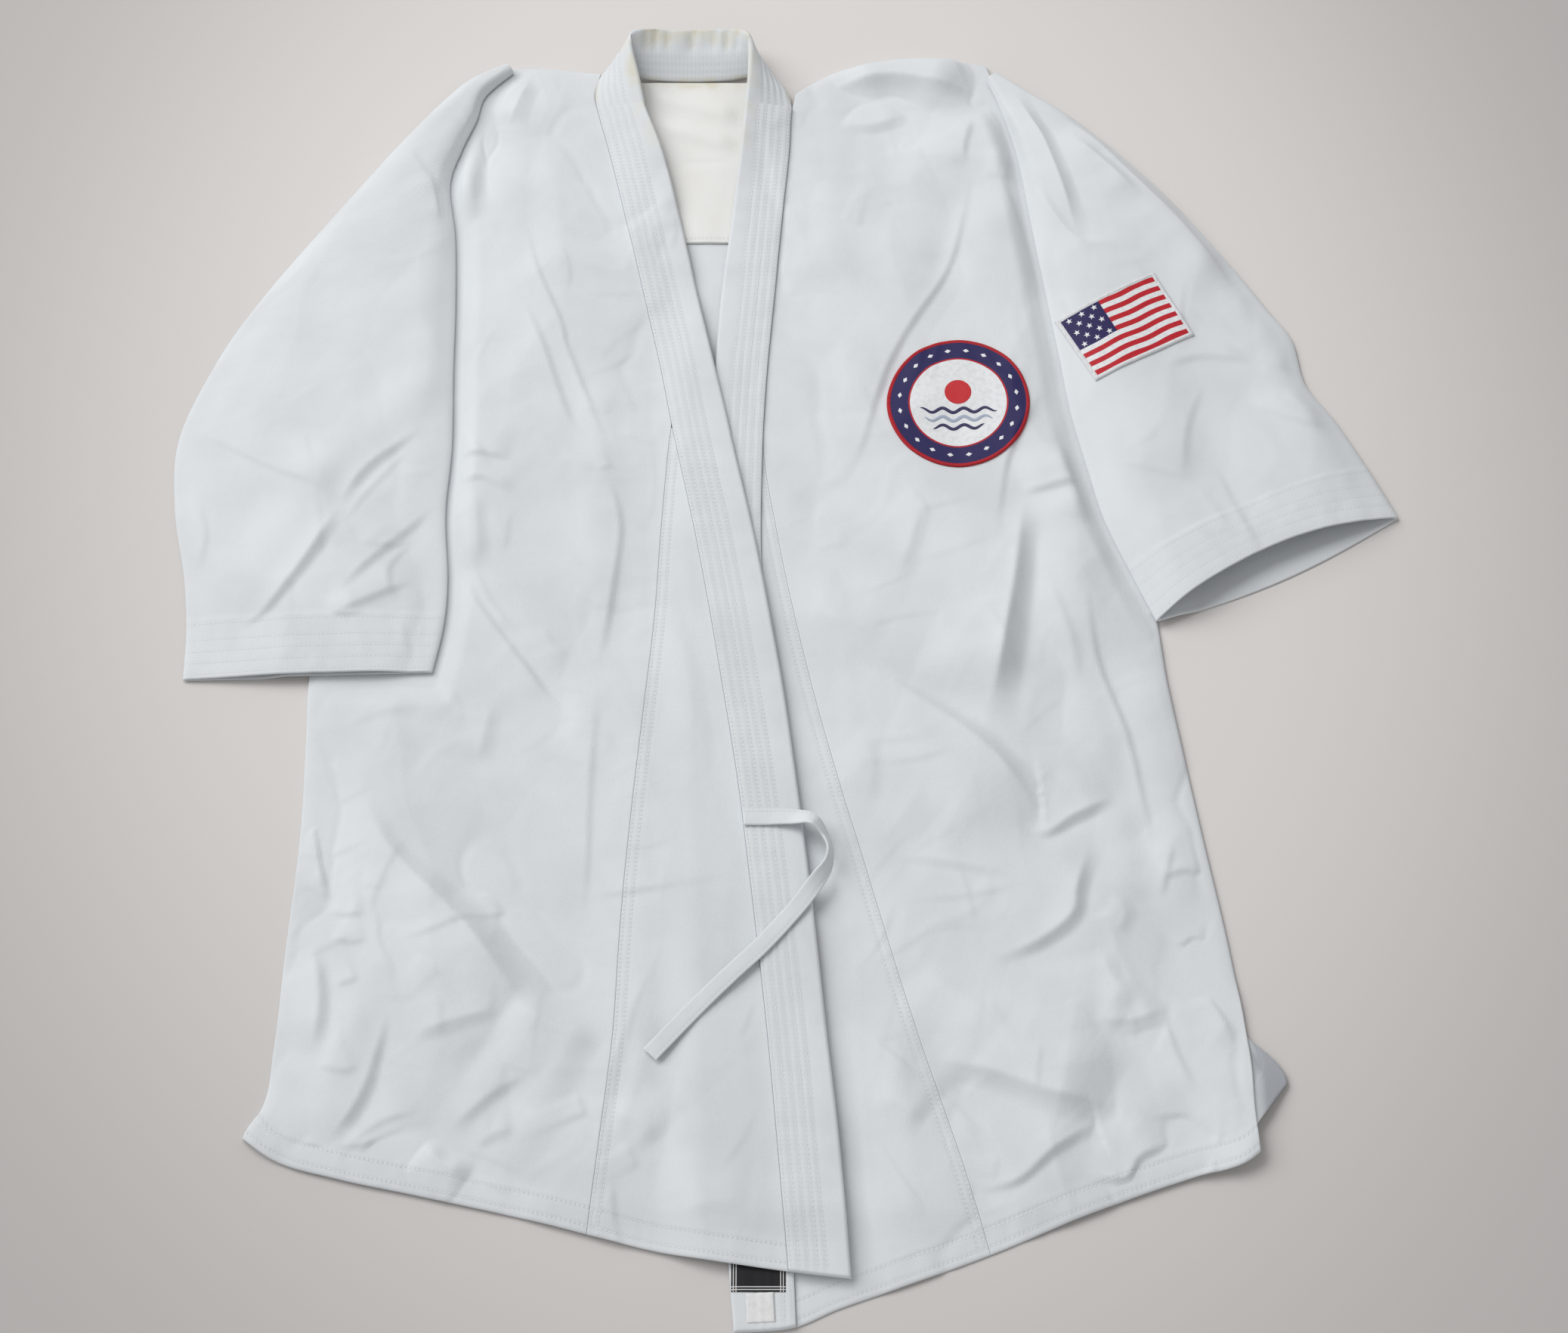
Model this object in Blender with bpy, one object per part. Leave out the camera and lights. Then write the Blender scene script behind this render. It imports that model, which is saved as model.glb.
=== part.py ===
"""Karate gi jacket, laid flat on its back with the front closed.

The jacket lies in the XY plane: +X to the wearer's left, +Y from hem to collar, +Z up.
All sizes below are millimetres. The origin is the bottom centre of the whole jacket.
The wearer's right front is the upper one. Every cloth piece is a thin closed wall.
"""

import math
from collections import namedtuple

import bmesh
import bpy
from mathutils import Vector
from mathutils.bvhtree import BVHTree

MM = 0.001

# Driving sizes
CENTRE_Y = -6.0          # middle of the jacket's length, in the tables' own Y
CLOTH = 1.5              # cotton canvas wall
BAND_THICK = 4.0         # folded lapel band with its interlining
PATCH_THICK = 1.5        # embroidered twill
LABEL_THICK = 1.0        # woven label
TIE_WIDTH = 11.5
TIE_THICK = 2.0
SEAM_GAP = 0.34          # sideways gap at a seam
LAY_GAP = 0.9            # height gap between a front and the layer it lies on
STITCH_GAP = 0.35        # height gap under a sewn-on patch or label
FLOOR_GAP = 0.25         # a free edge just off the floor
EDGE_ROLL = 10.0         # radius over which a folded edge turns down to the floor
BACK_INSET = 4.2         # how far the back stays inside a folded edge
RIGHT_KNEE = 147.0       # Y where the right gore starts at the band
LEFT_KNEE = 132.0        # Y where the left gore starts at the band
NECK_SEAM_Y = 437.9      # back neck seam
LAPEL_TOP_Y = 411.0      # where the lapel bands pass into the neck band
YOKE_LOW_Y = 298.0
YOKE_X = (-150.0, 18.0)
COLLAR_RISE = 10.0       # how far a lapel's free edge stands up beside the neck
COLLAR_RISE_FROM = 300.0
PUFF = 4.0               # how far the fronts stand off the back between the seams
EDGE_FADE = 60.0         # distance from a seam, side or hem over which they rise to it
SHOULDER_FADE = 50.0
SLEEVE_FADE = 34.0       # the same beside a sleeve that lies on the front
SLEEVE_CLEAR = 2.0       # strip under the sleeve's edge that stays down
UPPER_FADE = 40.0        # the same beside the upper front's edge
UPPER_CLEAR = 8.0
LEFT_CUFF_Y = -14.0      # below these heights no sleeve lies on the front
RIGHT_CUFF_Y = -54.0
SIDE_OPEN_Y = -255.0     # below this the left side's edge lies free and isn't rolled
CROSS_Y = 215.0          # below this the right band lies over the left one
TOUCH_BLEND = 1.2        # roundness where cloth touches down
NECK_POINT_X = (-133.0, 5.0)  # inner ends of the folded shoulders
PATCH_CENTRE = (124.0, 162.0)
PATCH_RADIUS = 50.8
FLAG_CENTRE = (245.0, 221.0)
FLAG_SIZE = (82.0, 58.0)
FLAG_TURN = math.radians(27.5)
BLACK_LABEL = (-33.0, 1.0, -462.0, -432.0)
WHITE_LABEL = (-23.5, -6.0, -480.5, -462.6)
LABEL_LIFT = 1.8         # extra height of the right hem where it covers the label

# Crosswise sections of the lapel bands and gores, one row for each height Y
Seam = namedtuple("Seam", "y right_gore right_seam right_edge left_edge left_seam left_gore")
SEAMS = [
    Seam(452, -136, -136, -116, -26, 10, 10),
    Seam(440, -139, -139, -112, -27, 9, 9),
    Seam(425, -142, -142, -107, -28, 8.5, 8.5),
    Seam(411, -139.5, -139.5, -104, -29, 6, 6),
    Seam(375, -130, -130, -91, -32, 4, 4),
    Seam(320, -117, -117, -77, -38, -1, -1),
    Seam(250, -101, -101, -62, -46, -7, -7),
    Seam(190, -88, -88, -49, -50, -12, -12),
    Seam(147, -80, -80, -39.5, -52, -14.5, -14.5),
    Seam(132, -81.3, -77, -36.5, -52, -15, -15),
    Seam(60, -86, -62, -21, -51, -16, -4.5),
    Seam(0, -89, -51, -10, -49, -14, 7),
    Seam(-60, -94, -41, 0, -47, -11, 20.5),
    Seam(-120, -99.5, -31.5, 8, -45, -8, 36),
    Seam(-180, -104.5, -24, 15.5, -42, -5, 53),
    Seam(-240, -108, -17, 22, -40, -2, 69.5),
    Seam(-300, -110.5, -10.5, 28, -38, 1, 87),
    Seam(-360, -116.5, -5, 34.5, -37, 3, 106.5),
    Seam(-400, -121, -1.5, 38, -36, 5, 119),
    Seam(-440, -125.5, 2, 41, -35, 6, 130),
    Seam(-490, -131, 5.5, 44, -31, 8, 143),
]

# Side edges of the body, one row for each height Y
Side = namedtuple("Side", "y right left")
SIDES = [
    Side(456, -218, 152),
    Side(440, -225, 158),
    Side(410, -243, 181),
    Side(375, -262, 197),
    Side(320, -271, 206),
    Side(250, -275, 214),
    Side(190, -283, 224),
    Side(120, -297, 236),
    Side(50, -310, 248),
    Side(0, -320, 257),
    Side(-50, -325, 262),
    Side(-90, -324, 268),
    Side(-160, -323, 279),
    Side(-240, -327, 292),
    Side(-310, -330, 300),
    Side(-345, -334, 300),
    Side(-362, -344, 301),
    Side(-378, -347, 302),
    Side(-400, -347, 302),
]

# Curves across the jacket, one row for each place X
Across = namedtuple("Across", "x y")
RIGHT_HEM = [
    Across(-350, -362), Across(-325, -379), Across(-284, -391), Across(-236, -401),
    Across(-161, -417), Across(-75, -438), Across(3, -450), Across(46, -455),
]
LEFT_HEM = [
    Across(-35, -487), Across(8, -483), Across(32, -473), Across(67, -461),
    Across(129, -439), Across(191, -414), Across(261, -390), Across(292, -382),
    Across(306, -372),
]
BACK_HEM = [
    Across(-348, -346), Across(-325, -360), Across(-284, -377), Across(-200, -392),
    Across(0, -402), Across(240, -386), Across(285, -371), Across(303, -355),
    Across(313, -342), Across(326, -326),
]
RIGHT_SHOULDER = [
    Across(-224, 449), Across(-200, 452), Across(-176, 451), Across(-150, 447),
    Across(-133, 443),
]
LEFT_SHOULDER = [
    Across(5, 422), Across(20, 436), Across(36, 446), Across(57, 453),
    Across(94, 459), Across(123, 459), Across(154, 454),
]

# Sections of the neck band, from the right lapel round the back neck to the left lapel:
# the seam edge, then the free edge, in the middle of the band's thickness
Neck = namedtuple("Neck", "seam_x seam_y seam_z free_x free_y free_z")
NECK = [
    Neck(-139.0, 411.6, 7.2, -103.6, 411.6, 17.2),
    Neck(-139.0, 425.0, 7.0, -108.5, 433.0, 23.5),
    Neck(-131.0, 440.5, 5.4, -114.5, 457.0, 28.0),
    Neck(-115.0, 443.0, 3.6, -113.5, 468.0, 27.5),
    Neck(-98.0, 440.5, 2.8, -98.0, 473.5, 22.0),
    Neck(-70.0, 439.4, 2.5, -70.0, 474.5, 19.0),
    Neck(-42.0, 440.5, 2.8, -41.5, 473.5, 22.0),
    Neck(-25.0, 443.0, 3.6, -27.5, 467.0, 27.5),
    Neck(-10.0, 440.5, 5.4, -26.0, 455.5, 28.0),
    Neck(1.5, 427.0, 7.0, -27.0, 433.5, 23.5),
    Neck(5.3, 411.6, 7.2, -29.3, 411.6, 17.2),
]

# Sections of the flattened sleeves, from shoulder to cuff: the upper-arm fold, the underarm
# fold and the free height inside
Sleeve = namedtuple("Sleeve", "outer_x outer_y inner_x inner_y gap")
RIGHT_SLEEVE = [
    Sleeve(-236, 439, -225, 425, 1.0),
    Sleeve(-253, 423, -230, 402, 1.6),
    Sleeve(-275, 397, -240, 375, 2.4),
    Sleeve(-302, 362, -247, 345, 3.0),
    Sleeve(-345, 303, -241, 300, 3.6),
    Sleeve(-383, 246, -238, 243, 4.2),
    Sleeve(-409, 197, -237, 190, 4.6),
    Sleeve(-430, 136, -235, 128, 4.8),
    Sleeve(-428, 80, -237, 75, 4.4),
    Sleeve(-417, 28, -233, 25, 3.6),
    Sleeve(-412, -12, -234, -10, 2.8),
    Sleeve(-411, -49, -240, -45, 2.2),
]
LEFT_SLEEVE = [
    Sleeve(162, 444, 152, 438, 1.0),
    Sleeve(180, 430, 161, 416, 1.6),
    Sleeve(223, 400, 173, 371, 3.0),
    Sleeve(276, 347, 182, 308, 4.2),
    Sleeve(321, 287, 190, 252, 5.0),
    Sleeve(352, 240, 198, 198, 5.4),
    Sleeve(367, 216, 204, 155, 6.0),
    Sleeve(374, 180, 214, 110, 7.5),
    Sleeve(393, 150, 224, 70, 10.0),
    Sleeve(413, 112, 240, 30, 13.5),
    Sleeve(431, 74, 256, -7, 17.0),
]

# Largest folds: from one end to the other, height over the cloth (below it if negative)
# and half width
Fold = namedtuple("Fold", "x1 y1 x2 y2 height width")
RIGHT_FOLDS = [
    Fold(-283, -129, -232, -205, -2.5, 16),
    Fold(-232, -205, -171, -283, -3.5, 17),
    Fold(-171, -283, -124, -307, -4.0, 26),
    Fold(-255, -125, -205, -190, 4.0, 22),
    Fold(-205, -190, -140, -255, 6.5, 24),
    Fold(-319, -141, -303, -210, -3.0, 14),
    Fold(-304, -235, -312, -320, 6.5, 17),
    Fold(-281, -290, -300, -345, 6.0, 15),
    Fold(-253, -281, -268, -340, -4.0, 14),
    Fold(-268, -340, -285, -370, -3.0, 13),
    Fold(-225, -325, -205, -300, 4.0, 18),
    Fold(-131, 160, -131, 10, 4.5, 18),
    Fold(-111, 115, -113, -20, -2.5, 13),
    Fold(-150, -80, -146, -230, 3.0, 18),
    Fold(-236, 45, -151, -79, -3.0, 13),
    Fold(-212, 48, -135, -60, 3.5, 18),
    Fold(-222, 432, -236, 330, -4.0, 17),
    Fold(-197, 430, -200, 330, 6.0, 20),
    Fold(-200, 330, -178, 230, 4.5, 24),
    Fold(-206, -360, -157, -324, -3.0, 14),
    Fold(-185, -375, -130, -345, 3.5, 16),
    Fold(-75, -410, -24, -406, -2.0, 13),
]
LEFT_FOLDS = [
    Fold(45, 425, 150, 422, -3.5, 15),
    Fold(60, 446, 145, 446, 4.5, 12),
    Fold(141, 364, 116, 282, -3.0, 13),
    Fold(116, 282, 74, 183, -3.0, 13),
    Fold(74, 183, 36, 88, -2.5, 12),
    Fold(165, 350, 140, 270, 4.5, 18),
    Fold(104, 370, 84, 270, 3.5, 22),
    Fold(200, 171, 157, 112, -2.5, 13),
    Fold(206, 100, 172, 88, -4.0, 16),
    Fold(170, 70, 140, -70, -4.0, 22),
    Fold(207, 62, 190, -105, 8.0, 20),
    Fold(125, 70, 110, -30, 4.0, 26),
    Fold(50, -42, 110, -62, -2.5, 18),
    Fold(110, -62, 172, -150, -4.0, 18),
    Fold(172, -158, 219, -136, -4.0, 13),
    Fold(213, -14, 230, -103, -3.0, 12),
    Fold(230, -103, 241, -203, -3.5, 12),
    Fold(248, -60, 264, -190, 4.0, 13),
    Fold(206, -175, 151, -244, -3.0, 15),
    Fold(226, -180, 196, -240, 4.0, 16),
    Fold(96, -310, 202, -349, -4.0, 20),
    Fold(110, -275, 205, -310, 4.0, 22),
    Fold(204, -351, 130, -398, -3.0, 13),
    Fold(205, -291, 255, -300, -3.0, 16),
    Fold(259, -352, 268, -374, -3.0, 13),
    Fold(283, -300, 277, -345, 5.0, 18),
]
RIGHT_SLEEVE_FOLDS = [
    Fold(-247, 154, -309, 90, -3.0, 14),
    Fold(-309, 90, -365, -4, -3.5, 14),
    Fold(-262, 172, -326, 108, 3.5, 16),
    Fold(-330, 100, -380, 15, 3.5, 18),
    Fold(-257, 61, -308, 13, -2.5, 13),
    Fold(-256, 40, -300, 5, 2.0, 13),
]
LEFT_SLEEVE_FOLDS = [
    Fold(168, 400, 222, 370, 4.5, 13),
    Fold(222, 370, 305, 277, 6.0, 15),
    Fold(305, 277, 345, 227, 4.5, 15),
    Fold(215, 392, 330, 268, -3.0, 13),
    Fold(182, 334, 220, 284, -3.5, 16),
    Fold(286, 189, 312, 93, -2.5, 15),
    Fold(345, 180, 385, 130, 3.0, 18),
]

# Route of the tie: the middle of the strip, its height over the cloth and its lean in degrees
Tie = namedtuple("Tie", "x y lift lean")
TIE = [
    Tie(-27, -152, 0.0, 0),
    Tie(-15, -152, 0.0, 0),
    Tie(-4, -152, 0.4, -5),
    Tie(8, -153, 2.0, -15),
    Tie(18, -156, 6.0, -35),
    Tie(26, -164, 6.0, -60),
    Tie(30.5, -176, 4.5, -72),
    Tie(27.5, -189, 3.5, -50),
    Tie(19, -201, 1.5, -15),
    Tie(9, -214, 0.6, 0),
    Tie(-3, -228, 0.2, 0),
    Tie(-17, -243, 0.2, 0),
    Tie(-33, -258, 0.4, 0),
    Tie(-54, -279, 0.2, 0),
    Tie(-86, -313, 0.0, 0),
]

# Colours as RGB, with roughness
Finish = namedtuple("Finish", "red green blue roughness")
WHITE_CANVAS = Finish(0.80, 0.84, 0.86, 0.85)
CREAM_CANVAS = Finish(0.84, 0.83, 0.78, 0.85)
NAVY_TWILL = Finish(0.02, 0.02, 0.09, 0.7)
RED_TWILL = Finish(0.45, 0.02, 0.03, 0.7)
BLACK_SATIN = Finish(0.01, 0.01, 0.01, 0.6)
WHITE_TAPE = Finish(0.85, 0.85, 0.85, 0.6)


def smooth(value):
    """Ease from 0 to 1 as value goes from 0 to 1."""
    value = min(1.0, max(0.0, value))
    return value * value * (3.0 - 2.0 * value)


def settled(floor, shape):
    """Height of cloth that has a shape over its floor, rounded where it touches down."""
    rounded = floor + 0.5 * (shape + math.hypot(shape, TOUCH_BLEND))
    return max(floor, rounded - 0.5 * TOUCH_BLEND * (1.0 - smooth(abs(shape))))


def curve(rows, at, to):
    """A smooth curve through one column of a table, as a function of another."""
    keys = sorted((getattr(row, at), getattr(row, to)) for row in rows)
    places = [key for key, _ in keys]
    values = [value for _, value in keys]
    slopes = [
        (values[i + 1] - values[i]) / (places[i + 1] - places[i])
        for i in range(len(keys) - 1)
    ]
    tangents = [slopes[0]]
    tangents += [0.5 * (slopes[i] + slopes[i + 1]) for i in range(len(slopes) - 1)]
    tangents += [slopes[-1]]

    def value_at(place):
        if place <= places[0]:
            return values[0] + tangents[0] * (place - places[0])
        if place >= places[-1]:
            return values[-1] + tangents[-1] * (place - places[-1])
        i = max(k for k in range(len(places) - 1) if places[k] <= place)
        span = places[i + 1] - places[i]
        u = (place - places[i]) / span
        return (
            values[i] * (1 + 2 * u) * (1 - u) ** 2
            + values[i + 1] * u * u * (3 - 2 * u)
            + span * tangents[i] * u * (1 - u) ** 2
            - span * tangents[i + 1] * u * u * (1 - u)
        )

    return value_at


right_gore_x = curve(SEAMS, "y", "right_gore")
right_seam_x = curve(SEAMS, "y", "right_seam")
right_edge_x = curve(SEAMS, "y", "right_edge")
left_edge_x = curve(SEAMS, "y", "left_edge")
left_seam_x = curve(SEAMS, "y", "left_seam")
left_gore_x = curve(SEAMS, "y", "left_gore")
right_side_x = curve(SIDES, "y", "right")
left_side_x = curve(SIDES, "y", "left")
right_hem_y = curve(RIGHT_HEM, "x", "y")
left_hem_y = curve(LEFT_HEM, "x", "y")
back_hem_y = curve(BACK_HEM, "x", "y")
right_shoulder_y = curve(RIGHT_SHOULDER, "x", "y")
left_shoulder_y = curve(LEFT_SHOULDER, "x", "y")
right_underarm_x = curve(RIGHT_SLEEVE, "inner_y", "inner_x")
left_underarm_x = curve(LEFT_SLEEVE, "inner_y", "inner_x")


def fold_height(folds, x, y):
    """Height that a table of folds gives the cloth at a point."""
    total = 0.0
    for fold in folds:
        along_x = fold.x2 - fold.x1
        along_y = fold.y2 - fold.y1
        length_sq = along_x ** 2 + along_y ** 2
        u = ((x - fold.x1) * along_x + (y - fold.y1) * along_y) / length_sq
        u = min(1.0, max(0.0, u))
        away = math.hypot(x - fold.x1 - u * along_x, y - fold.y1 - u * along_y)
        total += fold.height * math.exp(-((away / fold.width) ** 2))
    return total


def rest_height(x, y):
    """Lowest height for a front: over the back and yoke, or near the floor past the hem."""
    drop_start, drop_length = 32.0, 24.0
    over_back = smooth((y - back_hem_y(x) + drop_start) / drop_length)
    height = FLOOR_GAP + over_back * (CLOTH + LAY_GAP - FLOOR_GAP)
    beside_yoke = max(YOKE_X[0] - x, x - YOKE_X[1], YOKE_LOW_Y - y, 0.0)
    step_start, step_length = 14.0, 26.0
    return height + (CLOTH + 0.5) * (1.0 - smooth((beside_yoke - step_start) / step_length))


def collar_rise(x, y, seam_x, edge_x):
    """How far a lapel tilts up towards its free edge beside the neck."""
    across = (x - seam_x) / (edge_x - seam_x)
    near_neck = smooth((y - COLLAR_RISE_FROM) / (LAPEL_TOP_Y - COLLAR_RISE_FROM))
    return COLLAR_RISE * near_neck * min(1.2, max(0.0, across))


def edge_turn(distance):
    """Share of the full height that is left at a distance inside a folded edge."""
    inside = min(1.0, max(0.0, distance / EDGE_ROLL))
    return math.sqrt(1.0 - (1.0 - inside) ** 2)


def roll_down(height, distance):
    """Turn a height down to the floor at a folded edge."""
    return FLOOR_GAP + (height - FLOOR_GAP) * edge_turn(distance)


def left_height(x, y):
    """Underside of the left (lower) front, its gore and its lapel band."""
    floor = rest_height(x, y)
    past_neck = x > NECK_POINT_X[1]
    beside_upper = (x - right_edge_x(y) - UPPER_CLEAR) / UPPER_FADE
    from_upper = smooth(beside_upper) if y < CROSS_Y else 1.0
    beside_sleeve = (left_underarm_x(y) - x - SLEEVE_CLEAR) / SLEEVE_FADE
    from_sleeve = max(smooth(beside_sleeve), smooth((LEFT_CUFF_Y - y) / SLEEVE_FADE))
    from_band = smooth((x - left_seam_x(y)) / EDGE_FADE)
    from_side = smooth((left_side_x(y) - x) / EDGE_FADE)
    from_hem = smooth((y - left_hem_y(x)) / EDGE_FADE)
    from_top = smooth((left_shoulder_y(x) - y) / SHOULDER_FADE) if past_neck else 1.0
    puff = PUFF * from_band * from_side * from_hem * from_top
    shape = (puff + fold_height(LEFT_FOLDS, x, y)) * from_upper * from_sleeve
    height = settled(floor, shape)
    height += collar_rise(x, y, left_seam_x(y), left_edge_x(y)) if x < left_seam_x(y) else 0.0
    if y < 0.0:
        rolled = roll_down(height, left_side_x(y) - x)
        height += (rolled - height) * (1.0 - smooth((SIDE_OPEN_Y - y) / 25.0))
    if past_neck:
        height = roll_down(height, left_shoulder_y(x) - y)
    return height


def over_left(x, y):
    """How far the right front is lifted to pass over the left one."""
    start_y, end_y = 200.0, 260.0
    if y > end_y:
        return 0.0
    fade = 1.0 - smooth((y - start_y) / (end_y - start_y))
    over_label = LABEL_LIFT * smooth((-385.0 - y) / 30.0)
    lift = BAND_THICK + LAY_GAP - 0.2 + over_label
    ramp_start, ramp_length = 46.0, 32.0
    return fade * lift * smooth((x - left_edge_x(y) + ramp_start) / ramp_length)


def right_height(x, y):
    """Underside of the right (upper) front, its gore and its lapel band."""
    floor = rest_height(x, y) + over_left(x, y)
    beside_sleeve = (x - right_underarm_x(y) - SLEEVE_CLEAR) / SLEEVE_FADE
    from_sleeve = max(smooth(beside_sleeve), smooth((RIGHT_CUFF_Y - y) / SLEEVE_FADE))
    from_band = smooth((right_seam_x(y) - x) / EDGE_FADE)
    from_side = smooth((x - right_side_x(y)) / EDGE_FADE)
    from_hem = smooth((y - right_hem_y(x)) / EDGE_FADE)
    from_top = smooth((right_shoulder_y(x) - y) / SHOULDER_FADE)
    puff = PUFF * from_band * from_side * from_hem * from_top
    folds = fold_height(RIGHT_FOLDS, x, y)
    folds *= 1.0 - smooth((x - left_edge_x(y) + EDGE_FADE) / UPPER_FADE)
    shape = (puff + folds) * from_sleeve
    height = settled(floor, shape)
    height += collar_rise(x, y, right_seam_x(y), right_edge_x(y)) if x > right_seam_x(y) else 0.0
    if y < -30.0:
        height = roll_down(height, x - right_side_x(y))
    if x < NECK_POINT_X[0]:
        height = roll_down(height, right_shoulder_y(x) - y)
    return height


def spread(count):
    """Evenly spaced shares from 0 to 1, both ends included."""
    return [i / count for i in range(count + 1)]


def with_folded_edge(shares, width):
    """Replace the last shares before a folded edge by two close to it."""
    kept = [share for share in shares if share < 1.0 - 1.4 * EDGE_ROLL / width]
    return kept + [1.0 - EDGE_ROLL / width, 1.0 - 0.38 * EDGE_ROLL / width, 1.0]


def level_at(inner_x, outer_x, share, end_y, start):
    """Height Y where a lengthwise line of a panel meets its hem or shoulder curve."""
    y = start
    for _ in range(12):
        y = end_y(inner_x(y) + share * (outer_x(y) - inner_x(y)))
    return y


def panel_grid(inner_x, outer_x, low_y, high_y, columns, levels):
    """Points of a panel between two lengthwise edges, from its low end to its high end.

    The levels are shares of the length; a pair (share, y) pins a level to one height.
    """
    rows = []
    lows = [level_at(inner_x, outer_x, share, low_y, -400.0) for share in columns]
    highs = [level_at(inner_x, outer_x, share, high_y, 440.0) for share in columns]
    for level in levels:
        row = []
        for share, low, high in zip(columns, lows, highs):
            y = level(low, high)
            row.append((inner_x(y) + share * (outer_x(y) - inner_x(y)), y))
        rows.append(row)
    return rows


def levels_through(knee, below, above):
    """Levels with the given counts below and above one pinned height."""
    levels = [lambda low, high, u=u: low + u * (knee - low) for u in spread(below)]
    levels += [lambda low, high, u=u: knee + u * (high - knee) for u in spread(above)[1:]]
    return levels


def plain_levels(count):
    """Evenly spaced levels from the low end to the high end."""
    return [lambda low, high, u=u: low + u * (high - low) for u in spread(count)]


def place(x, y, z):
    """A point of the tables as a point of the model, in metres."""
    return Vector((x, y - CENTRE_Y, z)) * MM


def make_material(name, finish):
    """A plain Principled material."""
    material = bpy.data.materials.new(name)
    material.use_nodes = True
    shader = material.node_tree.nodes["Principled BSDF"]
    shader.inputs["Base Color"].default_value = (finish.red, finish.green, finish.blue, 1.0)
    shader.inputs["Roughness"].default_value = finish.roughness
    shader.inputs["Metallic"].default_value = 0.0
    return material


def make_object(name, points, faces, finish):
    """A smooth-shaded mesh object with outward faces."""
    mesh = bpy.data.meshes.new(name)
    mesh.from_pydata(points, [], faces)
    shape = bmesh.new()
    shape.from_mesh(mesh)
    bmesh.ops.recalc_face_normals(shape, faces=shape.faces)
    shape.to_mesh(mesh)
    shape.free()
    mesh.materials.append(make_material(name + "_finish", finish))
    mesh.shade_smooth()
    mesh.set_sharp_from_angle(angle=math.radians(40.0))
    piece = bpy.data.objects.new(name, mesh)
    bpy.context.scene.collection.objects.link(piece)
    return piece


def slab(name, top, bottom, finish):
    """A closed wall between two matching grids of points."""
    rows = len(top)
    cols = len(top[0])
    points = [place(*point) for grid in (top, bottom) for row in grid for point in row]
    under = rows * cols

    def index(row, col, layer):
        return layer * under + row * cols + col

    faces = []
    for row in range(rows - 1):
        for col in range(cols - 1):
            for layer in (0, 1):
                faces.append([
                    index(row, col, layer), index(row, col + 1, layer),
                    index(row + 1, col + 1, layer), index(row + 1, col, layer),
                ])
    rim = [(0, col) for col in range(cols)]
    rim += [(row, cols - 1) for row in range(1, rows)]
    rim += [(rows - 1, col) for col in range(cols - 2, -1, -1)]
    rim += [(row, 0) for row in range(rows - 2, 0, -1)]
    for here, after in zip(rim, rim[1:] + rim[:1]):
        faces.append([index(*here, 0), index(*after, 0), index(*after, 1), index(*here, 1)])
    return make_object(name, points, faces, finish)


def upright_thickness(height, x, y, thickness):
    """Upright thickness that gives a sloping wall its true thickness."""
    step = 4.0
    slope_x = (height(x + step, y) - height(x - step, y)) / (2.0 * step)
    slope_y = (height(x, y + step) - height(x, y - step)) / (2.0 * step)
    return thickness * math.sqrt(1.0 + min(0.8, slope_x ** 2 + slope_y ** 2))


def cloth_panel(name, grid, height, thickness, finish):
    """A wall of cloth on a grid of places, with its underside at a height."""
    bottom = [[(x, y, height(x, y)) for x, y in row] for row in grid]
    top = [
        [(x, y, z + upright_thickness(height, x, y, thickness)) for x, y, z in row]
        for row in bottom
    ]
    return slab(name, top, bottom, finish)


def flat_piece(name, outline, low, high, finish):
    """A flat wall from its outline."""
    count = len(outline)
    points = [place(x, y, z) for z in (low, high) for x, y in outline]
    faces = [list(range(count)), list(range(2 * count - 1, count - 1, -1))]
    for i in range(count):
        j = (i + 1) % count
        faces.append([i, j, count + j, count + i])
    return make_object(name, points, faces, finish)


def build_back():
    """The back, flat on the floor, with its lower left corner past the front."""
    def right_x(y):
        return right_side_x(y) + BACK_INSET + 9.0 * smooth((-300.0 - y) / 35.0)

    def left_x(y):
        flare = 27.0 * smooth((-288.0 - y) / 40.0)
        return left_side_x(y) - BACK_INSET + flare

    def top_y(x):
        if x < NECK_POINT_X[0]:
            return right_shoulder_y(x) - BACK_INSET
        if x > NECK_POINT_X[1] + 1.0:
            return left_shoulder_y(x) - BACK_INSET - 5.0 * smooth((45.0 - x) / 30.0)
        return NECK_SEAM_Y - 20.0 * smooth((x + 12.0) / 18.0)

    outline = []
    low_left_y = back_hem_y(left_x(-326.0))
    high_left_y = top_y(left_x(448.0))
    low_right_y = back_hem_y(right_x(-358.0))
    high_right_y = top_y(right_x(446.0))
    for share in spread(24):
        y = low_left_y + share * (high_left_y - low_left_y)
        outline.append((left_x(y), y))
    start = outline[-1][0]
    end = right_x(high_right_y)
    outline += [
        (x, top_y(x)) for x in (start + share * (end - start) for share in spread(22)[1:-1])
    ]
    for share in spread(24):
        y = high_right_y + share * (low_right_y - high_right_y)
        outline.append((right_x(y), y))
    start = outline[-1][0]
    end = left_x(low_left_y)
    outline += [
        (x, back_hem_y(x)) for x in (start + share * (end - start) for share in spread(26)[1:-1])
    ]
    return flat_piece("back", outline, 0.0, CLOTH, WHITE_CANVAS)


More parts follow.
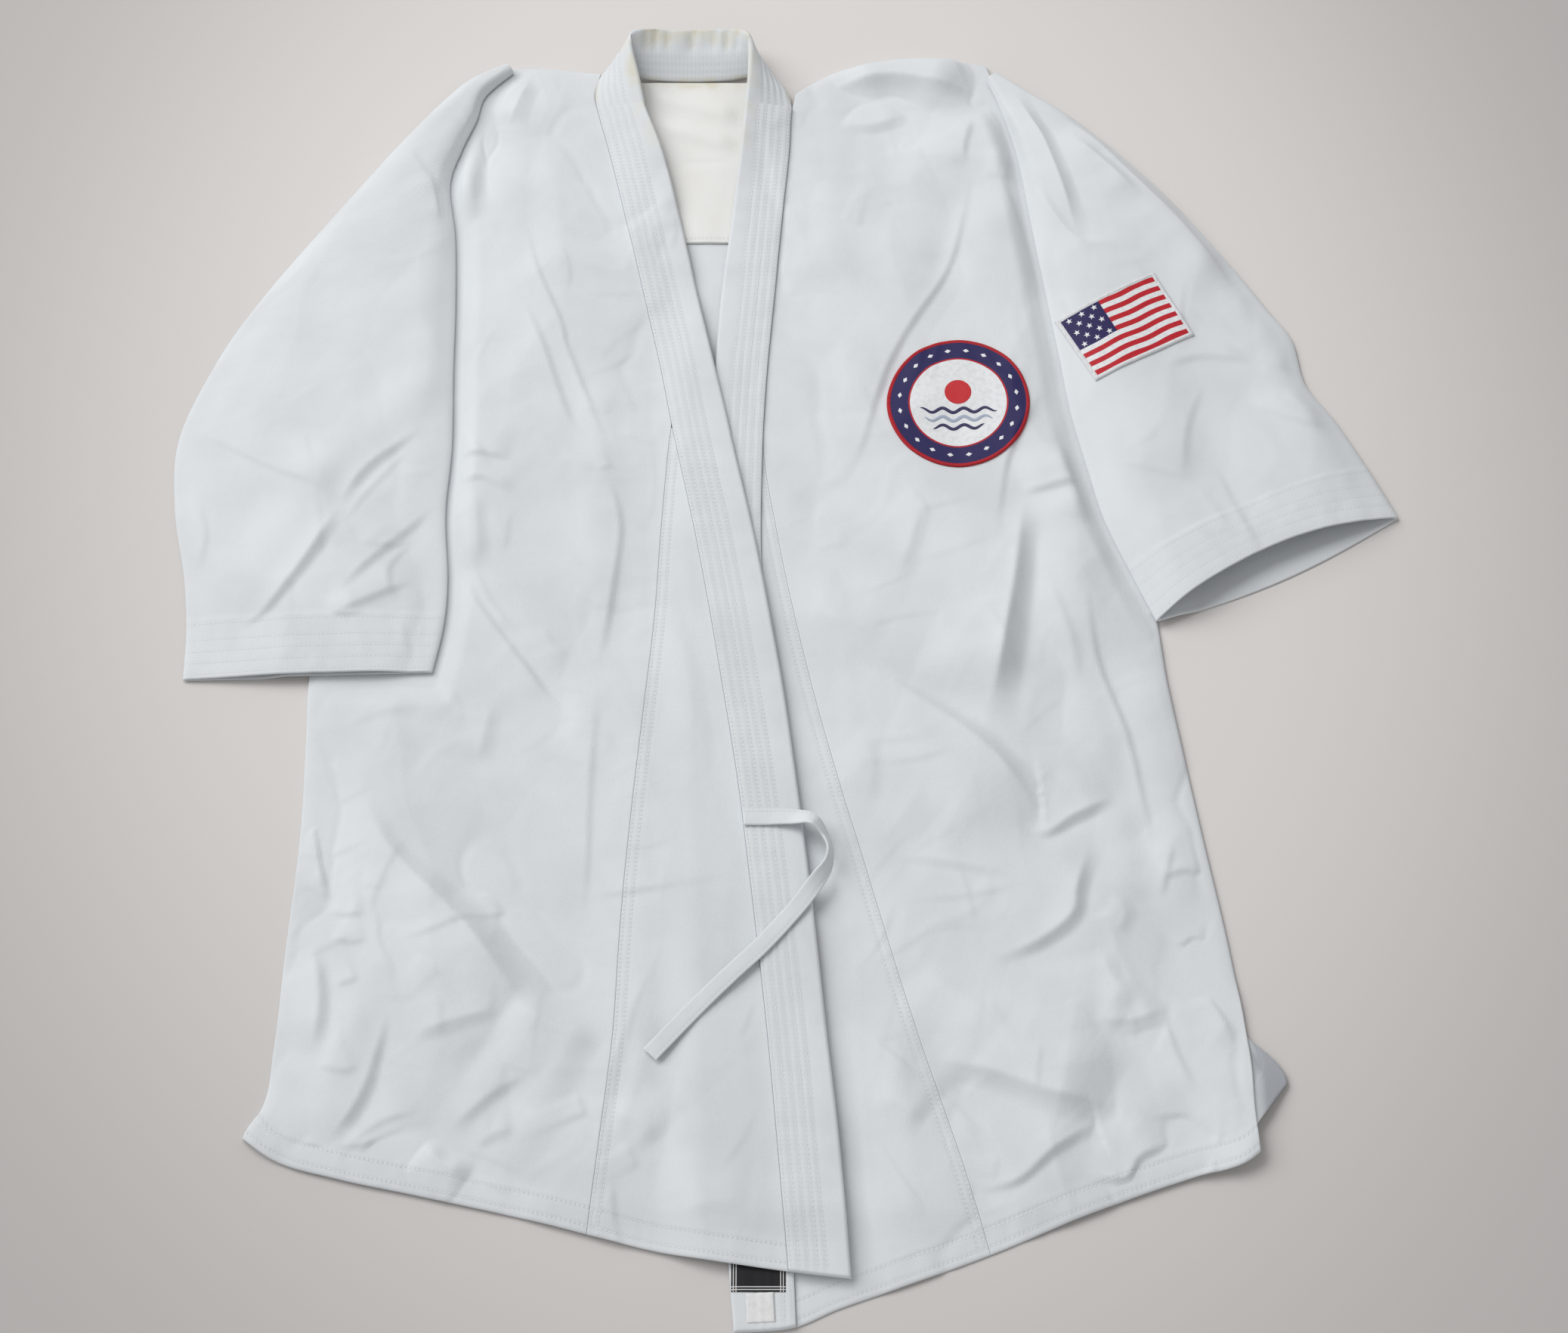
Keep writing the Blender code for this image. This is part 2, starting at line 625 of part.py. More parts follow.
def build_yoke():
    """The reinforcement inside the back neck."""
    low = CLOTH + STITCH_GAP
    left, right = YOKE_X
    outline = [
        (left, YOKE_LOW_Y), (right, YOKE_LOW_Y), (right, 405.0), (2.0, 415.0),
        (-14.0, NECK_SEAM_Y), (-126.0, NECK_SEAM_Y), (left, 428.0),
    ]
    return flat_piece("back_yoke", outline, low, low + CLOTH, CREAM_CANVAS)


def build_right_front():
    """Right front panel, from the band and gore seams to the side."""
    def inner_x(y):
        return (right_seam_x(y) if y >= RIGHT_KNEE else right_gore_x(y)) - SEAM_GAP / 2

    columns = with_folded_edge(spread(13), 205.0)
    levels = levels_through(RIGHT_KNEE, 22, 10)
    levels = levels[:-1] + top_levels()
    grid = panel_grid(inner_x, right_side_x, right_hem_y, right_shoulder_y, columns, levels)
    return cloth_panel("right_front", grid, right_height, CLOTH, WHITE_CANVAS)


def top_levels():
    """The last levels at a folded shoulder."""
    return [
        lambda low, high: high - EDGE_ROLL,
        lambda low, high: high - 0.38 * EDGE_ROLL,
        lambda low, high: high,
    ]


def build_left_front():
    """Left front panel, from the band and gore seams to the side."""
    def inner_x(y):
        return (left_seam_x(y) if y >= LEFT_KNEE else left_gore_x(y)) + SEAM_GAP / 2

    columns = with_folded_edge(spread(12), 200.0)
    levels = levels_through(LEFT_KNEE, 22, 11)
    levels = levels[:-1] + top_levels()
    grid = panel_grid(inner_x, left_side_x, left_hem_y, left_shoulder_y, columns, levels)
    return cloth_panel("left_front", grid, left_height, CLOTH, WHITE_CANVAS)


def build_gore(name, gore_x, seam_x, hem_y, knee, side, height):
    """A long three-cornered skirt panel beside the lapel band."""
    def outer(y):
        return gore_x(y) + side * SEAM_GAP / 2

    def inner(y):
        return seam_x(y) - side * SEAM_GAP / 2

    grid = panel_grid(outer, inner, hem_y, lambda x: knee - 9.0, spread(4), plain_levels(23))
    return cloth_panel(name, grid, height, CLOTH, WHITE_CANVAS)


def build_band(name, seam_x, edge_x, hem_y, side, height):
    """A lapel band from the hem up to the side of the neck."""
    def seam(y):
        return seam_x(y) + side * SEAM_GAP / 2

    grid = panel_grid(seam, edge_x, hem_y, lambda x: LAPEL_TOP_Y, spread(3), plain_levels(42))
    return cloth_panel(name, grid, height, BAND_THICK, WHITE_CANVAS)


def through(first, before, after, last, u):
    """A point between two of four on a smooth curve."""
    return 0.5 * (
        2.0 * before + (after - first) * u
        + (2.0 * first - 5.0 * before + 4.0 * after - last) * u * u
        + (3.0 * before - first - 3.0 * after + last) * u ** 3
    )


def smooth_rows(rows, steps):
    """Rows of a table with further rows between them on smooth curves."""
    result = []
    for i in range(len(rows) - 1):
        before, after = rows[i], rows[i + 1]
        first = rows[max(i - 1, 0)]
        last = rows[min(i + 2, len(rows) - 1)]
        for step in range(steps):
            u = step / steps
            result.append(type(before)(*[
                through(a, b, c, d, u) for a, b, c, d in zip(first, before, after, last)
            ]))
    return result + [rows[-1]]


def build_neck_band():
    """The band round the back of the neck, leaning outwards."""
    sections = smooth_rows(NECK, 3)
    seams = [Vector((row.seam_x, row.seam_y, row.seam_z)) for row in sections]
    frees = [Vector((row.free_x, row.free_y, row.free_z)) for row in sections]
    top = []
    bottom = []
    for i, (seam, free) in enumerate(zip(seams, frees)):
        before, after = max(i - 1, 0), min(i + 1, len(seams) - 1)
        along = (seams[after] + frees[after] - seams[before] - frees[before]).normalized()
        across = (free - seam).normalized()
        normal = across.cross(along).normalized()
        half = normal * (BAND_THICK / 2)
        middle = [seam.lerp(free, share) for share in spread(3)]
        top.append([tuple(point + half) for point in middle])
        bottom.append([tuple(point - half) for point in middle])
    return slab("neck_band", top, bottom, WHITE_CANVAS)


def sleeve_floor(x, y, side_x, side, slope_width):
    """Underside of a sleeve: over the body's edge, then down to the floor."""
    beyond = side * (x - side_x(y))
    return (2.0 * CLOTH + 2.0 * LAY_GAP - 0.3) * (1.0 - smooth((beyond - 12.0) / slope_width))


def build_sleeve(name, rows, steps, folds, side_x, side, cuff_setback):
    """A flattened sleeve: an outer and an inner skin joined at the cuff and the armhole."""
    sections = smooth_rows(rows, steps)
    count = 12
    fold_inset = 2.6
    low_slope, high_slope = 22.0, 60.0
    crown = 2.0
    least_gap = 0.5
    points = []
    skin_size = 2 * count
    for number, row in enumerate(sections):
        outer = Vector((row.outer_x, row.outer_y))
        inner = Vector((row.inner_x, row.inner_y))
        width = (inner - outer).length
        along = Vector(((inner - outer).y, -(inner - outer).x)).normalized() * side
        near_cuff = smooth(1.0 - (len(sections) - 1 - number) / (2.0 * steps))
        for skin in (0, 1):
            shares = [i / count for i in range(count + 1)]
            if skin:
                inset = fold_inset / width
                shares = [inset + share * (1.0 - 2.0 * inset) for share in shares]
            rings = [(share, 1) for share in shares]
            rings += [(share, 0) for share in reversed(shares[1:-1])]
            for share, upper in rings:
                spot = outer.lerp(inner, share)
                arch = math.sin(math.pi * share)
                open_gap = row.gap * (1.0 - abs(2.0 * share - 1.0) ** 3) + least_gap
                if upper:
                    spot = spot - along * (cuff_setback * near_cuff * arch)
                low = sleeve_floor(spot.x, spot.y, side_x, side, low_slope)
                gentle = sleeve_floor(spot.x, spot.y, side_x, side, high_slope)
                bulge = fold_height(folds, spot.x, spot.y) * smooth(3.0 * arch)
                fullness = open_gap + bulge + crown * smooth(2.0 * arch)
                high = CLOTH + max(low + least_gap, gentle + max(least_gap, fullness))
                at_fold = share in (shares[0], shares[-1])
                if at_fold:
                    height = (low + high + CLOTH) / 2
                elif upper:
                    height = high if skin else high + CLOTH
                else:
                    height = low + CLOTH if skin else low
                points.append((spot.x, spot.y, height))
    faces = []
    ring = 2 * skin_size

    def index(number, skin, place_in_ring):
        return number * ring + skin * skin_size + place_in_ring % skin_size

    for number in range(len(sections) - 1):
        for skin in (0, 1):
            for i in range(skin_size):
                faces.append([
                    index(number, skin, i), index(number, skin, i + 1),
                    index(number + 1, skin, i + 1), index(number + 1, skin, i),
                ])
    for number in (0, len(sections) - 1):
        for i in range(skin_size):
            faces.append([
                index(number, 0, i), index(number, 0, i + 1),
                index(number, 1, i + 1), index(number, 1, i),
            ])
    return make_object(name, [place(*point) for point in points], faces, WHITE_CANVAS)


def surface_of(piece):
    """A function that gives the top height of a piece at a place."""
    mesh = piece.data
    mesh.calc_loop_triangles()
    tree = BVHTree.FromPolygons(
        [vertex.co for vertex in mesh.vertices],
        [list(triangle.vertices) for triangle in mesh.loop_triangles],
    )

    def top_at(x, y):
        hit = tree.ray_cast(place(x, y, 200.0), Vector((0.0, 0.0, -1.0)))[0]
        return hit.z / MM if hit else None

    return top_at


def lay_on(name, grid, surface, thickness, finish):
    """A sewn-on piece made from the surface below it, moved out."""
    reach = 2.5

    def under(x, y):
        around = ((0.0, 0.0), (reach, 0.0), (-reach, 0.0), (0.0, reach), (0.0, -reach))
        heights = [surface(x + dx, y + dy) for dx, dy in around]
        return max(height for height in heights if height is not None)

    bottom = [[(x, y, under(x, y) + STITCH_GAP) for x, y in row] for row in grid]
    top = [[(x, y, z + thickness) for x, y, z in row] for row in bottom]
    return slab(name, top, bottom, finish)


def build_tie(pieces):
    """The tie: a flat strip that starts on the right band, turns and lies over the front."""
    surfaces = [surface_of(piece) for piece in pieces]
    offsets = (-0.5 * TIE_WIDTH, 0.0, 0.5 * TIE_WIDTH)

    def cloth_under(spot):
        heights = [
            surface(spot.x + dx, spot.y + dy)
            for surface in surfaces for dx in offsets for dy in offsets
        ]
        return max(height for height in heights if height is not None)

    sections = smooth_rows(TIE, 3)
    flats = [Vector((row.x, row.y, 0.0)) for row in sections]
    bases = [cloth_under(flat) for flat in flats]
    middles = []
    for i, (row, flat) in enumerate(zip(sections, flats)):
        near = bases[max(i - 2, 0):i + 3]
        lean_rise = 0.5 * TIE_WIDTH * abs(math.sin(math.radians(row.lean)))
        rise = max(near) + row.lift + lean_rise + TIE_THICK / 2 + LAY_GAP - 0.4
        middles.append(flat + Vector((0.0, 0.0, rise)))
    top = []
    bottom = []
    for i, (row, middle) in enumerate(zip(sections, middles)):
        along = (middles[min(i + 1, len(middles) - 1)] - middles[max(i - 1, 0)]).normalized()
        level = Vector((-along.y, along.x, 0.0)).normalized()
        lean = math.radians(row.lean)
        across = level * math.cos(lean) + Vector((0.0, 0.0, 1.0)) * math.sin(lean)
        normal = along.cross(across).normalized()
        half = normal * (TIE_THICK / 2)
        line = [middle + across * (TIE_WIDTH * (share - 0.5)) for share in spread(2)]
        top.append([tuple(point + half) for point in line])
        bottom.append([tuple(point - half) for point in line])
    return slab("tie", top, bottom, WHITE_CANVAS)


def build_round_patch(front):
    """The round patch: a disc on a square grid bent round, laid on the left front."""
    count = 14
    centre_x, centre_y = PATCH_CENTRE
    grid = []
    for row in range(count + 1):
        v = 2.0 * row / count - 1.0
        line = []
        for col in range(count + 1):
            u = 2.0 * col / count - 1.0
            x = PATCH_RADIUS * u * math.sqrt(1.0 - v * v / 2.0)
            y = PATCH_RADIUS * v * math.sqrt(1.0 - u * u / 2.0)
            line.append((centre_x + x, centre_y + y))
        grid.append(line)
    return lay_on("round_patch", grid, surface_of(front), PATCH_THICK, NAVY_TWILL)


def build_flag_patch(sleeve):
    """The flag patch on the left sleeve."""
    cos_turn, sin_turn = math.cos(FLAG_TURN), math.sin(FLAG_TURN)
    grid = []
    for v in spread(7):
        line = []
        for u in spread(10):
            x = FLAG_SIZE[0] * (u - 0.5)
            y = FLAG_SIZE[1] * (v - 0.5)
            line.append((
                FLAG_CENTRE[0] + x * cos_turn - y * sin_turn,
                FLAG_CENTRE[1] + x * sin_turn + y * cos_turn,
            ))
        grid.append(line)
    return lay_on("flag_patch", grid, surface_of(sleeve), PATCH_THICK, RED_TWILL)


def build_label(name, box, band, finish):
    """A small label on the end of the left band."""
    left, right, low, high = box
    grid = [
        [(left + u * (right - left), low + v * (high - low)) for u in spread(3)]
        for v in spread(3)
    ]
    return lay_on(name, grid, surface_of(band), LABEL_THICK, finish)


def build():
    """Build every piece of the jacket."""
    for old in list(bpy.data.objects):
        bpy.data.objects.remove(old, do_unlink=True)
    build_back()
    build_yoke()
    left_front = build_left_front()
    left_gore = build_gore(
        "left_gore", left_gore_x, left_seam_x, left_hem_y, LEFT_KNEE, -1, left_height
    )
    left_band = build_band("left_band", left_seam_x, left_edge_x, left_hem_y, -1, left_height)
    right_front = build_right_front()
    right_gore = build_gore(
        "right_gore", right_gore_x, right_seam_x, right_hem_y, RIGHT_KNEE, 1, right_height
    )
    right_band = build_band(
        "right_band", right_seam_x, right_edge_x, right_hem_y, 1, right_height
    )
    build_neck_band()
    build_sleeve("right_sleeve", RIGHT_SLEEVE, 2, RIGHT_SLEEVE_FOLDS, right_side_x, -1, 0.0)
    left_sleeve = build_sleeve(
        "left_sleeve", LEFT_SLEEVE, 2, LEFT_SLEEVE_FOLDS, left_side_x, 1, 8.0
    )
    build_tie([left_front, left_gore, right_front, right_gore, right_band])
    build_round_patch(left_front)
    build_flag_patch(left_sleeve)
    build_label("black_label", BLACK_LABEL, left_band, BLACK_SATIN)
    build_label("white_label", WHITE_LABEL, left_band, WHITE_TAPE)


build()
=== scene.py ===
"""Karate gi jacket, laid flat on its back with the front closed: cloth, sewing and finishes.

The jacket lies in the XY plane: +X to the wearer's left, +Y from hem to collar, +Z up. The
tables are in millimetres, with Y counted from a line 6 mm above the model's origin line, and
`to_model` turns them into metres of the shared frame. The fine cloth keeps to the solids'
own tables, with the smaller creases, the hems, the seams and the stitches added to them.
"""

import logging
import math
from collections import namedtuple
from collections.abc import Callable, Sequence
from dataclasses import dataclass, field
from enum import Enum

import bpy
import numpy as np
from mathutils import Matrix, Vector
from mathutils.bvhtree import BVHTree

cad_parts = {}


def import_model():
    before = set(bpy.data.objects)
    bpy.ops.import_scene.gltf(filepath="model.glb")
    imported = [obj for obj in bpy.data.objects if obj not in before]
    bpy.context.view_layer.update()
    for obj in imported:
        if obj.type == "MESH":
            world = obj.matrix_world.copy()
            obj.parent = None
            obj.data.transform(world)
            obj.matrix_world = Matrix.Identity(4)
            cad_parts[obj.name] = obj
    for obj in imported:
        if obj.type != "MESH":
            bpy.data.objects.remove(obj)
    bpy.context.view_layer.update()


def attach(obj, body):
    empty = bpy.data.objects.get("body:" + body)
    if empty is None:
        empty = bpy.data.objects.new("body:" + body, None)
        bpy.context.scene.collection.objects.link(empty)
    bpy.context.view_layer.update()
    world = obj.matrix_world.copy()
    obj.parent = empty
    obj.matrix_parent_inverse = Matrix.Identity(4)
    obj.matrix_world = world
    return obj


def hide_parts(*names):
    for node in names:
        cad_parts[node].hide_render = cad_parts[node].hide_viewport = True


LOG = logging.getLogger("jacket")
Array = np.ndarray
Height = Callable[[Array, Array], Array]

MM = 0.001

# Sizes of the solids, in millimetres
CENTRE_Y = -6.0          # middle of the jacket's length, in the tables' own Y
CLOTH = 1.5              # cotton canvas wall
BAND_THICK = 4.0         # folded lapel band with its interlining
BAND_WIDTH = 38.0
TIE_WIDTH = 11.5
TIE_THICK = 2.0
SEAM_GAP = 0.12          # seams drawn tighter than in the solids
LAY_GAP = 0.9
STITCH_GAP = 0.35
FLOOR_GAP = 0.1
EDGE_ROLL = 10.0
BACK_INSET = 4.2
RIGHT_KNEE = 147.0       # Y where the right gore starts at the band
LEFT_KNEE = 132.0
NECK_SEAM_Y = 437.9
LAPEL_TOP_Y = 411.3      # where the lapel bands pass into the neck band
YOKE_LOW_Y = 298.0
YOKE_X = (-150.0, 18.0)
COLLAR_RISE = 10.0
COLLAR_RISE_FROM = 300.0
PUFF = 4.0
EDGE_FADE = 60.0
SHOULDER_FADE = 50.0
SLEEVE_FADE = 17.0
SLEEVE_CLEAR = 2.0
UPPER_FADE = 40.0
UPPER_CLEAR = 8.0
LEFT_CUFF_Y = -14.0
RIGHT_CUFF_Y = -54.0
SIDE_OPEN_Y = -255.0
CROSS_Y = 215.0
TOUCH_BLEND = 1.2
NECK_POINT_X = (-133.0, 5.0)
PATCH_CENTRE = (124.0, 162.0)
PATCH_RADIUS = 50.8
FLAG_CENTRE = (245.0, 221.0)
FLAG_SIZE = (82.0, 58.0)
FLAG_TURN = math.radians(27.5)
BLACK_LABEL = (-33.0, 1.0, -462.0, -432.0)
WHITE_LABEL = (-23.5, -6.0, -480.5, -462.6)
LABEL_LIFT = 1.8
CORNER = (299.0, -292.0)  # where the lower left corner starts to stand off the floor
CORNER_LIFT = 7.5

# Crosswise sections of the lapel bands and gores, one row for each height Y
Seam = namedtuple("Seam", "y right_gore right_seam right_edge left_edge left_seam left_gore")
SEAMS = [Seam(*row) for row in (
    (452, -136, -136, -116, -26, 10, 10), (440, -139, -139, -112, -27, 9, 9),
    (425, -142, -142, -107, -28, 8.5, 8.5), (411, -139.5, -139.5, -104, -29, 6, 6),
    (375, -130, -130, -91, -32, 4, 4), (320, -117, -117, -77, -38, -1, -1),
    (250, -101, -101, -62, -46, -7, -7), (190, -88, -88, -49, -50, -12, -12),
    (147, -80, -80, -39.5, -52, -14.5, -14.5), (132, -81.3, -77, -36.5, -52, -15, -15),
    (60, -86, -62, -21, -51, -16, -4.5), (0, -89, -51, -10, -49, -14, 7),
    (-60, -94, -41, 0, -47, -11, 20.5), (-120, -99.5, -31.5, 8, -45, -8, 36),
    (-180, -104.5, -24, 15.5, -42, -5, 53), (-240, -108, -17, 22, -40, -2, 69.5),
    (-300, -110.5, -10.5, 28, -38, 1, 87), (-360, -116.5, -5, 34.5, -37, 3, 106.5),
    (-400, -121, -1.5, 38, -36, 5, 119), (-440, -125.5, 2, 41, -35, 6, 130),
    (-490, -131, 5.5, 44, -31, 8, 143),
)]

# Side edges of the body, one row for each height Y
Side = namedtuple("Side", "y right left")
SIDES = [Side(*row) for row in (
    (456, -218, 152), (440, -225, 158), (410, -243, 181), (375, -262, 197), (320, -271, 206),
    (250, -275, 214), (190, -283, 224), (120, -297, 236), (50, -310, 248), (0, -320, 257),
    (-50, -325, 262), (-90, -324, 268), (-160, -323, 279), (-240, -327, 292), (-310, -330, 300),
    (-345, -334, 300), (-362, -344, 301), (-378, -347, 302), (-400, -347, 302),
)]

# Curves across the jacket, one row for each place X
Across = namedtuple("Across", "x y")
RIGHT_HEM = [Across(*row) for row in (
    (-350, -362), (-325, -379), (-284, -391), (-236, -401), (-161, -417), (-75, -438), (3, -450),
    (46, -455),
)]
LEFT_HEM = [Across(*row) for row in (
    (-35, -487), (8, -483), (32, -473), (67, -461), (129, -439), (191, -414), (261, -390), (292, -382),
    (306, -372),
)]
BACK_HEM = [Across(*row) for row in (
    (-348, -346), (-325, -360), (-284, -377), (-200, -392), (0, -402), (240, -386), (285, -371),
    (303, -355), (313, -342), (326, -326),
)]
RIGHT_SHOULDER = [Across(*row) for row in (
    (-224, 449), (-200, 452), (-176, 451), (-150, 447), (-133, 443),
)]
LEFT_SHOULDER = [Across(*row) for row in (
    (5, 422), (20, 436), (36, 446), (57, 453), (94, 459), (123, 459), (154, 454),
)]

# Sections of the neck band, from the right lapel round the back neck to the left lapel
Neck = namedtuple("Neck", "seam_x seam_y seam_z free_x free_y free_z")
NECK = [Neck(*row) for row in (
    (-139.4, 411.4, 6.4, -103.9, 411.4, 16.4), (-141.0, 426.0, 6.6, -108.5, 433.0, 23.0),
    (-135.0, 442.5, 5.4, -114.5, 457.0, 28.0), (-115.0, 443.0, 3.6, -113.5, 468.0, 27.5),
    (-98.0, 440.5, 2.8, -98.0, 473.5, 22.0), (-70.0, 439.4, 2.5, -70.0, 474.5, 19.0),
    (-42.0, 440.5, 2.8, -41.5, 473.5, 22.0), (-25.0, 443.0, 3.6, -27.5, 467.0, 27.5),
    (-10.0, 440.5, 5.4, -26.0, 455.5, 28.0), (1.5, 427.0, 6.6, -27.0, 433.5, 23.0),
    (5.8, 411.4, 6.4, -29.0, 411.4, 16.4),
)]

# Sections of the flattened sleeves, from shoulder to cuff
Sleeve = namedtuple("Sleeve", "outer_x outer_y inner_x inner_y gap")
RIGHT_SLEEVE = [Sleeve(*row) for row in (
    (-210, 452, -204, 445, 1.5), (-236, 439, -224, 424, 5.0), (-253, 423, -230, 402, 7.0),
    (-275, 397, -240, 375, 8.0), (-302, 362, -247, 345, 7.5), (-345, 303, -241, 300, 5.5),
    (-383, 246, -238, 243, 4.2), (-409, 197, -237, 190, 4.6), (-430, 136, -235, 128, 4.8),
    (-428, 80, -237, 75, 4.4), (-417, 28, -233, 25, 3.6), (-412, -12, -234, -10, 2.2),
    (-411, -49, -240, -45, 1.0),
)]
LEFT_SLEEVE = [Sleeve(*row) for row in (
    (162, 444, 152, 438, 1.0), (180, 430, 161, 416, 1.6), (223, 400, 173, 371, 3.0),
    (276, 347, 182, 308, 4.2), (321, 287, 190, 252, 5.0), (352, 240, 198, 198, 5.4),
    (367, 216, 204, 155, 6.0), (374, 180, 214, 110, 7.5), (393, 150, 224, 70, 9.5),
    (413, 112, 240, 30, 11.5), (431, 74, 256, -7, 13.0),
)]

# Largest folds: from one end to the other, height over the cloth and half width
Fold = namedtuple("Fold", "x1 y1 x2 y2 height width")
RIGHT_FOLDS = [Fold(*row) for row in (
    (-283, -129, -232, -205, 2.5, 16), (-232, -205, -171, -283, 4.5, 17),
    (-171, -283, -124, -307, 3.0, 20), (-255, -125, -205, -190, -4.0, 22),
    (-205, -190, -140, -255, -6.5, 24), (-319, -141, -303, -210, -3.0, 14),
    (-304, -235, -312, -320, 6.5, 17), (-281, -290, -300, -345, 6.0, 15),
    (-253, -281, -268, -340, -4.0, 14), (-268, -340, -285, -370, -3.0, 13),
    (-225, -325, -205, -300, 4.0, 18), (-131, 160, -131, 10, 4.5, 18), (-111, 115, -113, -20, -2.5, 13),
    (-150, -80, -146, -230, 3.0, 18), (-236, 45, -151, -79, -3.0, 13), (-212, 48, -135, -60, 3.5, 18),
    (-222, 432, -236, 330, -4.0, 17), (-197, 430, -200, 330, 6.0, 20), (-200, 330, -178, 230, 4.5, 24),
    (-206, -360, -157, -324, -3.0, 14), (-185, -375, -130, -345, 3.5, 16),
    (-75, -410, -24, -406, -2.0, 13),
)]
LEFT_FOLDS = [Fold(*row) for row in (
    (45, 425, 150, 422, -3.5, 15), (60, 446, 145, 446, 4.5, 12), (141, 364, 116, 282, -3.0, 13),
    (116, 282, 74, 183, -3.0, 13), (74, 183, 36, 88, -2.5, 12), (165, 350, 140, 270, 4.5, 18),
    (104, 370, 84, 270, 3.5, 22), (200, 171, 157, 112, -2.5, 13), (206, 100, 172, 88, -4.0, 16),
    (170, 70, 140, -70, -4.0, 22), (207, 62, 190, -105, 6.0, 28), (125, 70, 110, -30, 4.0, 26),
    (50, -42, 110, -62, -2.5, 18), (110, -62, 172, -150, -4.0, 18), (172, -158, 219, -136, -4.0, 13),
    (213, -14, 230, -103, -3.0, 12), (230, -103, 241, -203, -3.5, 12), (248, -60, 264, -190, 4.0, 13),
    (206, -175, 151, -244, -3.0, 15), (226, -180, 196, -240, 4.0, 16), (96, -310, 202, -349, -4.0, 20),
    (110, -275, 205, -310, 4.0, 22), (204, -351, 130, -398, -3.0, 13), (205, -291, 255, -300, -3.0, 16),
    (259, -352, 268, -374, -3.0, 13), (283, -300, 277, -345, 5.0, 18),
)]
RIGHT_SLEEVE_FOLDS = [Fold(*row) for row in (
    (-247, 154, -309, 90, -3.0, 14), (-309, 90, -365, -4, -3.5, 14), (-262, 172, -326, 108, 3.5, 16),
    (-330, 100, -380, 15, 3.5, 18), (-257, 61, -308, 13, -2.5, 13), (-256, 40, -300, 5, 2.0, 13),
)]
LEFT_SLEEVE_FOLDS = [Fold(*row) for row in (
    (168, 400, 222, 370, 4.5, 13), (222, 370, 305, 277, 6.0, 15), (305, 277, 345, 227, 4.5, 15),
    (215, 392, 330, 268, -3.0, 13), (182, 334, 220, 284, -3.5, 16), (286, 189, 312, 93, -2.5, 15),
    (345, 180, 385, 130, 3.0, 18),
)]

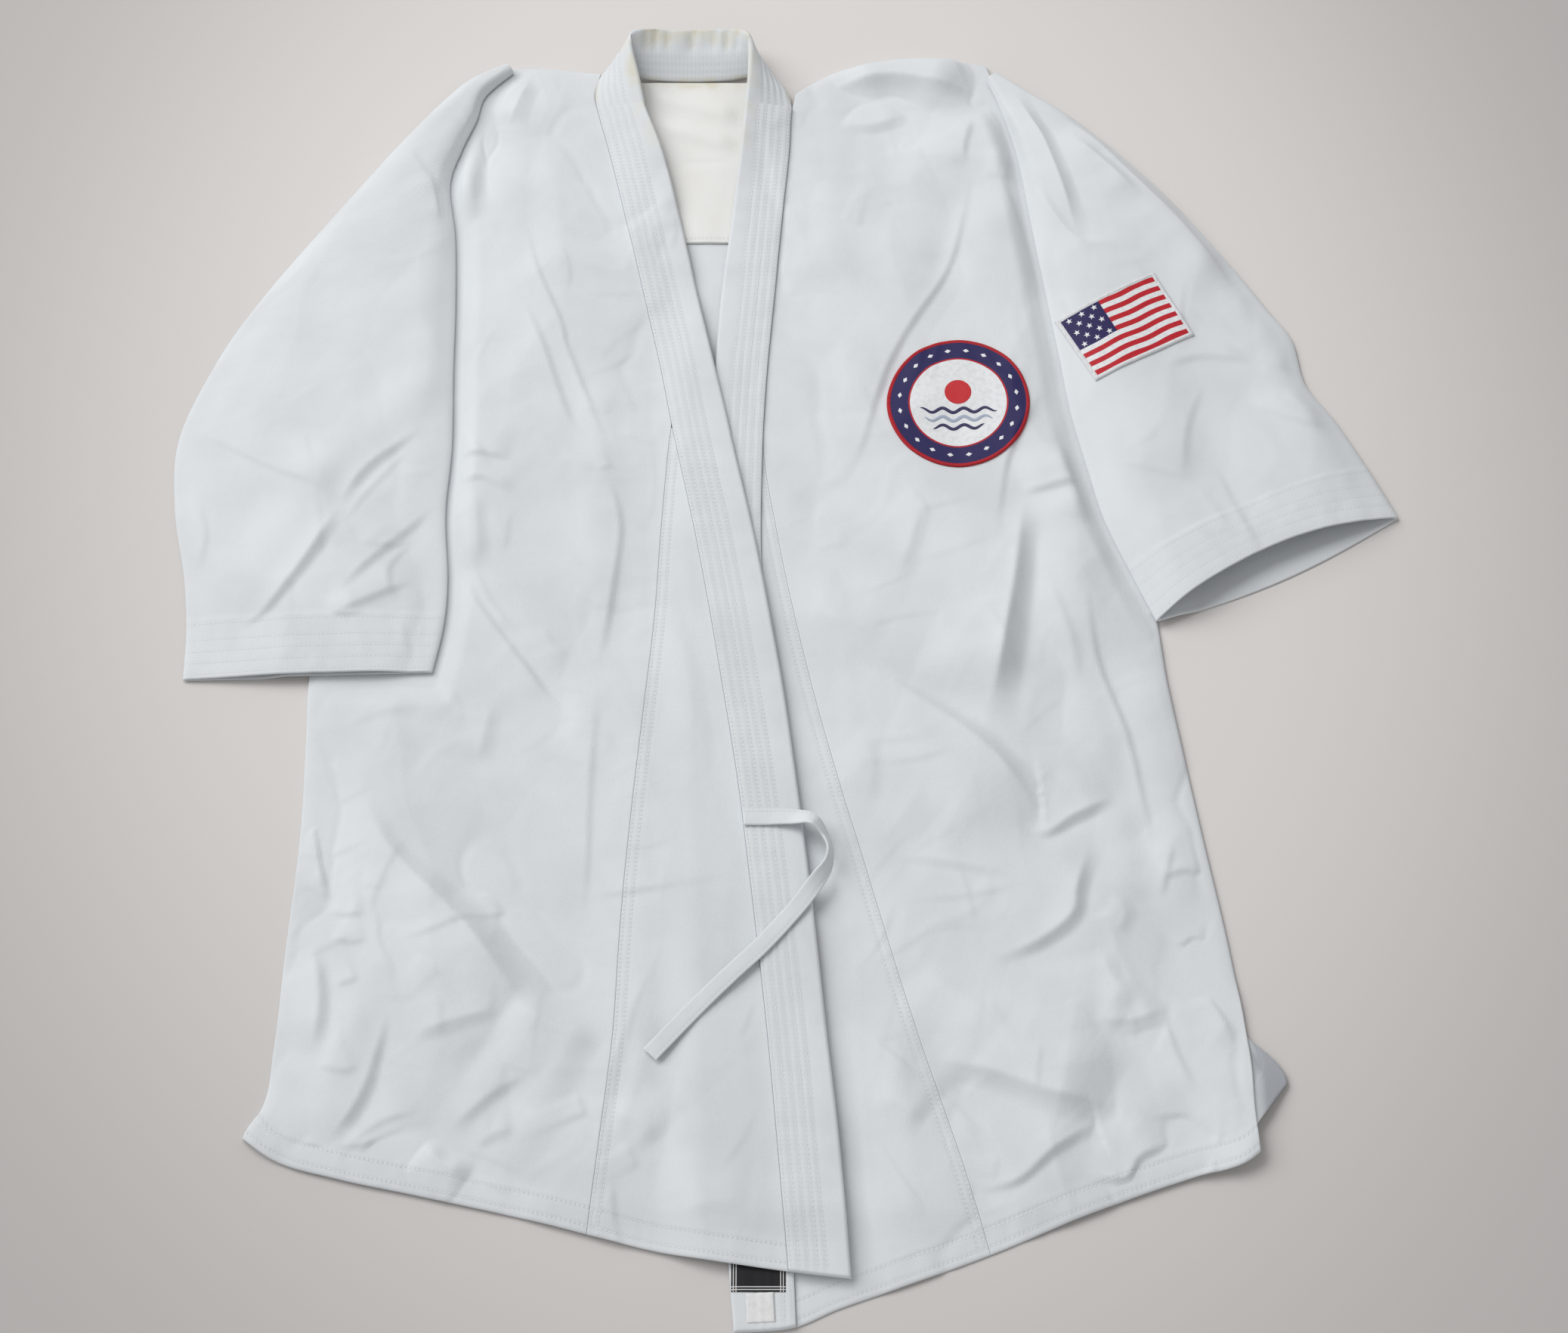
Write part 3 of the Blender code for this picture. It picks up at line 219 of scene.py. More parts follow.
# Creases: the path of the crest, how steep the cloth falls on its lower right side (below 0:
# on the other side), and how wide that slope is at the path's start and end
Crease = namedtuple("Crease", "path slope start end")
RIGHT_CREASES = [Crease(*row) for row in (
    (((-284, -125), (-264, -169), (-235, -201), (-206, -229), (-178, -267), (-162, -287)), 0.5, 6, 24),
    (((-178, -277), (-150, -293), (-118, -308)), -0.3, 26, 16),
    (((-316, -138), (-309, -180), (-301, -214)), 0.75, 5, 6),
    (((-311, -237), (-304, -257), (-301, -283), (-304, -313)), 0.5, 6, 10),
    (((-256, -281), (-266, -323), (-276, -347), (-294, -371)), 0.5, 4, 10),
    (((-241, -300), (-206, -288), (-181, -281)), 0.3, 9, 8),
    (((-214, -362), (-187, -337), (-162, -323)), 0.36, 9, 6),
    (((-229, -366), (-217, -382), (-197, -387)), 0.5, 8, 12),
    (((-196, -372), (-184, -363), (-171, -360)), 0.3, 6, 8), (((-134, -337), (-127, -354)), 0.35, 3, 6),
    (((-112, -350), (-92, -356), (-78, -368)), 0.2, 16, 20),
    (((-64, -411), (-43, -407), (-22, -409)), 0.5, 8, 10),
    (((-17, -343), (-27, -367), (-44, -389)), 0.42, 3, 5),
    (((-15, -268), (-24, -287), (-32, -305)), 0.3, 4, 5),
    (((-256, -237), (-231, -230), (-206, -220), (-157, -210)), 0.3, 4, 3),
    (((-130, -205), (-86, -199), (-39, -192), (-24, -198)), 0.3, 5, 4),
    (((-128, -52), (-131, -127), (-131, -180), (-132, -230)), 0.3, 6, 3),
    (((-226, 36), (-213, 8), (-192, -22), (-171, -50), (-146, -82)), 0.6, 3, 5),
    (((-216, 36), (-203, 8), (-182, -18)), 0.4, 3, 4), (((-66, -48), (-59, -92)), 0.3, 3, 4),
    (((-198, -66), (-207, -112)), 0.2, 9, 12),
    (((-191, 250), (-174, 208), (-155, 153), (-141, 128)), 0.38, 4, 6),
    (((-193, 322), (-180, 272), (-162, 228), (-157, 208), (-144, 174), (-128, 132),
        (-120, 113)), 0.42, 3, 4),
    (((-131, 111), (-121, 92), (-115, 65), (-118, 30), (-124, -17), (-129, -44)), 0.5, 3, 5),
    (((-132, 108), (-121, 112)), 0.3, 2, 3), (((-233, 121), (-213, 122), (-192, 117)), 0.5, 5, 4),
    (((-230, 100), (-211, 103), (-190, 90)), 0.42, 5, 4),
    (((-217, 94), (-214, 62), (-211, 30)), 0.25, 7, 10),
    (((-232, 150), (-222, 132), (-205, 110)), 0.3, 4, 5), (((-311, -205), (-325, -238)), 0.3, 3, 4),
    (((-301, -214), (-288, -217), (-274, -216)), 0.4, 4, 5),
    (((-297, -232), (-285, -236), (-271, -234)), 0.4, 4, 4), (((-292, -266), (-276, -260)), 0.4, 3, 4),
    (((-268, -212), (-264, -240), (-252, -262)), 0.35, 3, 5),
    (((-240, -247), (-228, -256), (-222, -262)), 0.3, 3, 3),
    (((-300, -318), (-283, -322), (-272, -318)), 0.3, 4, 5),
    (((-316, -362), (-294, -371), (-266, -368), (-240, -357)), 0.45, 3, 5),
    (((-290, -384), (-270, -376), (-262, -362)), 0.5, 3, 6),
    (((-281, -373), (-256, -354), (-232, -348)), 0.35, 3, 4),
    (((-250, -160), (-270, -205), (-268, -228)), 0.25, 3, 5),
    (((-90, -330), (-70, -345), (-58, -372)), 0.25, 6, 9),
    (((-98, 150), (-92, 100), (-97, 60)), 0.16, 6, 9),
    (((-190, 440), (-199, 418), (-206, 396)), 0.3, 10, 14),
    (((-230, 412), (-236, 372), (-236, 335), (-226, 314)), 0.8, 14, 20),
)]
LEFT_CREASES = [Crease(*row) for row in (
    (((28, 428), (52, 436), (80, 440), (112, 434), (150, 426)), 0.55, 14, 27),
    (((42, 401), (66, 399), (92, 409)), 0.35, 6, 9), (((140, 404), (133, 376), (135, 362)), 0.4, 6, 4),
    (((139, 365), (131, 318), (118, 272), (91, 228), (74, 195), (66, 172), (54, 130),
        (38, 92)), 0.5, 4, 5),
    (((158, 405), (166, 372), (163, 350)), 0.35, 5, 8),
    (((150, 424), (162, 398), (166, 370), (160, 340)), 0.4, 10, 16),
    (((189, 178), (169, 148), (156, 112), (147, 56)), 0.4, 3, 4),
    (((183, 164), (163, 134), (151, 96)), 0.3, 2, 3),
    (((158, 352), (170, 318), (179, 276), (186, 240)), 0.6, 8, 9),
    (((194, 132), (202, 100), (214, 66)), 0.5, 7, 9), (((166, 92), (188, 97), (209, 102)), 0.5, 4, 7),
    (((169, 90), (163, 52), (157, 14), (144, -52), (136, -80)), 0.72, 13, 20),
    (((97, 84), (89, 56), (78, 26)), 0.2, 9, 12), (((5, 2), (40, -6), (70, -20)), 0.14, 14, 20),
    (((36, -36), (66, -49), (90, -64), (128, -94), (158, -128), (171, -157)), 0.5, 9, 15),
    (((160, -154), (174, -160), (193, -148), (222, -134)), 0.65, 5, 8),
    (((208, 30), (213, -33), (231, -90), (238, -130), (245, -174)), 0.55, 3, 5),
    (((259, -166), (253, -186), (248, -207)), 0.45, 3, 4),
    (((204, -166), (193, -197), (188, -218), (165, -236), (133, -249)), 0.6, 11, 7),
    (((70, -176), (108, -181), (152, -190)), 0.28, 6, 7),
    (((80, -206), (120, -204), (160, -196)), 0.2, 4, 4),
    (((248, -192), (264, -186), (280, -187)), 0.45, 4, 5),
    (((256, -241), (268, -232), (280, -236)), 0.4, 4, 5),
    (((200, -287), (226, -288), (248, -279)), 0.35, 9, 13),
    (((207, -240), (214, -262), (230, -274)), 0.25, 8, 12),
    (((94, -313), (133, -322), (168, -336), (214, -345)), 0.55, 11, 19),
    (((96, -335), (127, -363)), 0.35, 3, 3),
    (((120, -398), (147, -392), (171, -372), (202, -353)), 0.7, 4, 7),
    (((25, -277), (55, -301), (88, -329)), 0.55, 3, 4),
    (((54, -357), (70, -387), (90, -414)), 0.35, 3, 4),
    (((56, -338), (74, -344), (90, -356)), 0.2, 12, 16),
    (((188, -386), (203, -390), (216, -390), (226, -376), (250, -366)), 0.6, 5, 8),
    (((230, -352), (258, -350), (272, -366)), 0.35, 3, 6),
    (((246, -283), (252, -310), (264, -338)), 0.35, 3, 5),
    (((88, -250), (112, -272), (144, -292)), 0.16, 12, 18),
    (((48, -84), (60, -112), (52, -142)), 0.14, 8, 12),
    (((270, -262), (282, -284), (289, -306)), 0.4, 3, 5),
    (((214, -205), (224, -216), (216, -232)), 0.2, 8, 10),
    (((260, -42), (268, -92), (270, -128)), 0.3, 4, 6),
    (((180, 30), (196, -20), (200, -60)), 0.25, 5, 8),
)]
RIGHT_SLEEVE_CREASES = [Crease(*row) for row in (
    (((-420, 143), (-371, 115), (-314, 88)), 0.45, 3, 3),
    (((-256, 142), (-293, 109), (-312, 76)), 0.5, 4, 8),
    (((-310, 80), (-327, 44), (-356, 2), (-378, -14)), 0.65, 9, 4),
    (((-262, 128), (-290, 92), (-309, 62)), 0.3, 3, 4),
    (((-242, 84), (-262, 62), (-288, 35), (-310, 10)), 0.45, 4, 6),
    (((-255, 23), (-271, 15), (-313, -6)), 0.42, 4, 5),
    (((-257, 53), (-274, 30), (-268, 4)), 0.35, 3, 5),
    (((-316, 8), (-305, -4), (-288, -2)), 0.35, 3, 4),
    (((-300, 52), (-278, 48), (-256, 54)), 0.3, 3, 4),
    (((-424, 222), (-381, 249), (-343, 281)), 0.16, 6, 9),
    (((-262, 352), (-256, 330), (-252, 308)), 0.3, 3, 5),
    (((-280, 372), (-262, 346), (-252, 338)), 0.25, 5, 6),
    (((-418, 96), (-404, 60), (-410, 24)), 0.3, 3, 5),
)]
LEFT_SLEEVE_CREASES = [Crease(*row) for row in (
    (((171, 428), (183, 398), (196, 366), (216, 290)), 0.55, 8, 12),
    (((196, 408), (220, 388), (246, 358), (288, 309), (326, 258)), 0.65, 9, 12),
    (((212, 380), (238, 352), (262, 326)), 0.4, 4, 8),
    (((238, 396), (290, 338), (332, 282), (350, 246)), 0.55, 7, 10),
    (((181, 350), (196, 318), (216, 292), (244, 290)), 0.4, 6, 8),
    (((329, 163), (361, 148), (388, 141)), 0.4, 4, 6),
    (((300, 178), (284, 140), (278, 96)), 0.22, 4, 8),
    (((232, 113), (262, 104), (291, 96)), 0.25, 4, 6), (((300, 112), (314, 74), (330, 36)), 0.22, 4, 7),
    (((269, 189), (298, 199), (337, 196)), 0.3, 5, 7),
    (((318, 214), (346, 196), (372, 186)), 0.35, 4, 8),
    (((352, 172), (372, 158), (398, 152)), 0.3, 3, 5),
)]

# Route of the tie: the middle of the strip, its height over the cloth and its lean in degrees
Tie = namedtuple("Tie", "x y lift lean")
TIE = [Tie(*row) for row in (
    (-27, -152, 0.0, 0), (-15, -152, 0.0, 0), (-4, -152, 0.4, -5), (8, -153, 2.0, -15),
    (18, -156, 6.0, -35), (26, -164, 6.0, -60), (30.5, -176, 4.5, -72), (27.5, -189, 3.5, -50),
    (19, -201, 1.5, -15), (9, -214, 0.6, 0), (-3, -228, 0.2, 0), (-17, -243, 0.2, 0),
    (-33, -258, 0.4, 0), (-54, -279, 0.2, 0), (-86, -313, 0.0, 0),
)]


def to_model(points: Array) -> Array:
    """Turn table points in millimetres into model points in metres.

    Args:
        points: An array whose last axis is X, Y, Z.

    Returns:
        The points in metres of the shared frame.
    """
    moved = np.array(points, dtype=float)
    moved[..., 1] -= CENTRE_Y
    return moved * MM


def unit(vectors: Array) -> Array:
    """Give vectors the length of one."""
    return vectors / np.linalg.norm(vectors, axis=-1, keepdims=True)


def length_along(points: Array) -> Array:
    """Length run along a path up to each of its points."""
    steps = np.linalg.norm(np.diff(points, axis=0), axis=-1)
    return np.concatenate([[0.0], np.cumsum(steps)])


def add_object(name: str, mesh: bpy.types.Mesh, material: bpy.types.Material) -> bpy.types.Object:
    """Give a mesh its finish and put it in the scene.

    Args:
        name: The object's name.
        mesh: Its mesh, in place.
        material: Its finish.

    Returns:
        The object, at the origin.
    """
    mesh.materials.append(material)
    thing = bpy.data.objects.new(name, mesh)
    bpy.context.scene.collection.objects.link(thing)
    return thing


def smooth(value: Array | float) -> Array:
    """Ease from 0 to 1 as the value goes from 0 to 1."""
    held = np.clip(value, 0.0, 1.0)
    return held * held * (3.0 - 2.0 * held)


@dataclass(frozen=True)
class SmoothCurve:
    """A smooth curve through one column of a table, as a function of another."""

    places: Array
    values: Array
    tangents: Array

    @classmethod
    def through(cls, rows: Sequence, at: str, to: str) -> "SmoothCurve":
        """Make the curve from a table.

        Args:
            rows: The table's named rows.
            at: The column that the curve is a function of.
            to: The column that it gives.

        Returns:
            The curve, straight past its ends.
        """
        keys = sorted((getattr(row, at), getattr(row, to)) for row in rows)
        places = np.array([key for key, _ in keys], dtype=float)
        values = np.array([value for _, value in keys], dtype=float)
        slopes = np.diff(values) / np.diff(places)
        inner = 0.5 * (slopes[1:] + slopes[:-1])
        return cls(places, values, np.concatenate([slopes[:1], inner, slopes[-1:]]))

    def __call__(self, place: Array | float) -> Array:
        """Give the curve's value at one or more places.

        Args:
            place: One or more places.

        Returns:
            The curve's value at each.
        """
        place = np.asarray(place, dtype=float)
        last = len(self.places) - 1
        i = np.clip(np.searchsorted(self.places, place, side="right") - 1, 0, last - 1)
        span = self.places[i + 1] - self.places[i]
        u = (place - self.places[i]) / span
        between = (
            self.values[i] * (1 + 2 * u) * (1 - u) ** 2
            + self.values[i + 1] * u * u * (3 - 2 * u)
            + span * self.tangents[i] * u * (1 - u) ** 2
            - span * self.tangents[i + 1] * u * u * (1 - u)
        )
        before = self.values[0] + self.tangents[0] * (place - self.places[0])
        after = self.values[-1] + self.tangents[-1] * (place - self.places[-1])
        inside = np.where(place >= self.places[-1], after, between)
        return np.where(place <= self.places[0], before, inside)


right_gore_x = SmoothCurve.through(SEAMS, "y", "right_gore")
right_seam_x = SmoothCurve.through(SEAMS, "y", "right_seam")
right_edge_x = SmoothCurve.through(SEAMS, "y", "right_edge")
left_edge_x = SmoothCurve.through(SEAMS, "y", "left_edge")
left_seam_x = SmoothCurve.through(SEAMS, "y", "left_seam")
left_gore_x = SmoothCurve.through(SEAMS, "y", "left_gore")
right_side_x = SmoothCurve.through(SIDES, "y", "right")
left_side_x = SmoothCurve.through(SIDES, "y", "left")
right_hem_y = SmoothCurve.through(RIGHT_HEM, "x", "y")
left_hem_y = SmoothCurve.through(LEFT_HEM, "x", "y")
back_hem_y = SmoothCurve.through(BACK_HEM, "x", "y")
right_shoulder_y = SmoothCurve.through(RIGHT_SHOULDER, "x", "y")
left_shoulder_y = SmoothCurve.through(LEFT_SHOULDER, "x", "y")
right_underarm_x = SmoothCurve.through(RIGHT_SLEEVE, "inner_y", "inner_x")
left_underarm_x = SmoothCurve.through(LEFT_SLEEVE, "inner_y", "inner_x")


def smooth_rows(rows: Sequence, places: Array) -> Array:
    """Read a table of sections on smooth curves between its rows.

    Args:
        rows: The table's rows.
        places: Row numbers to read at, whole or in between.

    Returns:
        One line of values for each place.
    """
    values = np.array([list(row) for row in rows], dtype=float)
    last = len(values) - 1
    i = np.clip(np.floor(places).astype(int), 0, last - 1)
    u = (np.asarray(places, dtype=float) - i)[:, None]
    first, before = values[np.maximum(i - 1, 0)], values[i]
    after, end = values[i + 1], values[np.minimum(i + 2, last)]
    return 0.5 * (
        2.0 * before + (after - first) * u
        + (2.0 * first - 5.0 * before + 4.0 * after - end) * u * u
        + (3.0 * before - first - 3.0 * after + end) * u ** 3
    )


def fold_height(folds: Sequence[Fold], x: Array, y: Array) -> Array:
    """Height that a table of folds gives the cloth.

    Args:
        folds: The folds.
        x: Places in millimetres.
        y: Places in millimetres.

    Returns:
        The height at each place.
    """
    total = np.zeros(np.broadcast(x, y).shape)
    for fold in folds:
        along_x, along_y = fold.x2 - fold.x1, fold.y2 - fold.y1
        share = (x - fold.x1) * along_x + (y - fold.y1) * along_y
        share = np.clip(share / (along_x ** 2 + along_y ** 2), 0.0, 1.0)
        away_sq = (x - fold.x1 - share * along_x) ** 2 + (y - fold.y1 - share * along_y) ** 2
        total += fold.height * np.exp(-away_sq / fold.width ** 2)
    return total


class ClothNoise:
    """Seeded smooth noise for cloth that doesn't lie quite flat."""

    LATTICE = 64

    def __init__(self, seed: int) -> None:
        """Draw the lattice of directions from the seed."""
        angles = np.random.default_rng(seed).uniform(0.0, math.tau, (self.LATTICE,) * 2)
        self.slope_x, self.slope_y = np.cos(angles), np.sin(angles)

    def at(self, x: Array, y: Array, size: float) -> Array:
        """Give the noise at places.

        Args:
            x: Places in millimetres.
            y: Places in millimetres.
            size: Distance between bumps in millimetres.

        Returns:
            Values of about -1 to 1.
        """
        u, v = np.asarray(x) / size + 17.3, np.asarray(y) / size + 9.1
        i, j = np.floor(u).astype(int), np.floor(v).astype(int)
        fu, fv = u - i, v - j

        def corner(di: int, dj: int) -> Array:
            """Slope of one corner of the lattice, seen from the place."""
            key = (i + di) % self.LATTICE, (j + dj) % self.LATTICE
            return self.slope_x[key] * (fu - di) + self.slope_y[key] * (fv - dj)

        eu = fu ** 3 * (fu * (6.0 * fu - 15.0) + 10.0)
        ev = fv ** 3 * (fv * (6.0 * fv - 15.0) + 10.0)
        low = corner(0, 0) + eu * (corner(1, 0) - corner(0, 0))
        high = corner(0, 1) + eu * (corner(1, 1) - corner(0, 1))
        return 1.5 * (low + ev * (high - low))

    def facets(self, x: Array, y: Array, size: float) -> Array:
        """Give random heights joined by flat three-cornered facets.

        Args:
            x: Places in millimetres.
            y: Places in millimetres.
            size: Length of a facet's sides in millimetres.

        Returns:
            Values of -1 to 1.
        """
        v = np.asarray(y) / size + 12.9
        u = np.asarray(x) / size + 31.7 + 0.5 * v
        i, j = np.floor(u).astype(int), np.floor(v).astype(int)
        low, high = np.minimum(u - i, v - j), np.maximum(u - i, v - j)
        side = np.where(u - i > v - j, self.slope_x[(i + 1) % self.LATTICE, j % self.LATTICE],
            self.slope_x[i % self.LATTICE, (j + 1) % self.LATTICE])
        near = self.slope_x[i % self.LATTICE, j % self.LATTICE]
        far = self.slope_x[(i + 1) % self.LATTICE, (j + 1) % self.LATTICE]
        return near * (1.0 - high) + side * (high - low) + far * low


@dataclass
class Relief:
    """Height map of a sheet's folds, creases and unevenness, read at any place."""

    folds: Sequence[Fold]
    creases: Sequence[Crease]
    seed: int
    corner: tuple[float, float] = (-450.0, -500.0)
    size: tuple[float, float] = (900.0, 980.0)
    pitch: float = 1.0
    fold_share: float = 0.4   # how much of the solids' folds stays under the creases
    swell: float = 1.1        # height of the broad unevenness
    facet: float = 3.4        # height of the flat facets that meet at crisp lines
    chip: float = 1.0         # height of the smaller ones
    crumple: float = 0.3      # height of the thin ridges
    scatter: int = 260        # number of short stray creases
    rise: float = 1.15        # height of a crease for each unit of slope and width
    tail: float = 8.0         # how far the cloth sinks back behind a narrow crest
    tail_share: float = 2.2   # how much further for each unit of the crest's width
    lean: float = 0.55        # how much of the light comes from the side
    heights: Array = field(init=False)

    def __post_init__(self) -> None:
        """Draw the whole map."""
        xs = self.corner[0] + self.pitch * np.arange(int(self.size[0] / self.pitch) + 1)
        ys = self.corner[1] + self.pitch * np.arange(int(self.size[1] / self.pitch) + 1)
        self.xs, self.ys = xs, ys
        x, y = np.meshgrid(xs, ys)
        self.heights = self.fold_share * fold_height(self.folds, x, y)
        for crease in self.creases:
            self.add_crease(crease)
        for crease in self.stray_creases():
            self.add_crease(crease)
        noise = ClothNoise(self.seed)
        bend_x = x + 14.0 * noise.at(x, y, 70.0)
        bend_y = y + 14.0 * noise.at(x + 200.0, y, 70.0)
        self.heights += self.swell * noise.at(bend_x, bend_y, 82.0)
        self.heights += self.facet * noise.facets(bend_x, 0.62 * bend_y, 58.0)
        patches = smooth(1.4 * noise.at(x + 90.0, y, 120.0) + 0.5)
        self.heights += self.chip * patches * noise.facets(0.8 * bend_x, bend_y, 23.0)
        ridge = 1.0 - np.minimum(1.0, 5.0 * np.abs(noise.at(bend_x, bend_y + 300.0, 60.0)))
        patchy = smooth(1.6 * noise.at(x, y + 500.0, 95.0) + 0.35)
        self.heights += self.crumple * smooth(ridge) * patchy

    def stray_creases(self) -> list[Crease]:
        """Draw short stray creases that follow the cloth's own slanting directions.

        Returns:
            The creases, the same each time for one seed.
        """
        rng = np.random.default_rng(self.seed + 400)
        flow = ClothNoise(self.seed + 500)
        found = []
        for _ in range(self.scatter):
            x = rng.uniform(-430.0, 430.0)
            y = rng.uniform(-460.0, 450.0)
            length = rng.uniform(16.0, 70.0)
            turn = 2.6 * float(flow.at(np.array(x), np.array(y), 190.0)) - 0.9
            turn += rng.normal(0.0, 0.25)
            bend = rng.normal(0.0, 0.18)
            path = [(x, y)]
            for k in range(3):
                angle = turn + bend * k
                path.append((path[-1][0] + length / 3.0 * math.cos(angle),
                    path[-1][1] + length / 3.0 * math.sin(angle)))
            found.append(Crease(tuple(path), rng.uniform(0.04, 0.2), rng.uniform(2.0, 5.0),
                rng.uniform(2.0, 6.0)))
        return found

    def add_crease(self, crease: Crease) -> None:
        """Add one crease to the map: a crest with a slope on its shaded side.

        Args:
            crease: The crease.
        """
        count = len(crease.path)
        steps = np.linspace(0.0, count - 1.0, 6 * (count - 1) + 1)
        line = smooth_rows(crease.path, steps)
        tail = self.tail + self.tail_share * max(crease.start, crease.end)
        reach = 2.4 * tail
        cols = np.where((self.xs > line[:, 0].min() - reach) & (self.xs < line[:, 0].max() + reach))[0]
        rows = np.where((self.ys > line[:, 1].min() - reach) & (self.ys < line[:, 1].max() + reach))[0]
        if not len(cols) or not len(rows):
            return
        x, y = np.meshgrid(self.xs[cols], self.ys[rows])
        start, step = line[:-1], np.diff(line, axis=0)
        span = np.hypot(step[:, 0], step[:, 1])
        before = np.concatenate([[0.0], np.cumsum(span)])
        near = np.full(x.shape, 1e9)
        side = np.zeros(x.shape)
        run = np.zeros(x.shape)
        for k in range(len(start)):
            off_x, off_y = x - start[k, 0], y - start[k, 1]
            share = np.clip((off_x * step[k, 0] + off_y * step[k, 1]) / span[k] ** 2, 0, 1)
            away = np.hypot(off_x - share * step[k, 0], off_y - share * step[k, 1])
            closer = away < near
            near = np.where(closer, away, near)
            side = np.where(closer, step[k, 0] * off_y - step[k, 1] * off_x, side)
            run = np.where(closer, before[k] + share * span[k], run)
        whole = line[-1] - line[0]
        shaded = math.copysign(1.0, -crease.slope * (whole[1] + self.lean * whole[0]))
        away = near * np.sign(shaded * side)
        length = before[-1]
        width = crease.start + (crease.end - crease.start) * run / length
        ends = smooth(np.minimum(run, length - run) / (0.34 * length) + 0.04)
        fall = (1.0 - np.clip(away / width, 0.0, 1.0)) ** 1.5
        fall = fall * np.exp(np.minimum(away, 0.0) / tail) * smooth((reach - near) / tail)
        self.heights[np.ix_(rows, cols)] += self.rise * abs(crease.slope) * width * ends * fall

    def __call__(self, x: Array, y: Array) -> Array:
        """Give the map's height at places in millimetres.

        Args:
            x: Places in millimetres.
            y: Places in millimetres.

        Returns:
            Heights in millimetres.
        """
        u = np.clip((x - self.corner[0]) / self.pitch, 0.0, len(self.xs) - 1.001)
        v = np.clip((y - self.corner[1]) / self.pitch, 0.0, len(self.ys) - 1.001)
        i, j = u.astype(int), v.astype(int)
        fu, fv = u - i, v - j
        low = self.heights[j, i] * (1 - fu) + self.heights[j, i + 1] * fu
        high = self.heights[j + 1, i] * (1 - fu) + self.heights[j + 1, i + 1] * fu
        return low * (1 - fv) + high * fv


def settled(floor: Array, shape: Array) -> Array:
    """Height of cloth that has a shape over its floor, rounded where it touches down."""
    rounded = floor + 0.5 * (shape + np.hypot(shape, TOUCH_BLEND))
    return np.maximum(floor, rounded - 0.5 * TOUCH_BLEND * (1.0 - smooth(np.abs(shape))))


def corner_lift(x: Array, y: Array) -> Array:
    """How far the lower left corner of front and back stands off the floor."""
    return CORNER_LIFT * np.exp(-((x - CORNER[0]) / 24.0) ** 2) * smooth((CORNER[1] - y) / 45.0)


def rest_height(x: Array, y: Array) -> Array:
    """Lowest height for a front: over the back and yoke, or near the floor past the hem.

    Args:
        x: Places in millimetres.
        y: Places in millimetres.

    Returns:
        Heights in millimetres.
    """
    over_back = smooth((y - back_hem_y(x) + 32.0) / 24.0)
    height = FLOOR_GAP + over_back * (CLOTH + LAY_GAP - FLOOR_GAP) + corner_lift(x, y)
    beside_yoke = np.maximum(YOKE_X[0] - x, x - YOKE_X[1])
    beside_yoke = np.maximum(np.maximum(beside_yoke, YOKE_LOW_Y - y), 0.0)
    return height + (CLOTH + 0.5) * (1.0 - smooth((beside_yoke - 14.0) / 26.0))


def collar_rise(x: Array, y: Array, seam_x: Array, edge_x: Array) -> Array:
    """How far a lapel tilts up towards its free edge beside the neck."""
    across = np.clip((x - seam_x) / (edge_x - seam_x), 0.0, 1.2)
    return COLLAR_RISE * smooth((y - COLLAR_RISE_FROM) / (LAPEL_TOP_Y - COLLAR_RISE_FROM)) * across


def roll_down(height: Array, distance: Array) -> Array:
    """Turn a height down to the floor at a folded edge."""
    inside = np.clip(distance / EDGE_ROLL, 0.0, 1.0)
    return FLOOR_GAP + (height - FLOOR_GAP) * np.sqrt(1.0 - (1.0 - inside) ** 2)


@dataclass
class LeftFrontShape:
    """Underside of the left (lower) front, its gore and its lapel band."""

    relief: Relief

    def __call__(self, x: Array, y: Array) -> Array:
        """Give the underside's height at places in millimetres.

        Args:
            x: Places in millimetres.
            y: Places in millimetres.

        Returns:
            Heights in millimetres.
        """
        past_neck = x > NECK_POINT_X[1]
        beside_upper = smooth((x - right_edge_x(y) - UPPER_CLEAR) / UPPER_FADE)
        from_upper = np.where(y < CROSS_Y, beside_upper, 1.0)
        beside_sleeve = smooth((left_underarm_x(y) - x - SLEEVE_CLEAR) / SLEEVE_FADE)
        from_sleeve = np.maximum(beside_sleeve, smooth((LEFT_CUFF_Y - y) / SLEEVE_FADE))
        from_top = np.where(past_neck, smooth((left_shoulder_y(x) - y) / SHOULDER_FADE), 1.0)
        puff = PUFF * smooth((x - left_seam_x(y)) / EDGE_FADE) * from_top
        puff *= smooth((left_side_x(y) - x) / EDGE_FADE)
        puff *= smooth((y - left_hem_y(x)) / EDGE_FADE)
        shape = (puff + self.relief(x, y)) * from_upper * from_sleeve
        height = settled(rest_height(x, y), shape)
        rise = collar_rise(x, y, left_seam_x(y), left_edge_x(y))
        height += np.where(x < left_seam_x(y), rise, 0.0)
        rolled = roll_down(height, left_side_x(y) - x)
        closed = 1.0 - smooth((SIDE_OPEN_Y - y) / 25.0)
        height = np.where(y < 0.0, height + (rolled - height) * closed, height)
        rolled = roll_down(height, left_shoulder_y(x) - y)
        return height + (rolled - height) * smooth((x - NECK_POINT_X[1]) / 25.0)


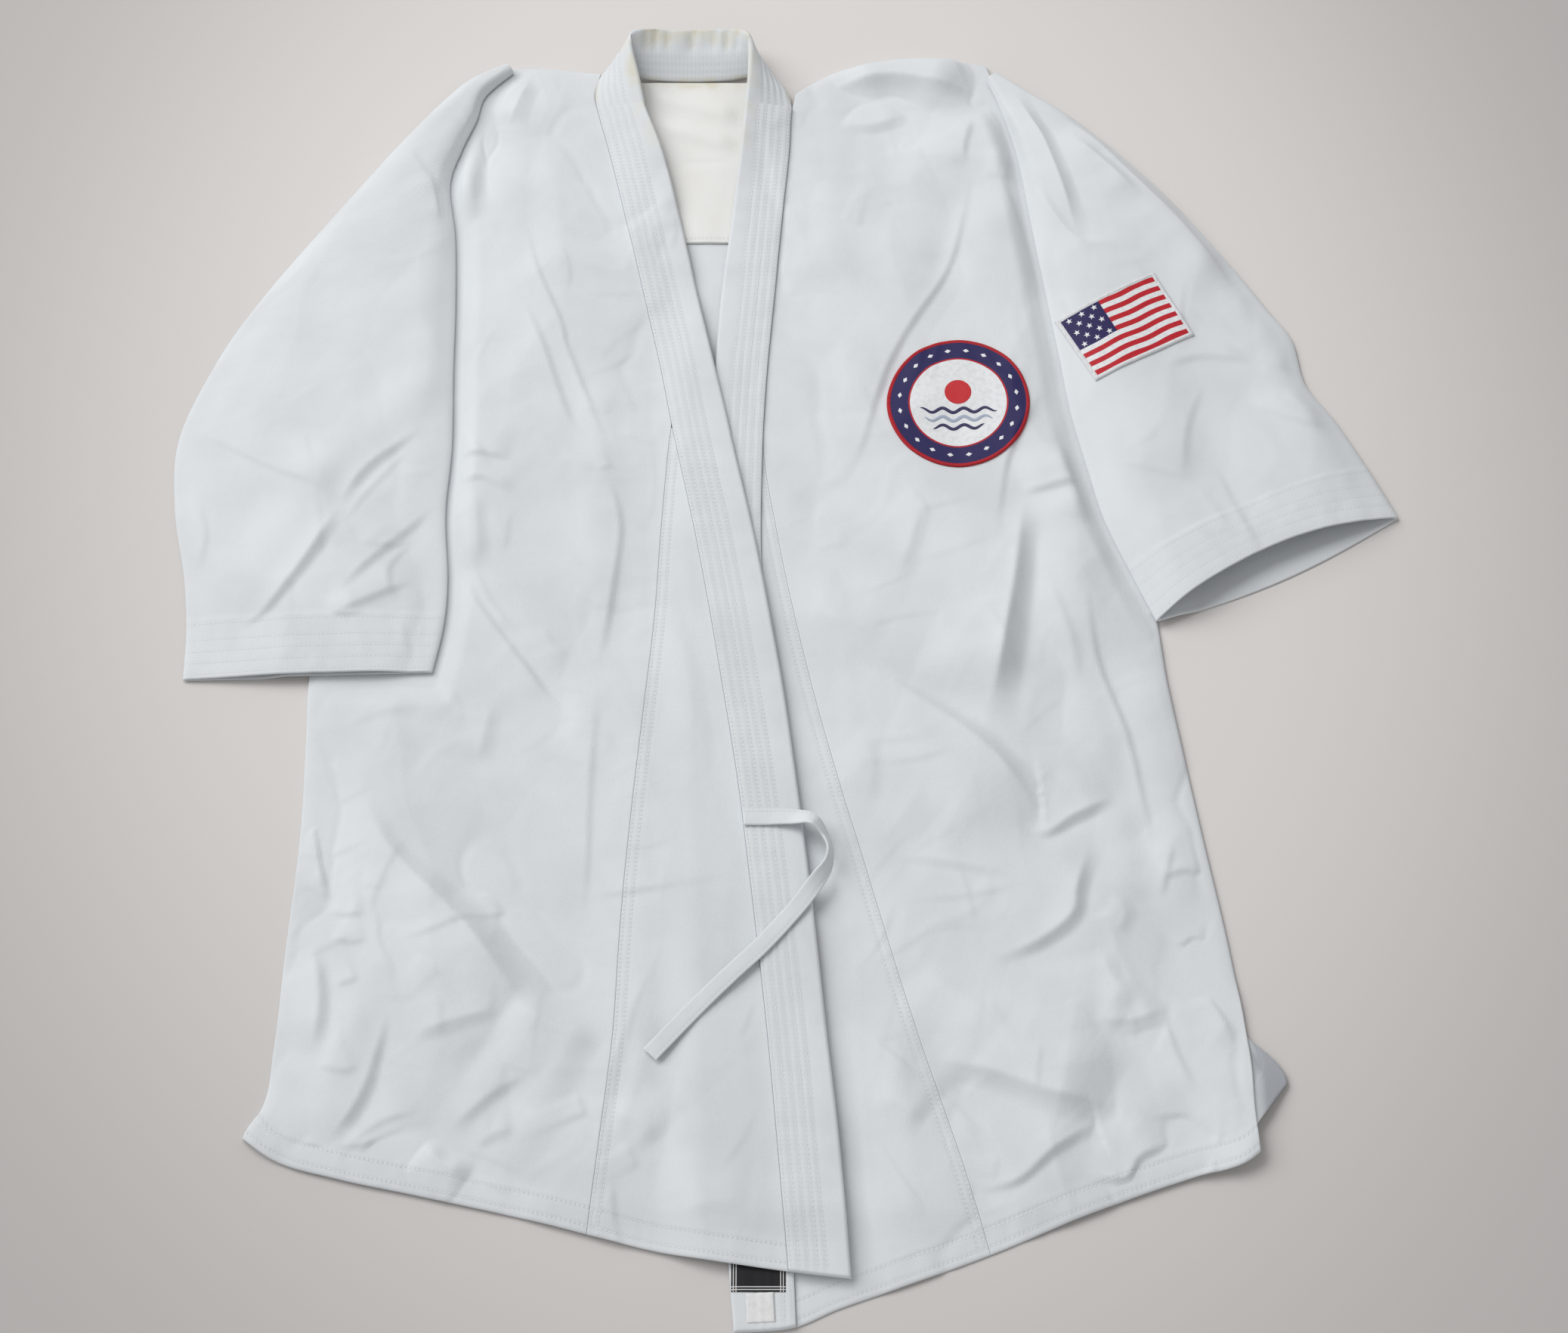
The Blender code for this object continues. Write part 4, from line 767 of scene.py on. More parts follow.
@dataclass
class RightFrontShape:
    """Underside of the right (upper) front, its gore and its lapel band."""

    relief: Relief

    @staticmethod
    def over_left(x: Array, y: Array) -> Array:
        """How far the right front is lifted to pass over the left one.

        Args:
            x: Places in millimetres.
            y: Places in millimetres.

        Returns:
            Heights in millimetres.
        """
        fade = 1.0 - smooth((y - 200.0) / 60.0)
        lift = BAND_THICK + LAY_GAP - 0.2 + LABEL_LIFT * smooth((-385.0 - y) / 30.0)
        return fade * lift * smooth((x - left_edge_x(y) + 46.0) / 32.0)

    def __call__(self, x: Array, y: Array) -> Array:
        """Give the underside's height at places in millimetres.

        Args:
            x: Places in millimetres.
            y: Places in millimetres.

        Returns:
            Heights in millimetres.
        """
        floor = rest_height(x, y) + self.over_left(x, y)
        beside_sleeve = smooth((x - right_underarm_x(y) - SLEEVE_CLEAR) / SLEEVE_FADE)
        from_sleeve = np.maximum(beside_sleeve, smooth((RIGHT_CUFF_Y - y) / SLEEVE_FADE))
        puff = PUFF * smooth((right_seam_x(y) - x) / EDGE_FADE)
        puff *= smooth((x - right_side_x(y)) / EDGE_FADE)
        puff *= smooth((y - right_hem_y(x)) / EDGE_FADE)
        puff *= smooth((right_shoulder_y(x) - y) / SHOULDER_FADE)
        stiff = 1.0 - 0.72 * smooth((x - left_edge_x(y) + EDGE_FADE) / UPPER_FADE)
        shape = (puff + self.relief(x, y) * stiff) * from_sleeve
        height = settled(floor, shape)
        rise = collar_rise(x, y, right_seam_x(y), right_edge_x(y))
        height += np.where(x > right_seam_x(y), rise, 0.0)
        height = np.where(y < -30.0, roll_down(height, x - right_side_x(y)), height)
        rolled = roll_down(height, right_shoulder_y(x) - y)
        return height + (rolled - height) * smooth((NECK_POINT_X[0] - x) / 25.0)


@dataclass(frozen=True)
class Thread:
    """Sewing thread: pitch and size of its stitches in millimetres."""

    pitch: float = 3.0
    length: float = 2.25
    width: float = 0.5
    height: float = 0.34


# One stitch: a low five-sided capsule along +X, one unit long, wide and high
STITCH_RINGS = ((-0.5, 0.25), (-0.28, 1.0), (0.28, 1.0), (0.5, 0.25))
STITCH_SIDES = 5


@dataclass
class StitchRow:
    """A row of stitches along a path on a surface."""

    path: Array
    thread: Thread = Thread()

    def spots(self) -> tuple[Array, Array]:
        """Give each stitch's middle and direction, in table millimetres.

        Returns:
            The middles and the unit directions, one row for each stitch.
        """
        run = length_along(self.path)
        places = np.arange(0.8, run[-1] - 0.8, self.thread.pitch)
        middle = np.stack([np.interp(places, run, self.path[:, k]) for k in (0, 1)], axis=1)
        ahead = np.stack([np.interp(places + 0.6, run, self.path[:, k]) for k in (0, 1)], 1)
        along = ahead - middle
        return middle, along / np.maximum(1e-9, np.linalg.norm(along, axis=1))[:, None]


class Slots(Enum):
    """Material slots of the record."""

    WHITE = "white_canvas"
    CREAM = "cream_canvas"
    BAND = "band_canvas"
    ROUND_PATCH = "patch_embroidery"
    FLAG = "flag_embroidery"
    BLACK_LABEL = "black_satin"
    WHITE_LABEL = "white_tape"


class Held(Enum):
    """How a sheet of cloth is held."""

    LAID = "laid"
    FOLDED = "folded"


class NodeSketch:
    """A material's node tree, with short ways to add to it."""

    def __init__(self, name: str) -> None:
        """Start a Principled material.

        Args:
            name: The material's name.
        """
        self.material = bpy.data.materials.new(name)
        self.material.use_nodes = True
        self.tree = self.material.node_tree
        self.shader = self.tree.nodes["Principled BSDF"]

    def add(self, kind: str, inputs: dict | None = None, **settings: object) -> bpy.types.Node:
        """Add a node.

        Args:
            kind: The node's type name.
            inputs: Values or sockets for its inputs, by name or number.
            settings: Its other settings.

        Returns:
            The node.
        """
        node = self.tree.nodes.new(kind)
        for key, value in settings.items():
            setattr(node, key, value)
        for key, value in (inputs or {}).items():
            self.feed(node.inputs[key], value)
        return node

    def feed(self, socket: bpy.types.NodeSocket, value: object) -> None:
        """Link a socket to an input, or give it a value.

        Args:
            socket: The input.
            value: A socket or a plain value.
        """
        if isinstance(value, bpy.types.NodeSocket):
            self.tree.links.new(value, socket)
        else:
            socket.default_value = value

    def math(self, operation: str, first: object, second: object = 0.0,
            clamp: bool = False) -> bpy.types.NodeSocket:
        """Combine two numbers and give the result's socket."""
        node = self.add("ShaderNodeMath", {0: first, 1: second}, operation=operation, use_clamp=clamp)
        return node.outputs[0]

    def times(self, first: object, second: object, clamp: bool = False) -> bpy.types.NodeSocket:
        """Multiply two numbers and give the result's socket."""
        return self.math("MULTIPLY", first, second, clamp)

    def between(self, value: object, low: float, high: float) -> bpy.types.NodeSocket:
        """Ease a number from 0 at the low limit to 1 at the high one.

        Args:
            value: The number.
            low: Where it starts to rise from 0.
            high: Where it reaches 1.

        Returns:
            The result's socket.
        """
        node = self.add("ShaderNodeMapRange", {"Value": value, "From Min": low, "From Max": high},
            interpolation_type="SMOOTHSTEP")
        return node.outputs["Result"]

    def mix(self, share: object, first: object, second: object,
            blend: str = "MIX") -> bpy.types.NodeSocket:
        """Mix two colours and give the result's socket.

        Args:
            share: How much of the second colour there is.
            first: The first colour.
            second: The second colour.
            blend: How they are combined.

        Returns:
            The result's socket.
        """
        node = self.add("ShaderNodeMix", data_type="RGBA", blend_type=blend)
        self.feed(node.inputs["Factor"], share)
        self.feed(node.inputs["A"], first)
        self.feed(node.inputs["B"], second)
        for socket in node.outputs:
            if socket.type == "RGBA":
                return socket
        raise RuntimeError("no colour output")

    def uv(self, layer: str = "cloth") -> bpy.types.NodeSocket:
        """Give the vector of a UV layer."""
        return self.add("ShaderNodeUVMap", uv_map=layer).outputs["UV"]

    def attribute(self, name: str) -> bpy.types.NodeSocket:
        """Give the number that a mesh attribute holds."""
        return self.add("ShaderNodeAttribute", attribute_name=name).outputs["Fac"]

    def noise(self, vector: object, scale: float, detail: float = 2.0,
            roughness: float = 0.5) -> bpy.types.NodeSocket:
        """Give a noise texture's value.

        Args:
            vector: Place to read it at.
            scale: How fine it is.
            detail: How many finer layers it has.
            roughness: How strong those layers are.

        Returns:
            The result's socket.
        """
        node = self.add("ShaderNodeTexNoise", {"Vector": vector, "Scale": scale,
            "Detail": detail, "Roughness": roughness})
        return node.outputs[0]

    def scaled(self, vector: object, factors: tuple[float, float, float]) -> bpy.types.NodeSocket:
        """Multiply a vector by factors."""
        node = self.add("ShaderNodeVectorMath", {0: vector, 1: factors}, operation="MULTIPLY")
        return node.outputs[0]

    def bump(self, height: object, strength: float, distance: float,
            normal: object = None) -> bpy.types.NodeSocket:
        """Turn a height into a bumped normal, on top of another if one is given.

        Args:
            height: The height.
            strength: Share of it that is used, 0 to 1.
            distance: Metres that a height of 1 stands for.
            normal: The normal below it, if there is one.

        Returns:
            The normal's socket.
        """
        inputs = {"Height": height, "Strength": strength, "Distance": distance}
        if normal is not None:
            inputs["Normal"] = normal
        return self.add("ShaderNodeBump", inputs).outputs["Normal"]

    def weave(self, vector: object, thread: float) -> bpy.types.NodeSocket:
        """Give the height of a plain weave.

        Args:
            vector: Place on the cloth in metres.
            thread: Distance between threads in metres.

        Returns:
            A height of 0 to 1, threads going over and under each other.
        """
        cells = self.scaled(vector, (1.0 / thread, 1.0 / thread, 0.0))
        parts = self.add("ShaderNodeSeparateXYZ", {0: cells})
        over = self.add("ShaderNodeTexChecker", {"Vector": cells, "Scale": 1.0}).outputs["Fac"]
        warp, weft = (
            self.math("ABSOLUTE", self.math("SINE", self.times(parts.outputs[axis], math.pi)))
            for axis in ("X", "Y")
        )
        chosen = self.add("ShaderNodeMix", data_type="FLOAT")
        self.feed(chosen.inputs["Factor"], over)
        self.feed(chosen.inputs[2], warp)
        self.feed(chosen.inputs[3], weft)
        return chosen.outputs[0]

    def finish(self, colour: object, roughness: object, normal: object = None) -> bpy.types.Material:
        """Give the shader its inputs and return the material.

        Args:
            colour: Its base colour.
            roughness: Its roughness.
            normal: Its normal, if it is bumped.

        Returns:
            The material.
        """
        self.feed(self.shader.inputs["Base Color"], colour)
        self.feed(self.shader.inputs["Roughness"], roughness)
        if normal is not None:
            self.feed(self.shader.inputs["Normal"], normal)
        return self.material


Colour = tuple[float, float, float, float]


@dataclass(frozen=True)
class CanvasFinish:
    """Matt woven cotton: thread size, colours and how uneven they are."""

    name: str
    colour: Colour = (0.665, 0.695, 0.72, 1.0)
    shade: Colour = (0.625, 0.65, 0.672, 1.0)
    stain: Colour = (0.62, 0.575, 0.43, 1.0)
    # grey of the painted shade in stitch grooves and of the painted shadow on the back's flap
    painted_shade_colour: Colour = (0.36, 0.38, 0.41, 1.0)
    thread: float = 0.00075
    weave_depth: float = 0.00009
    weave_strength: float = 0.5
    crumb_depth: float = 0.0004
    roughness: float = 0.88
    sheen: float = 0.25

    def make(self) -> bpy.types.Material:
        """Build the material.

        Returns:
            A canvas with its weave, faint clouds, its stains, painted shade along its stitch grooves
            and needle holes, and painted shadow where a mesh marks it.
        """
        sketch = NodeSketch(self.name)
        place = sketch.uv()
        cloud = sketch.between(sketch.noise(place, 16.0, 3.0), 0.35, 0.7)
        colour = sketch.mix(cloud, self.colour, self.shade)
        slub_u = sketch.noise(sketch.scaled(place, (90.0, 900.0, 0.0)), 1.0, 1.0)
        slub_v = sketch.noise(sketch.scaled(place, (900.0, 90.0, 0.0)), 1.0, 1.0)
        slub = sketch.math("ADD", slub_u, slub_v)
        speck = sketch.between(slub, 1.05, 1.5)
        colour = sketch.mix(sketch.times(speck, 0.22), colour, self.shade)
        stain = sketch.times(sketch.attribute("stain"),
            sketch.between(sketch.noise(place, 70.0, 4.0), 0.3, 0.65))
        colour = sketch.mix(stain, colour, self.stain)
        # painted shade: stitch grooves darkened, most at the needle holes
        wave = sketch.math("SINE", sketch.times(sketch.attribute("run"), math.tau / 0.003))
        hole = sketch.between(wave, 0.1, 0.9)
        hole = sketch.math("ADD", sketch.times(hole, 0.75), 0.25)
        groove = sketch.times(sketch.attribute("groove"), hole, clamp=True)
        colour = sketch.mix(sketch.times(groove, 0.3), colour, self.painted_shade_colour)
        # painted shadow: darkened fully to the grey where a mesh marks it
        colour = sketch.mix(sketch.attribute("dusk"), colour, self.painted_shade_colour)
        weave = sketch.weave(place, self.thread)
        crumb = sketch.noise(place, 210.0, 3.0, 0.6)
        normal = sketch.bump(crumb, 0.32, self.crumb_depth)
        normal = sketch.bump(slub, 0.3, 0.0001, normal)
        normal = sketch.bump(weave, self.weave_strength, self.weave_depth, normal)
        sketch.shader.inputs["Sheen Weight"].default_value = self.sheen
        sketch.shader.inputs["Sheen Roughness"].default_value = 0.5
        sketch.shader.inputs["Specular IOR Level"].default_value = 0.25
        return sketch.finish(colour, self.roughness, normal)


@dataclass(frozen=True)
class ThreadFinish:
    """Cotton sewing thread with its twist."""

    name: str
    colour: Colour = (0.8, 0.815, 0.83, 1.0)
    roughness: float = 0.6

    def make(self) -> bpy.types.Material:
        """Build the material from Object coordinates.

        Returns:
            The material.
        """
        sketch = NodeSketch(self.name)
        place = sketch.add("ShaderNodeTexCoord").outputs["Object"]
        tint = sketch.noise(place, 900.0, 2.0)
        colour = sketch.mix(sketch.times(tint, 0.3), self.colour,
            tuple(0.8 * part for part in self.colour[:3]) + (1.0,))
        twist = sketch.add("ShaderNodeTexWave", {"Vector": place, "Scale": 1400.0},
            bands_direction="DIAGONAL")
        normal = sketch.bump(twist.outputs["Fac"], 0.3, 0.00005)
        return sketch.finish(colour, self.roughness, normal)


@dataclass(frozen=True)
class TwillFinish:
    """Embroidery: parallel satin threads that change tone with their direction."""

    name: str
    colour: Colour
    roughness: float = 0.55
    thread: float = 0.0005

    def dress(self, sketch: NodeSketch, colour: object) -> bpy.types.Material:
        """Add the threads' relief and sheen to a colour and finish the material.

        Args:
            sketch: The material's nodes so far.
            colour: Its colour.

        Returns:
            The material.
        """
        place = sketch.uv()
        cells = sketch.scaled(place, (1.0 / self.thread, 0.35 / self.thread, 0.0))
        threads = sketch.add("ShaderNodeTexWave", {"Vector": cells, "Scale": 0.5, "Distortion": 0.6},
            bands_direction="DIAGONAL")
        tone = sketch.noise(place, 260.0, 3.0)
        darker = sketch.mix(0.5, colour, (0.35, 0.35, 0.35, 1.0), "MULTIPLY")
        colour = sketch.mix(sketch.times(sketch.between(tone, 0.4, 0.8), 0.35), colour, darker)
        normal = sketch.bump(threads.outputs["Fac"], 0.55, 0.00018)
        sketch.shader.inputs["Sheen Weight"].default_value = 0.1
        sketch.shader.inputs["Specular IOR Level"].default_value = 0.4
        return sketch.finish(colour, self.roughness, normal)

    def make(self) -> bpy.types.Material:
        """Build the material in one colour."""
        return self.dress(NodeSketch(self.name), self.colour)


class Finishes:
    """All the jacket's finishes, each made once."""

    def __init__(self) -> None:
        """Make the materials."""
        self.white = CanvasFinish("white_canvas_finish").make()
        self.band = CanvasFinish("band_canvas_finish", thread=0.0007).make()
        self.cream = CanvasFinish("cream_canvas_finish", colour=(0.77, 0.77, 0.755, 1.0),
            shade=(0.73, 0.725, 0.70, 1.0)).make()
        self.thread = ThreadFinish("white_thread_finish").make()
        self.navy = TwillFinish("navy_twill_finish", (0.022, 0.018, 0.085, 1.0)).make()
        self.red = TwillFinish("red_twill_finish", (0.5, 0.012, 0.018, 1.0)).make()
        self.white_twill = TwillFinish("white_twill_finish", (0.72, 0.74, 0.76, 1.0)).make()
        self.grey_twill = TwillFinish("grey_twill_finish", (0.35, 0.4, 0.5, 1.0)).make()
        self.tape = TwillFinish("white_tape_finish", (0.8, 0.8, 0.8, 1.0),
            roughness=0.5, thread=0.0003).make()


@dataclass
class Sheet:
    """A wall of cloth between two matching grids of points, in table millimetres.

    The underside's mesh has half as many rows and columns as the top's.
    """

    name: str
    top: Array
    bottom: Array
    uv: Array
    attributes: dict[str, Array] = field(default_factory=dict)
    ring: bool = False        # whether the columns close on themselves

    def picks(self) -> tuple[Array, Array]:
        """Rows and columns of the top that the underside's mesh also has.

        Returns:
            The rows' numbers and the columns' numbers.
        """
        rows, cols = self.top.shape[:2]
        row_picks = np.unique(np.append(np.arange(0, rows, 2), rows - 1))
        if self.ring:
            return row_picks, np.arange(0, cols, 2)
        return row_picks, np.unique(np.append(np.arange(0, cols, 2), cols - 1))

    def both(self, values: Array) -> Array:
        """List values of all points: the top grid's, then the underside's.

        Args:
            values: A grid of values for the top's points.

        Returns:
            One row for each point of the mesh.
        """
        row_picks, col_picks = self.picks()
        flat = values.reshape(*self.top.shape[:2], -1)
        under = flat[np.ix_(row_picks, col_picks)]
        return np.concatenate([flat.reshape(-1, flat.shape[-1]), under.reshape(-1, flat.shape[-1])])

    def quads(self, number: Array) -> Array:
        """Join a grid of point numbers into quads.

        Args:
            number: The grid of point numbers.

        Returns:
            One row of four for each face.
        """
        after = np.roll(number, -1, axis=1) if self.ring else number[:, 1:]
        here = number if self.ring else number[:, :-1]
        return np.stack([here[:-1], after[:-1], after[1:], here[1:]], -1).reshape(-1, 4)

    def cut(self) -> tuple[float, float, float]:
        """Width, length and area in metres that the cloth was cut to, laid out flat.

        Returns:
            The width, the length and the area.
        """
        flat = self.uv * MM
        if self.ring:
            close = flat[:, :1] + (flat[:, -1:] - flat[:, -2:-1]) + (flat[:, -1:] - flat[:, :1])
            flat = np.concatenate([flat, close], axis=1)
        a, b = flat[1:, 1:] - flat[:-1, :-1], flat[1:, :-1] - flat[:-1, 1:]
        area = 0.5 * np.abs(a[..., 0] * b[..., 1] - a[..., 1] * b[..., 0]).sum()
        width, length = np.ptp(flat.reshape(-1, 2), axis=0)
        return float(width), float(length), float(area)

    def rim(self) -> list[list[int]]:
        """List the faces that join the outlines of the top and the underside.

        Returns:
            The point numbers of each face.
        """
        rows, cols = self.top.shape[:2]
        above = np.arange(rows * cols).reshape(rows, cols)
        row_picks, col_picks = self.picks()
        below = np.full((rows, cols), -1)
        below[np.ix_(row_picks, col_picks)] = rows * cols + np.arange(
            len(row_picks) * len(col_picks)).reshape(len(row_picks), len(col_picks))
        if self.ring:
            loops = [[(row, col) for col in range(cols)][::step]
                for row, step in ((0, 1), (rows - 1, -1))]
        else:
            loops = [[(0, col) for col in range(cols)] + [(row, cols - 1) for row in range(1, rows)]
                + [(rows - 1, col) for col in range(cols - 2, -1, -1)]
                + [(row, 0) for row in range(rows - 2, 0, -1)]]
        faces = []
        for loop in loops:
            marks = [k for k, spot in enumerate(loop) if below[spot] >= 0]
            for first, last in zip(marks, marks[1:] + [marks[0] + len(loop)]):
                between = [loop[k % len(loop)] for k in range(first, last + 1)]
                faces.append([int(above[spot]) for spot in between[::-1]]
                    + [int(below[between[0]]), int(below[between[-1]])])
        return faces

    def make(self, material: bpy.types.Material) -> bpy.types.Object:
        """Build the mesh object.

        Args:
            material: The cloth's finish.

        Returns:
            The object, at the origin.
        """
        rows, cols = self.top.shape[:2]
        picked = [len(part) for part in self.picks()]
        top_points = self.both(self.top)[:rows * cols]
        points = to_model(np.concatenate([top_points, self.both(self.bottom)[rows * cols:]]))
        top_quads = self.quads(np.arange(rows * cols).reshape(rows, cols))
        low_quads = self.quads(rows * cols + np.arange(picked[0] * picked[1]).reshape(picked))
        quads = np.concatenate([top_quads, low_quads[:, ::-1]])
        faces = quads.tolist() + self.rim()
        if self.outward(points, quads) < 0.0:
            faces = [face[::-1] for face in faces]
        mesh = bpy.data.meshes.new(self.name + "_cloth")
        mesh.from_pydata(points.tolist(), [], faces)
        layer = mesh.uv_layers.new(name="cloth")
        corners = np.concatenate([np.array(face) for face in (
            np.array(faces[:len(quads)]).ravel(), *faces[len(quads):])])
        layer.data.foreach_set("uv", (self.both(self.uv) * MM)[corners].ravel())
        for key, values in self.attributes.items():
            mesh.attributes.new(key, "FLOAT", "POINT").data.foreach_set(
                "value", self.both(values).ravel().astype(np.float32))
        mesh.shade_smooth()
        mesh.set_sharp_from_angle(angle=math.radians(70.0))
        return add_object(self.name + "_cloth", mesh, material)

    @staticmethod
    def outward(points: Array, faces: Array) -> float:
        """Volume that the faces enclose, negative if they face inwards."""
        a, b, c, d = (points[faces[:, k]] for k in range(4))
        return float(np.einsum("ij,ij->", a, np.cross(b, c) + np.cross(c, d)))


def upright(height: Height, x: Array, y: Array) -> Array:
    """Upright thickness of a wall one unit thick that follows a height.

    Args:
        height: The height that the wall follows.
        x: Places in millimetres.
        y: Places in millimetres.

    Returns:
        The thickness at each place, 1 where it is level.
    """
    step = 2.0
    slope_x = (height(x + step, y) - height(x - step, y)) / (2.0 * step)
    slope_y = (height(x, y + step) - height(x, y - step)) / (2.0 * step)
    return np.sqrt(1.0 + np.minimum(0.8, slope_x ** 2 + slope_y ** 2))


def rounding(distance: Array, radius: float, least: float) -> Array:
    """Share of a wall's thickness that is left at a distance from its edge."""
    inside = np.clip(distance / radius, 0.0, 1.0)
    return least + (1.0 - least) * np.sqrt(1.0 - (1.0 - inside) ** 2)


def grooves(distance: Array, rows: Sequence[float], width: float = 1.1) -> Array:
    """How near a place is to the closest of some stitch rows, from 0 to 1.

    Args:
        distance: Distances from the edge.
        rows: The stitch rows' distances.
        width: How wide each row's groove is.

    Returns:
        The nearness at each place.
    """
    near = np.zeros(distance.shape)
    for row in rows:
        near = np.maximum(near, np.exp(-((distance - row) / width) ** 2))
    return near


@dataclass(frozen=True)
class Lines:
    """Lengthwise lines of a panel: fixed distances at each edge, evenly spread between."""

    near: tuple[float, ...]
    far: tuple[float, ...]
    spacing: float
    width: float              # usual width, which sets how many lines there are

    def offsets(self, width: Array) -> Array:
        """Distances of all lines from the first edge.

        Args:
            width: The panel's width at each place.

        Returns:
            One row of distances for each width.
        """
        width = np.atleast_1d(width)
        edges = self.near[-1] + self.far[-1]
        count = max(2, int(round((self.width - edges) / self.spacing)))
        squeeze = np.minimum(1.0, width / (edges + 0.35 * count * self.spacing))[:, None]
        near = np.array(self.near)[None, :] * squeeze
        far = width[:, None] - np.array(self.far[::-1])[None, :] * squeeze
        share = np.linspace(0.0, 1.0, count + 1)[1:-1][None, :]
        between = near[:, -1:] + share * (far[:, :1] - near[:, -1:])
        return np.concatenate([near, between, far], axis=1)


EDGE_LINES = (0.0, 0.25, 0.8, 1.8, 3.0)
HEM_LINES = (0.0, 0.3, 0.9, 1.8, 3.0, 4.0, 5.0, 6.0, 7.2, 9.0, 11.0, 13.0, 14.4, 15.2, 16.0,
    16.8, 17.8, 19.5, 21.5)
BACK_SIDE_LINES = (0.0, 0.25, 0.8, 1.8, 3.0, 6.0, 9.0, 14.0, 22.0, 24.0, 25.0, 26.0, 30.0)
BACK_HEM_LINES = (0.0, 0.3, 0.9, 3.0, 8.0, 14.0, 20.0, 23.5, 24.5, 25.5, 27.0, 31.0)
FRONT_SIDE_LINES = (0.0, 0.3, 0.9, 1.8, 3.0, 4.4, 6.0, 8.0, 10.0)
GORE_LINES = (0.0, 0.25, 0.8, 1.6, 2.5, 3.6, 5.0, 6.0, 6.8, 7.6, 8.8, 10.5)
FOLD_LINES = (0.0, 0.3, 0.9, 1.8, 3.0, 4.6, 6.6, 9.0)
BAND_SEAM_LINES = (0.0, 0.3, 0.9, 1.5, 2.2, 3.2)
BAND_EDGE_LINES = (0.0, 0.2, 0.6, 1.2, 2.0, 3.0)
TIE_LINES = (0.0, 0.3, 0.9, 1.8, 3.0, 4.4, 5.8, 7.2, 8.5, 9.5, 10.2, 10.8, 11.2, 11.5)
BAND_ROWS = (1.5, 7.0, 12.7, 18.4, 24.0)
HEM_ROWS = (5.0, 16.0)
GORE_ROWS = (1.6, 6.8)


@dataclass
class PanelGrid:
    """Fine grid of places of a panel between two lengthwise edges and two ends."""

    inner: Callable[[Array], Array]
    outer: Callable[[Array], Array]
    low: Callable[[Array], Array]
    high: Callable[[Array], Array]
    across: Lines
    along: Lines

    def __post_init__(self) -> None:
        """Lay the grid out."""
        self.side = np.sign(self.outer(0.0) - self.inner(0.0))
        start = np.full(self.across.offsets(np.array([100.0])).shape[1], -400.0)
        self.low_y = self.meet(self.low, start)
        self.high_y = self.meet(self.high, np.full(start.shape, 440.0))
        offsets = self.along.offsets(self.high_y - self.low_y).T
        self.y = self.low_y[None, :] + offsets
        width = np.abs(self.outer(self.y) - self.inner(self.y))
        columns = np.arange(self.y.shape[1])
        self.from_inner = np.stack([self.across.offsets(width[:, k])[:, k] for k in columns], axis=1)
        self.from_outer = width - self.from_inner
        self.x = self.inner(self.y) + self.side * self.from_inner
        self.from_low = self.y - self.low_y[None, :]

    def meet(self, end: Callable[[Array], Array], start: Array) -> Array:
        """Height Y where each lengthwise line meets an end curve.

        Args:
            end: The end curve.
            start: First guess for each line.

        Returns:
            The Y of each line.
        """
        y = start
        columns = np.arange(len(start))
        for _ in range(14):
            offsets = self.across.offsets(np.abs(self.outer(y) - self.inner(y)))
            y = end(self.inner(y) + self.side * offsets[columns, columns]) + 0.0 * y
        return y

    def sheet(self, name: str, top: Array, bottom: Array, **attributes: Array) -> Sheet:
        """Make a sheet over the grid's places.

        Args:
            name: The sheet's name.
            top: Heights of its upper side.
            bottom: Heights of its underside.
            attributes: Numbers that its finish reads.

        Returns:
            The sheet, its flat cut taken from its places.
        """
        upper, lower = (np.stack([self.x, self.y, height], -1) for height in (top, bottom))
        return Sheet(name, upper, lower, upper[..., 0:2], attributes)


@dataclass
class Piece:
    """A finished piece with facts about its cloth and what it rests on."""

    thing: bpy.types.Object
    slot: Slots
    node: str | None = None
    cut: tuple[float, float, float] | None = None
    rests_on: tuple[str, ...] = ()
    held: Held = Held.LAID

    def register(self) -> None:
        """Let the piece ride on the jacket, stand for its solid and log its number of faces."""
        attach(self.thing, "root")
        if self.node:
            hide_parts(self.node)
        LOG.info("%s: %d faces", self.thing.name, len(self.thing.data.polygons))


class Surface:
    """The top of some pieces, found by looking down on them."""

    def __init__(self, *pieces: bpy.types.Object) -> None:
        """Index the pieces' meshes.

        Args:
            pieces: The pieces.
        """
        self.trees = [
            BVHTree.FromPolygons([vertex.co for vertex in piece.data.vertices],
                                 [list(face.vertices) for face in piece.data.polygons])
            for piece in pieces
        ]

    def hit(self, x: float, y: float) -> tuple[float, Vector] | None:
        """Top height in millimetres and its normal at a place, or nothing beside it.

        Args:
            x: Places in millimetres.
            y: Places in millimetres.

        Returns:
            The height and the normal, or None.
        """
        start = Vector((x * MM, (y - CENTRE_Y) * MM, 0.2))
        best = None
        for tree in self.trees:
            point, normal, _, _ = tree.ray_cast(start, Vector((0.0, 0.0, -1.0)))
            if point and (best is None or point.z / MM > best[0]):
                best = (point.z / MM, normal)
        return best

    def top(self, x: float, y: float) -> float:
        """Top height in millimetres, or 0 beside the pieces."""
        found = self.hit(x, y)
        return found[0] if found else 0.0

    def tops(self, x: Array, y: Array) -> Array:
        """Top heights at many places."""
        flat = [self.top(float(a), float(b)) for a, b in zip(np.ravel(x), np.ravel(y))]
        return np.array(flat).reshape(np.shape(x))


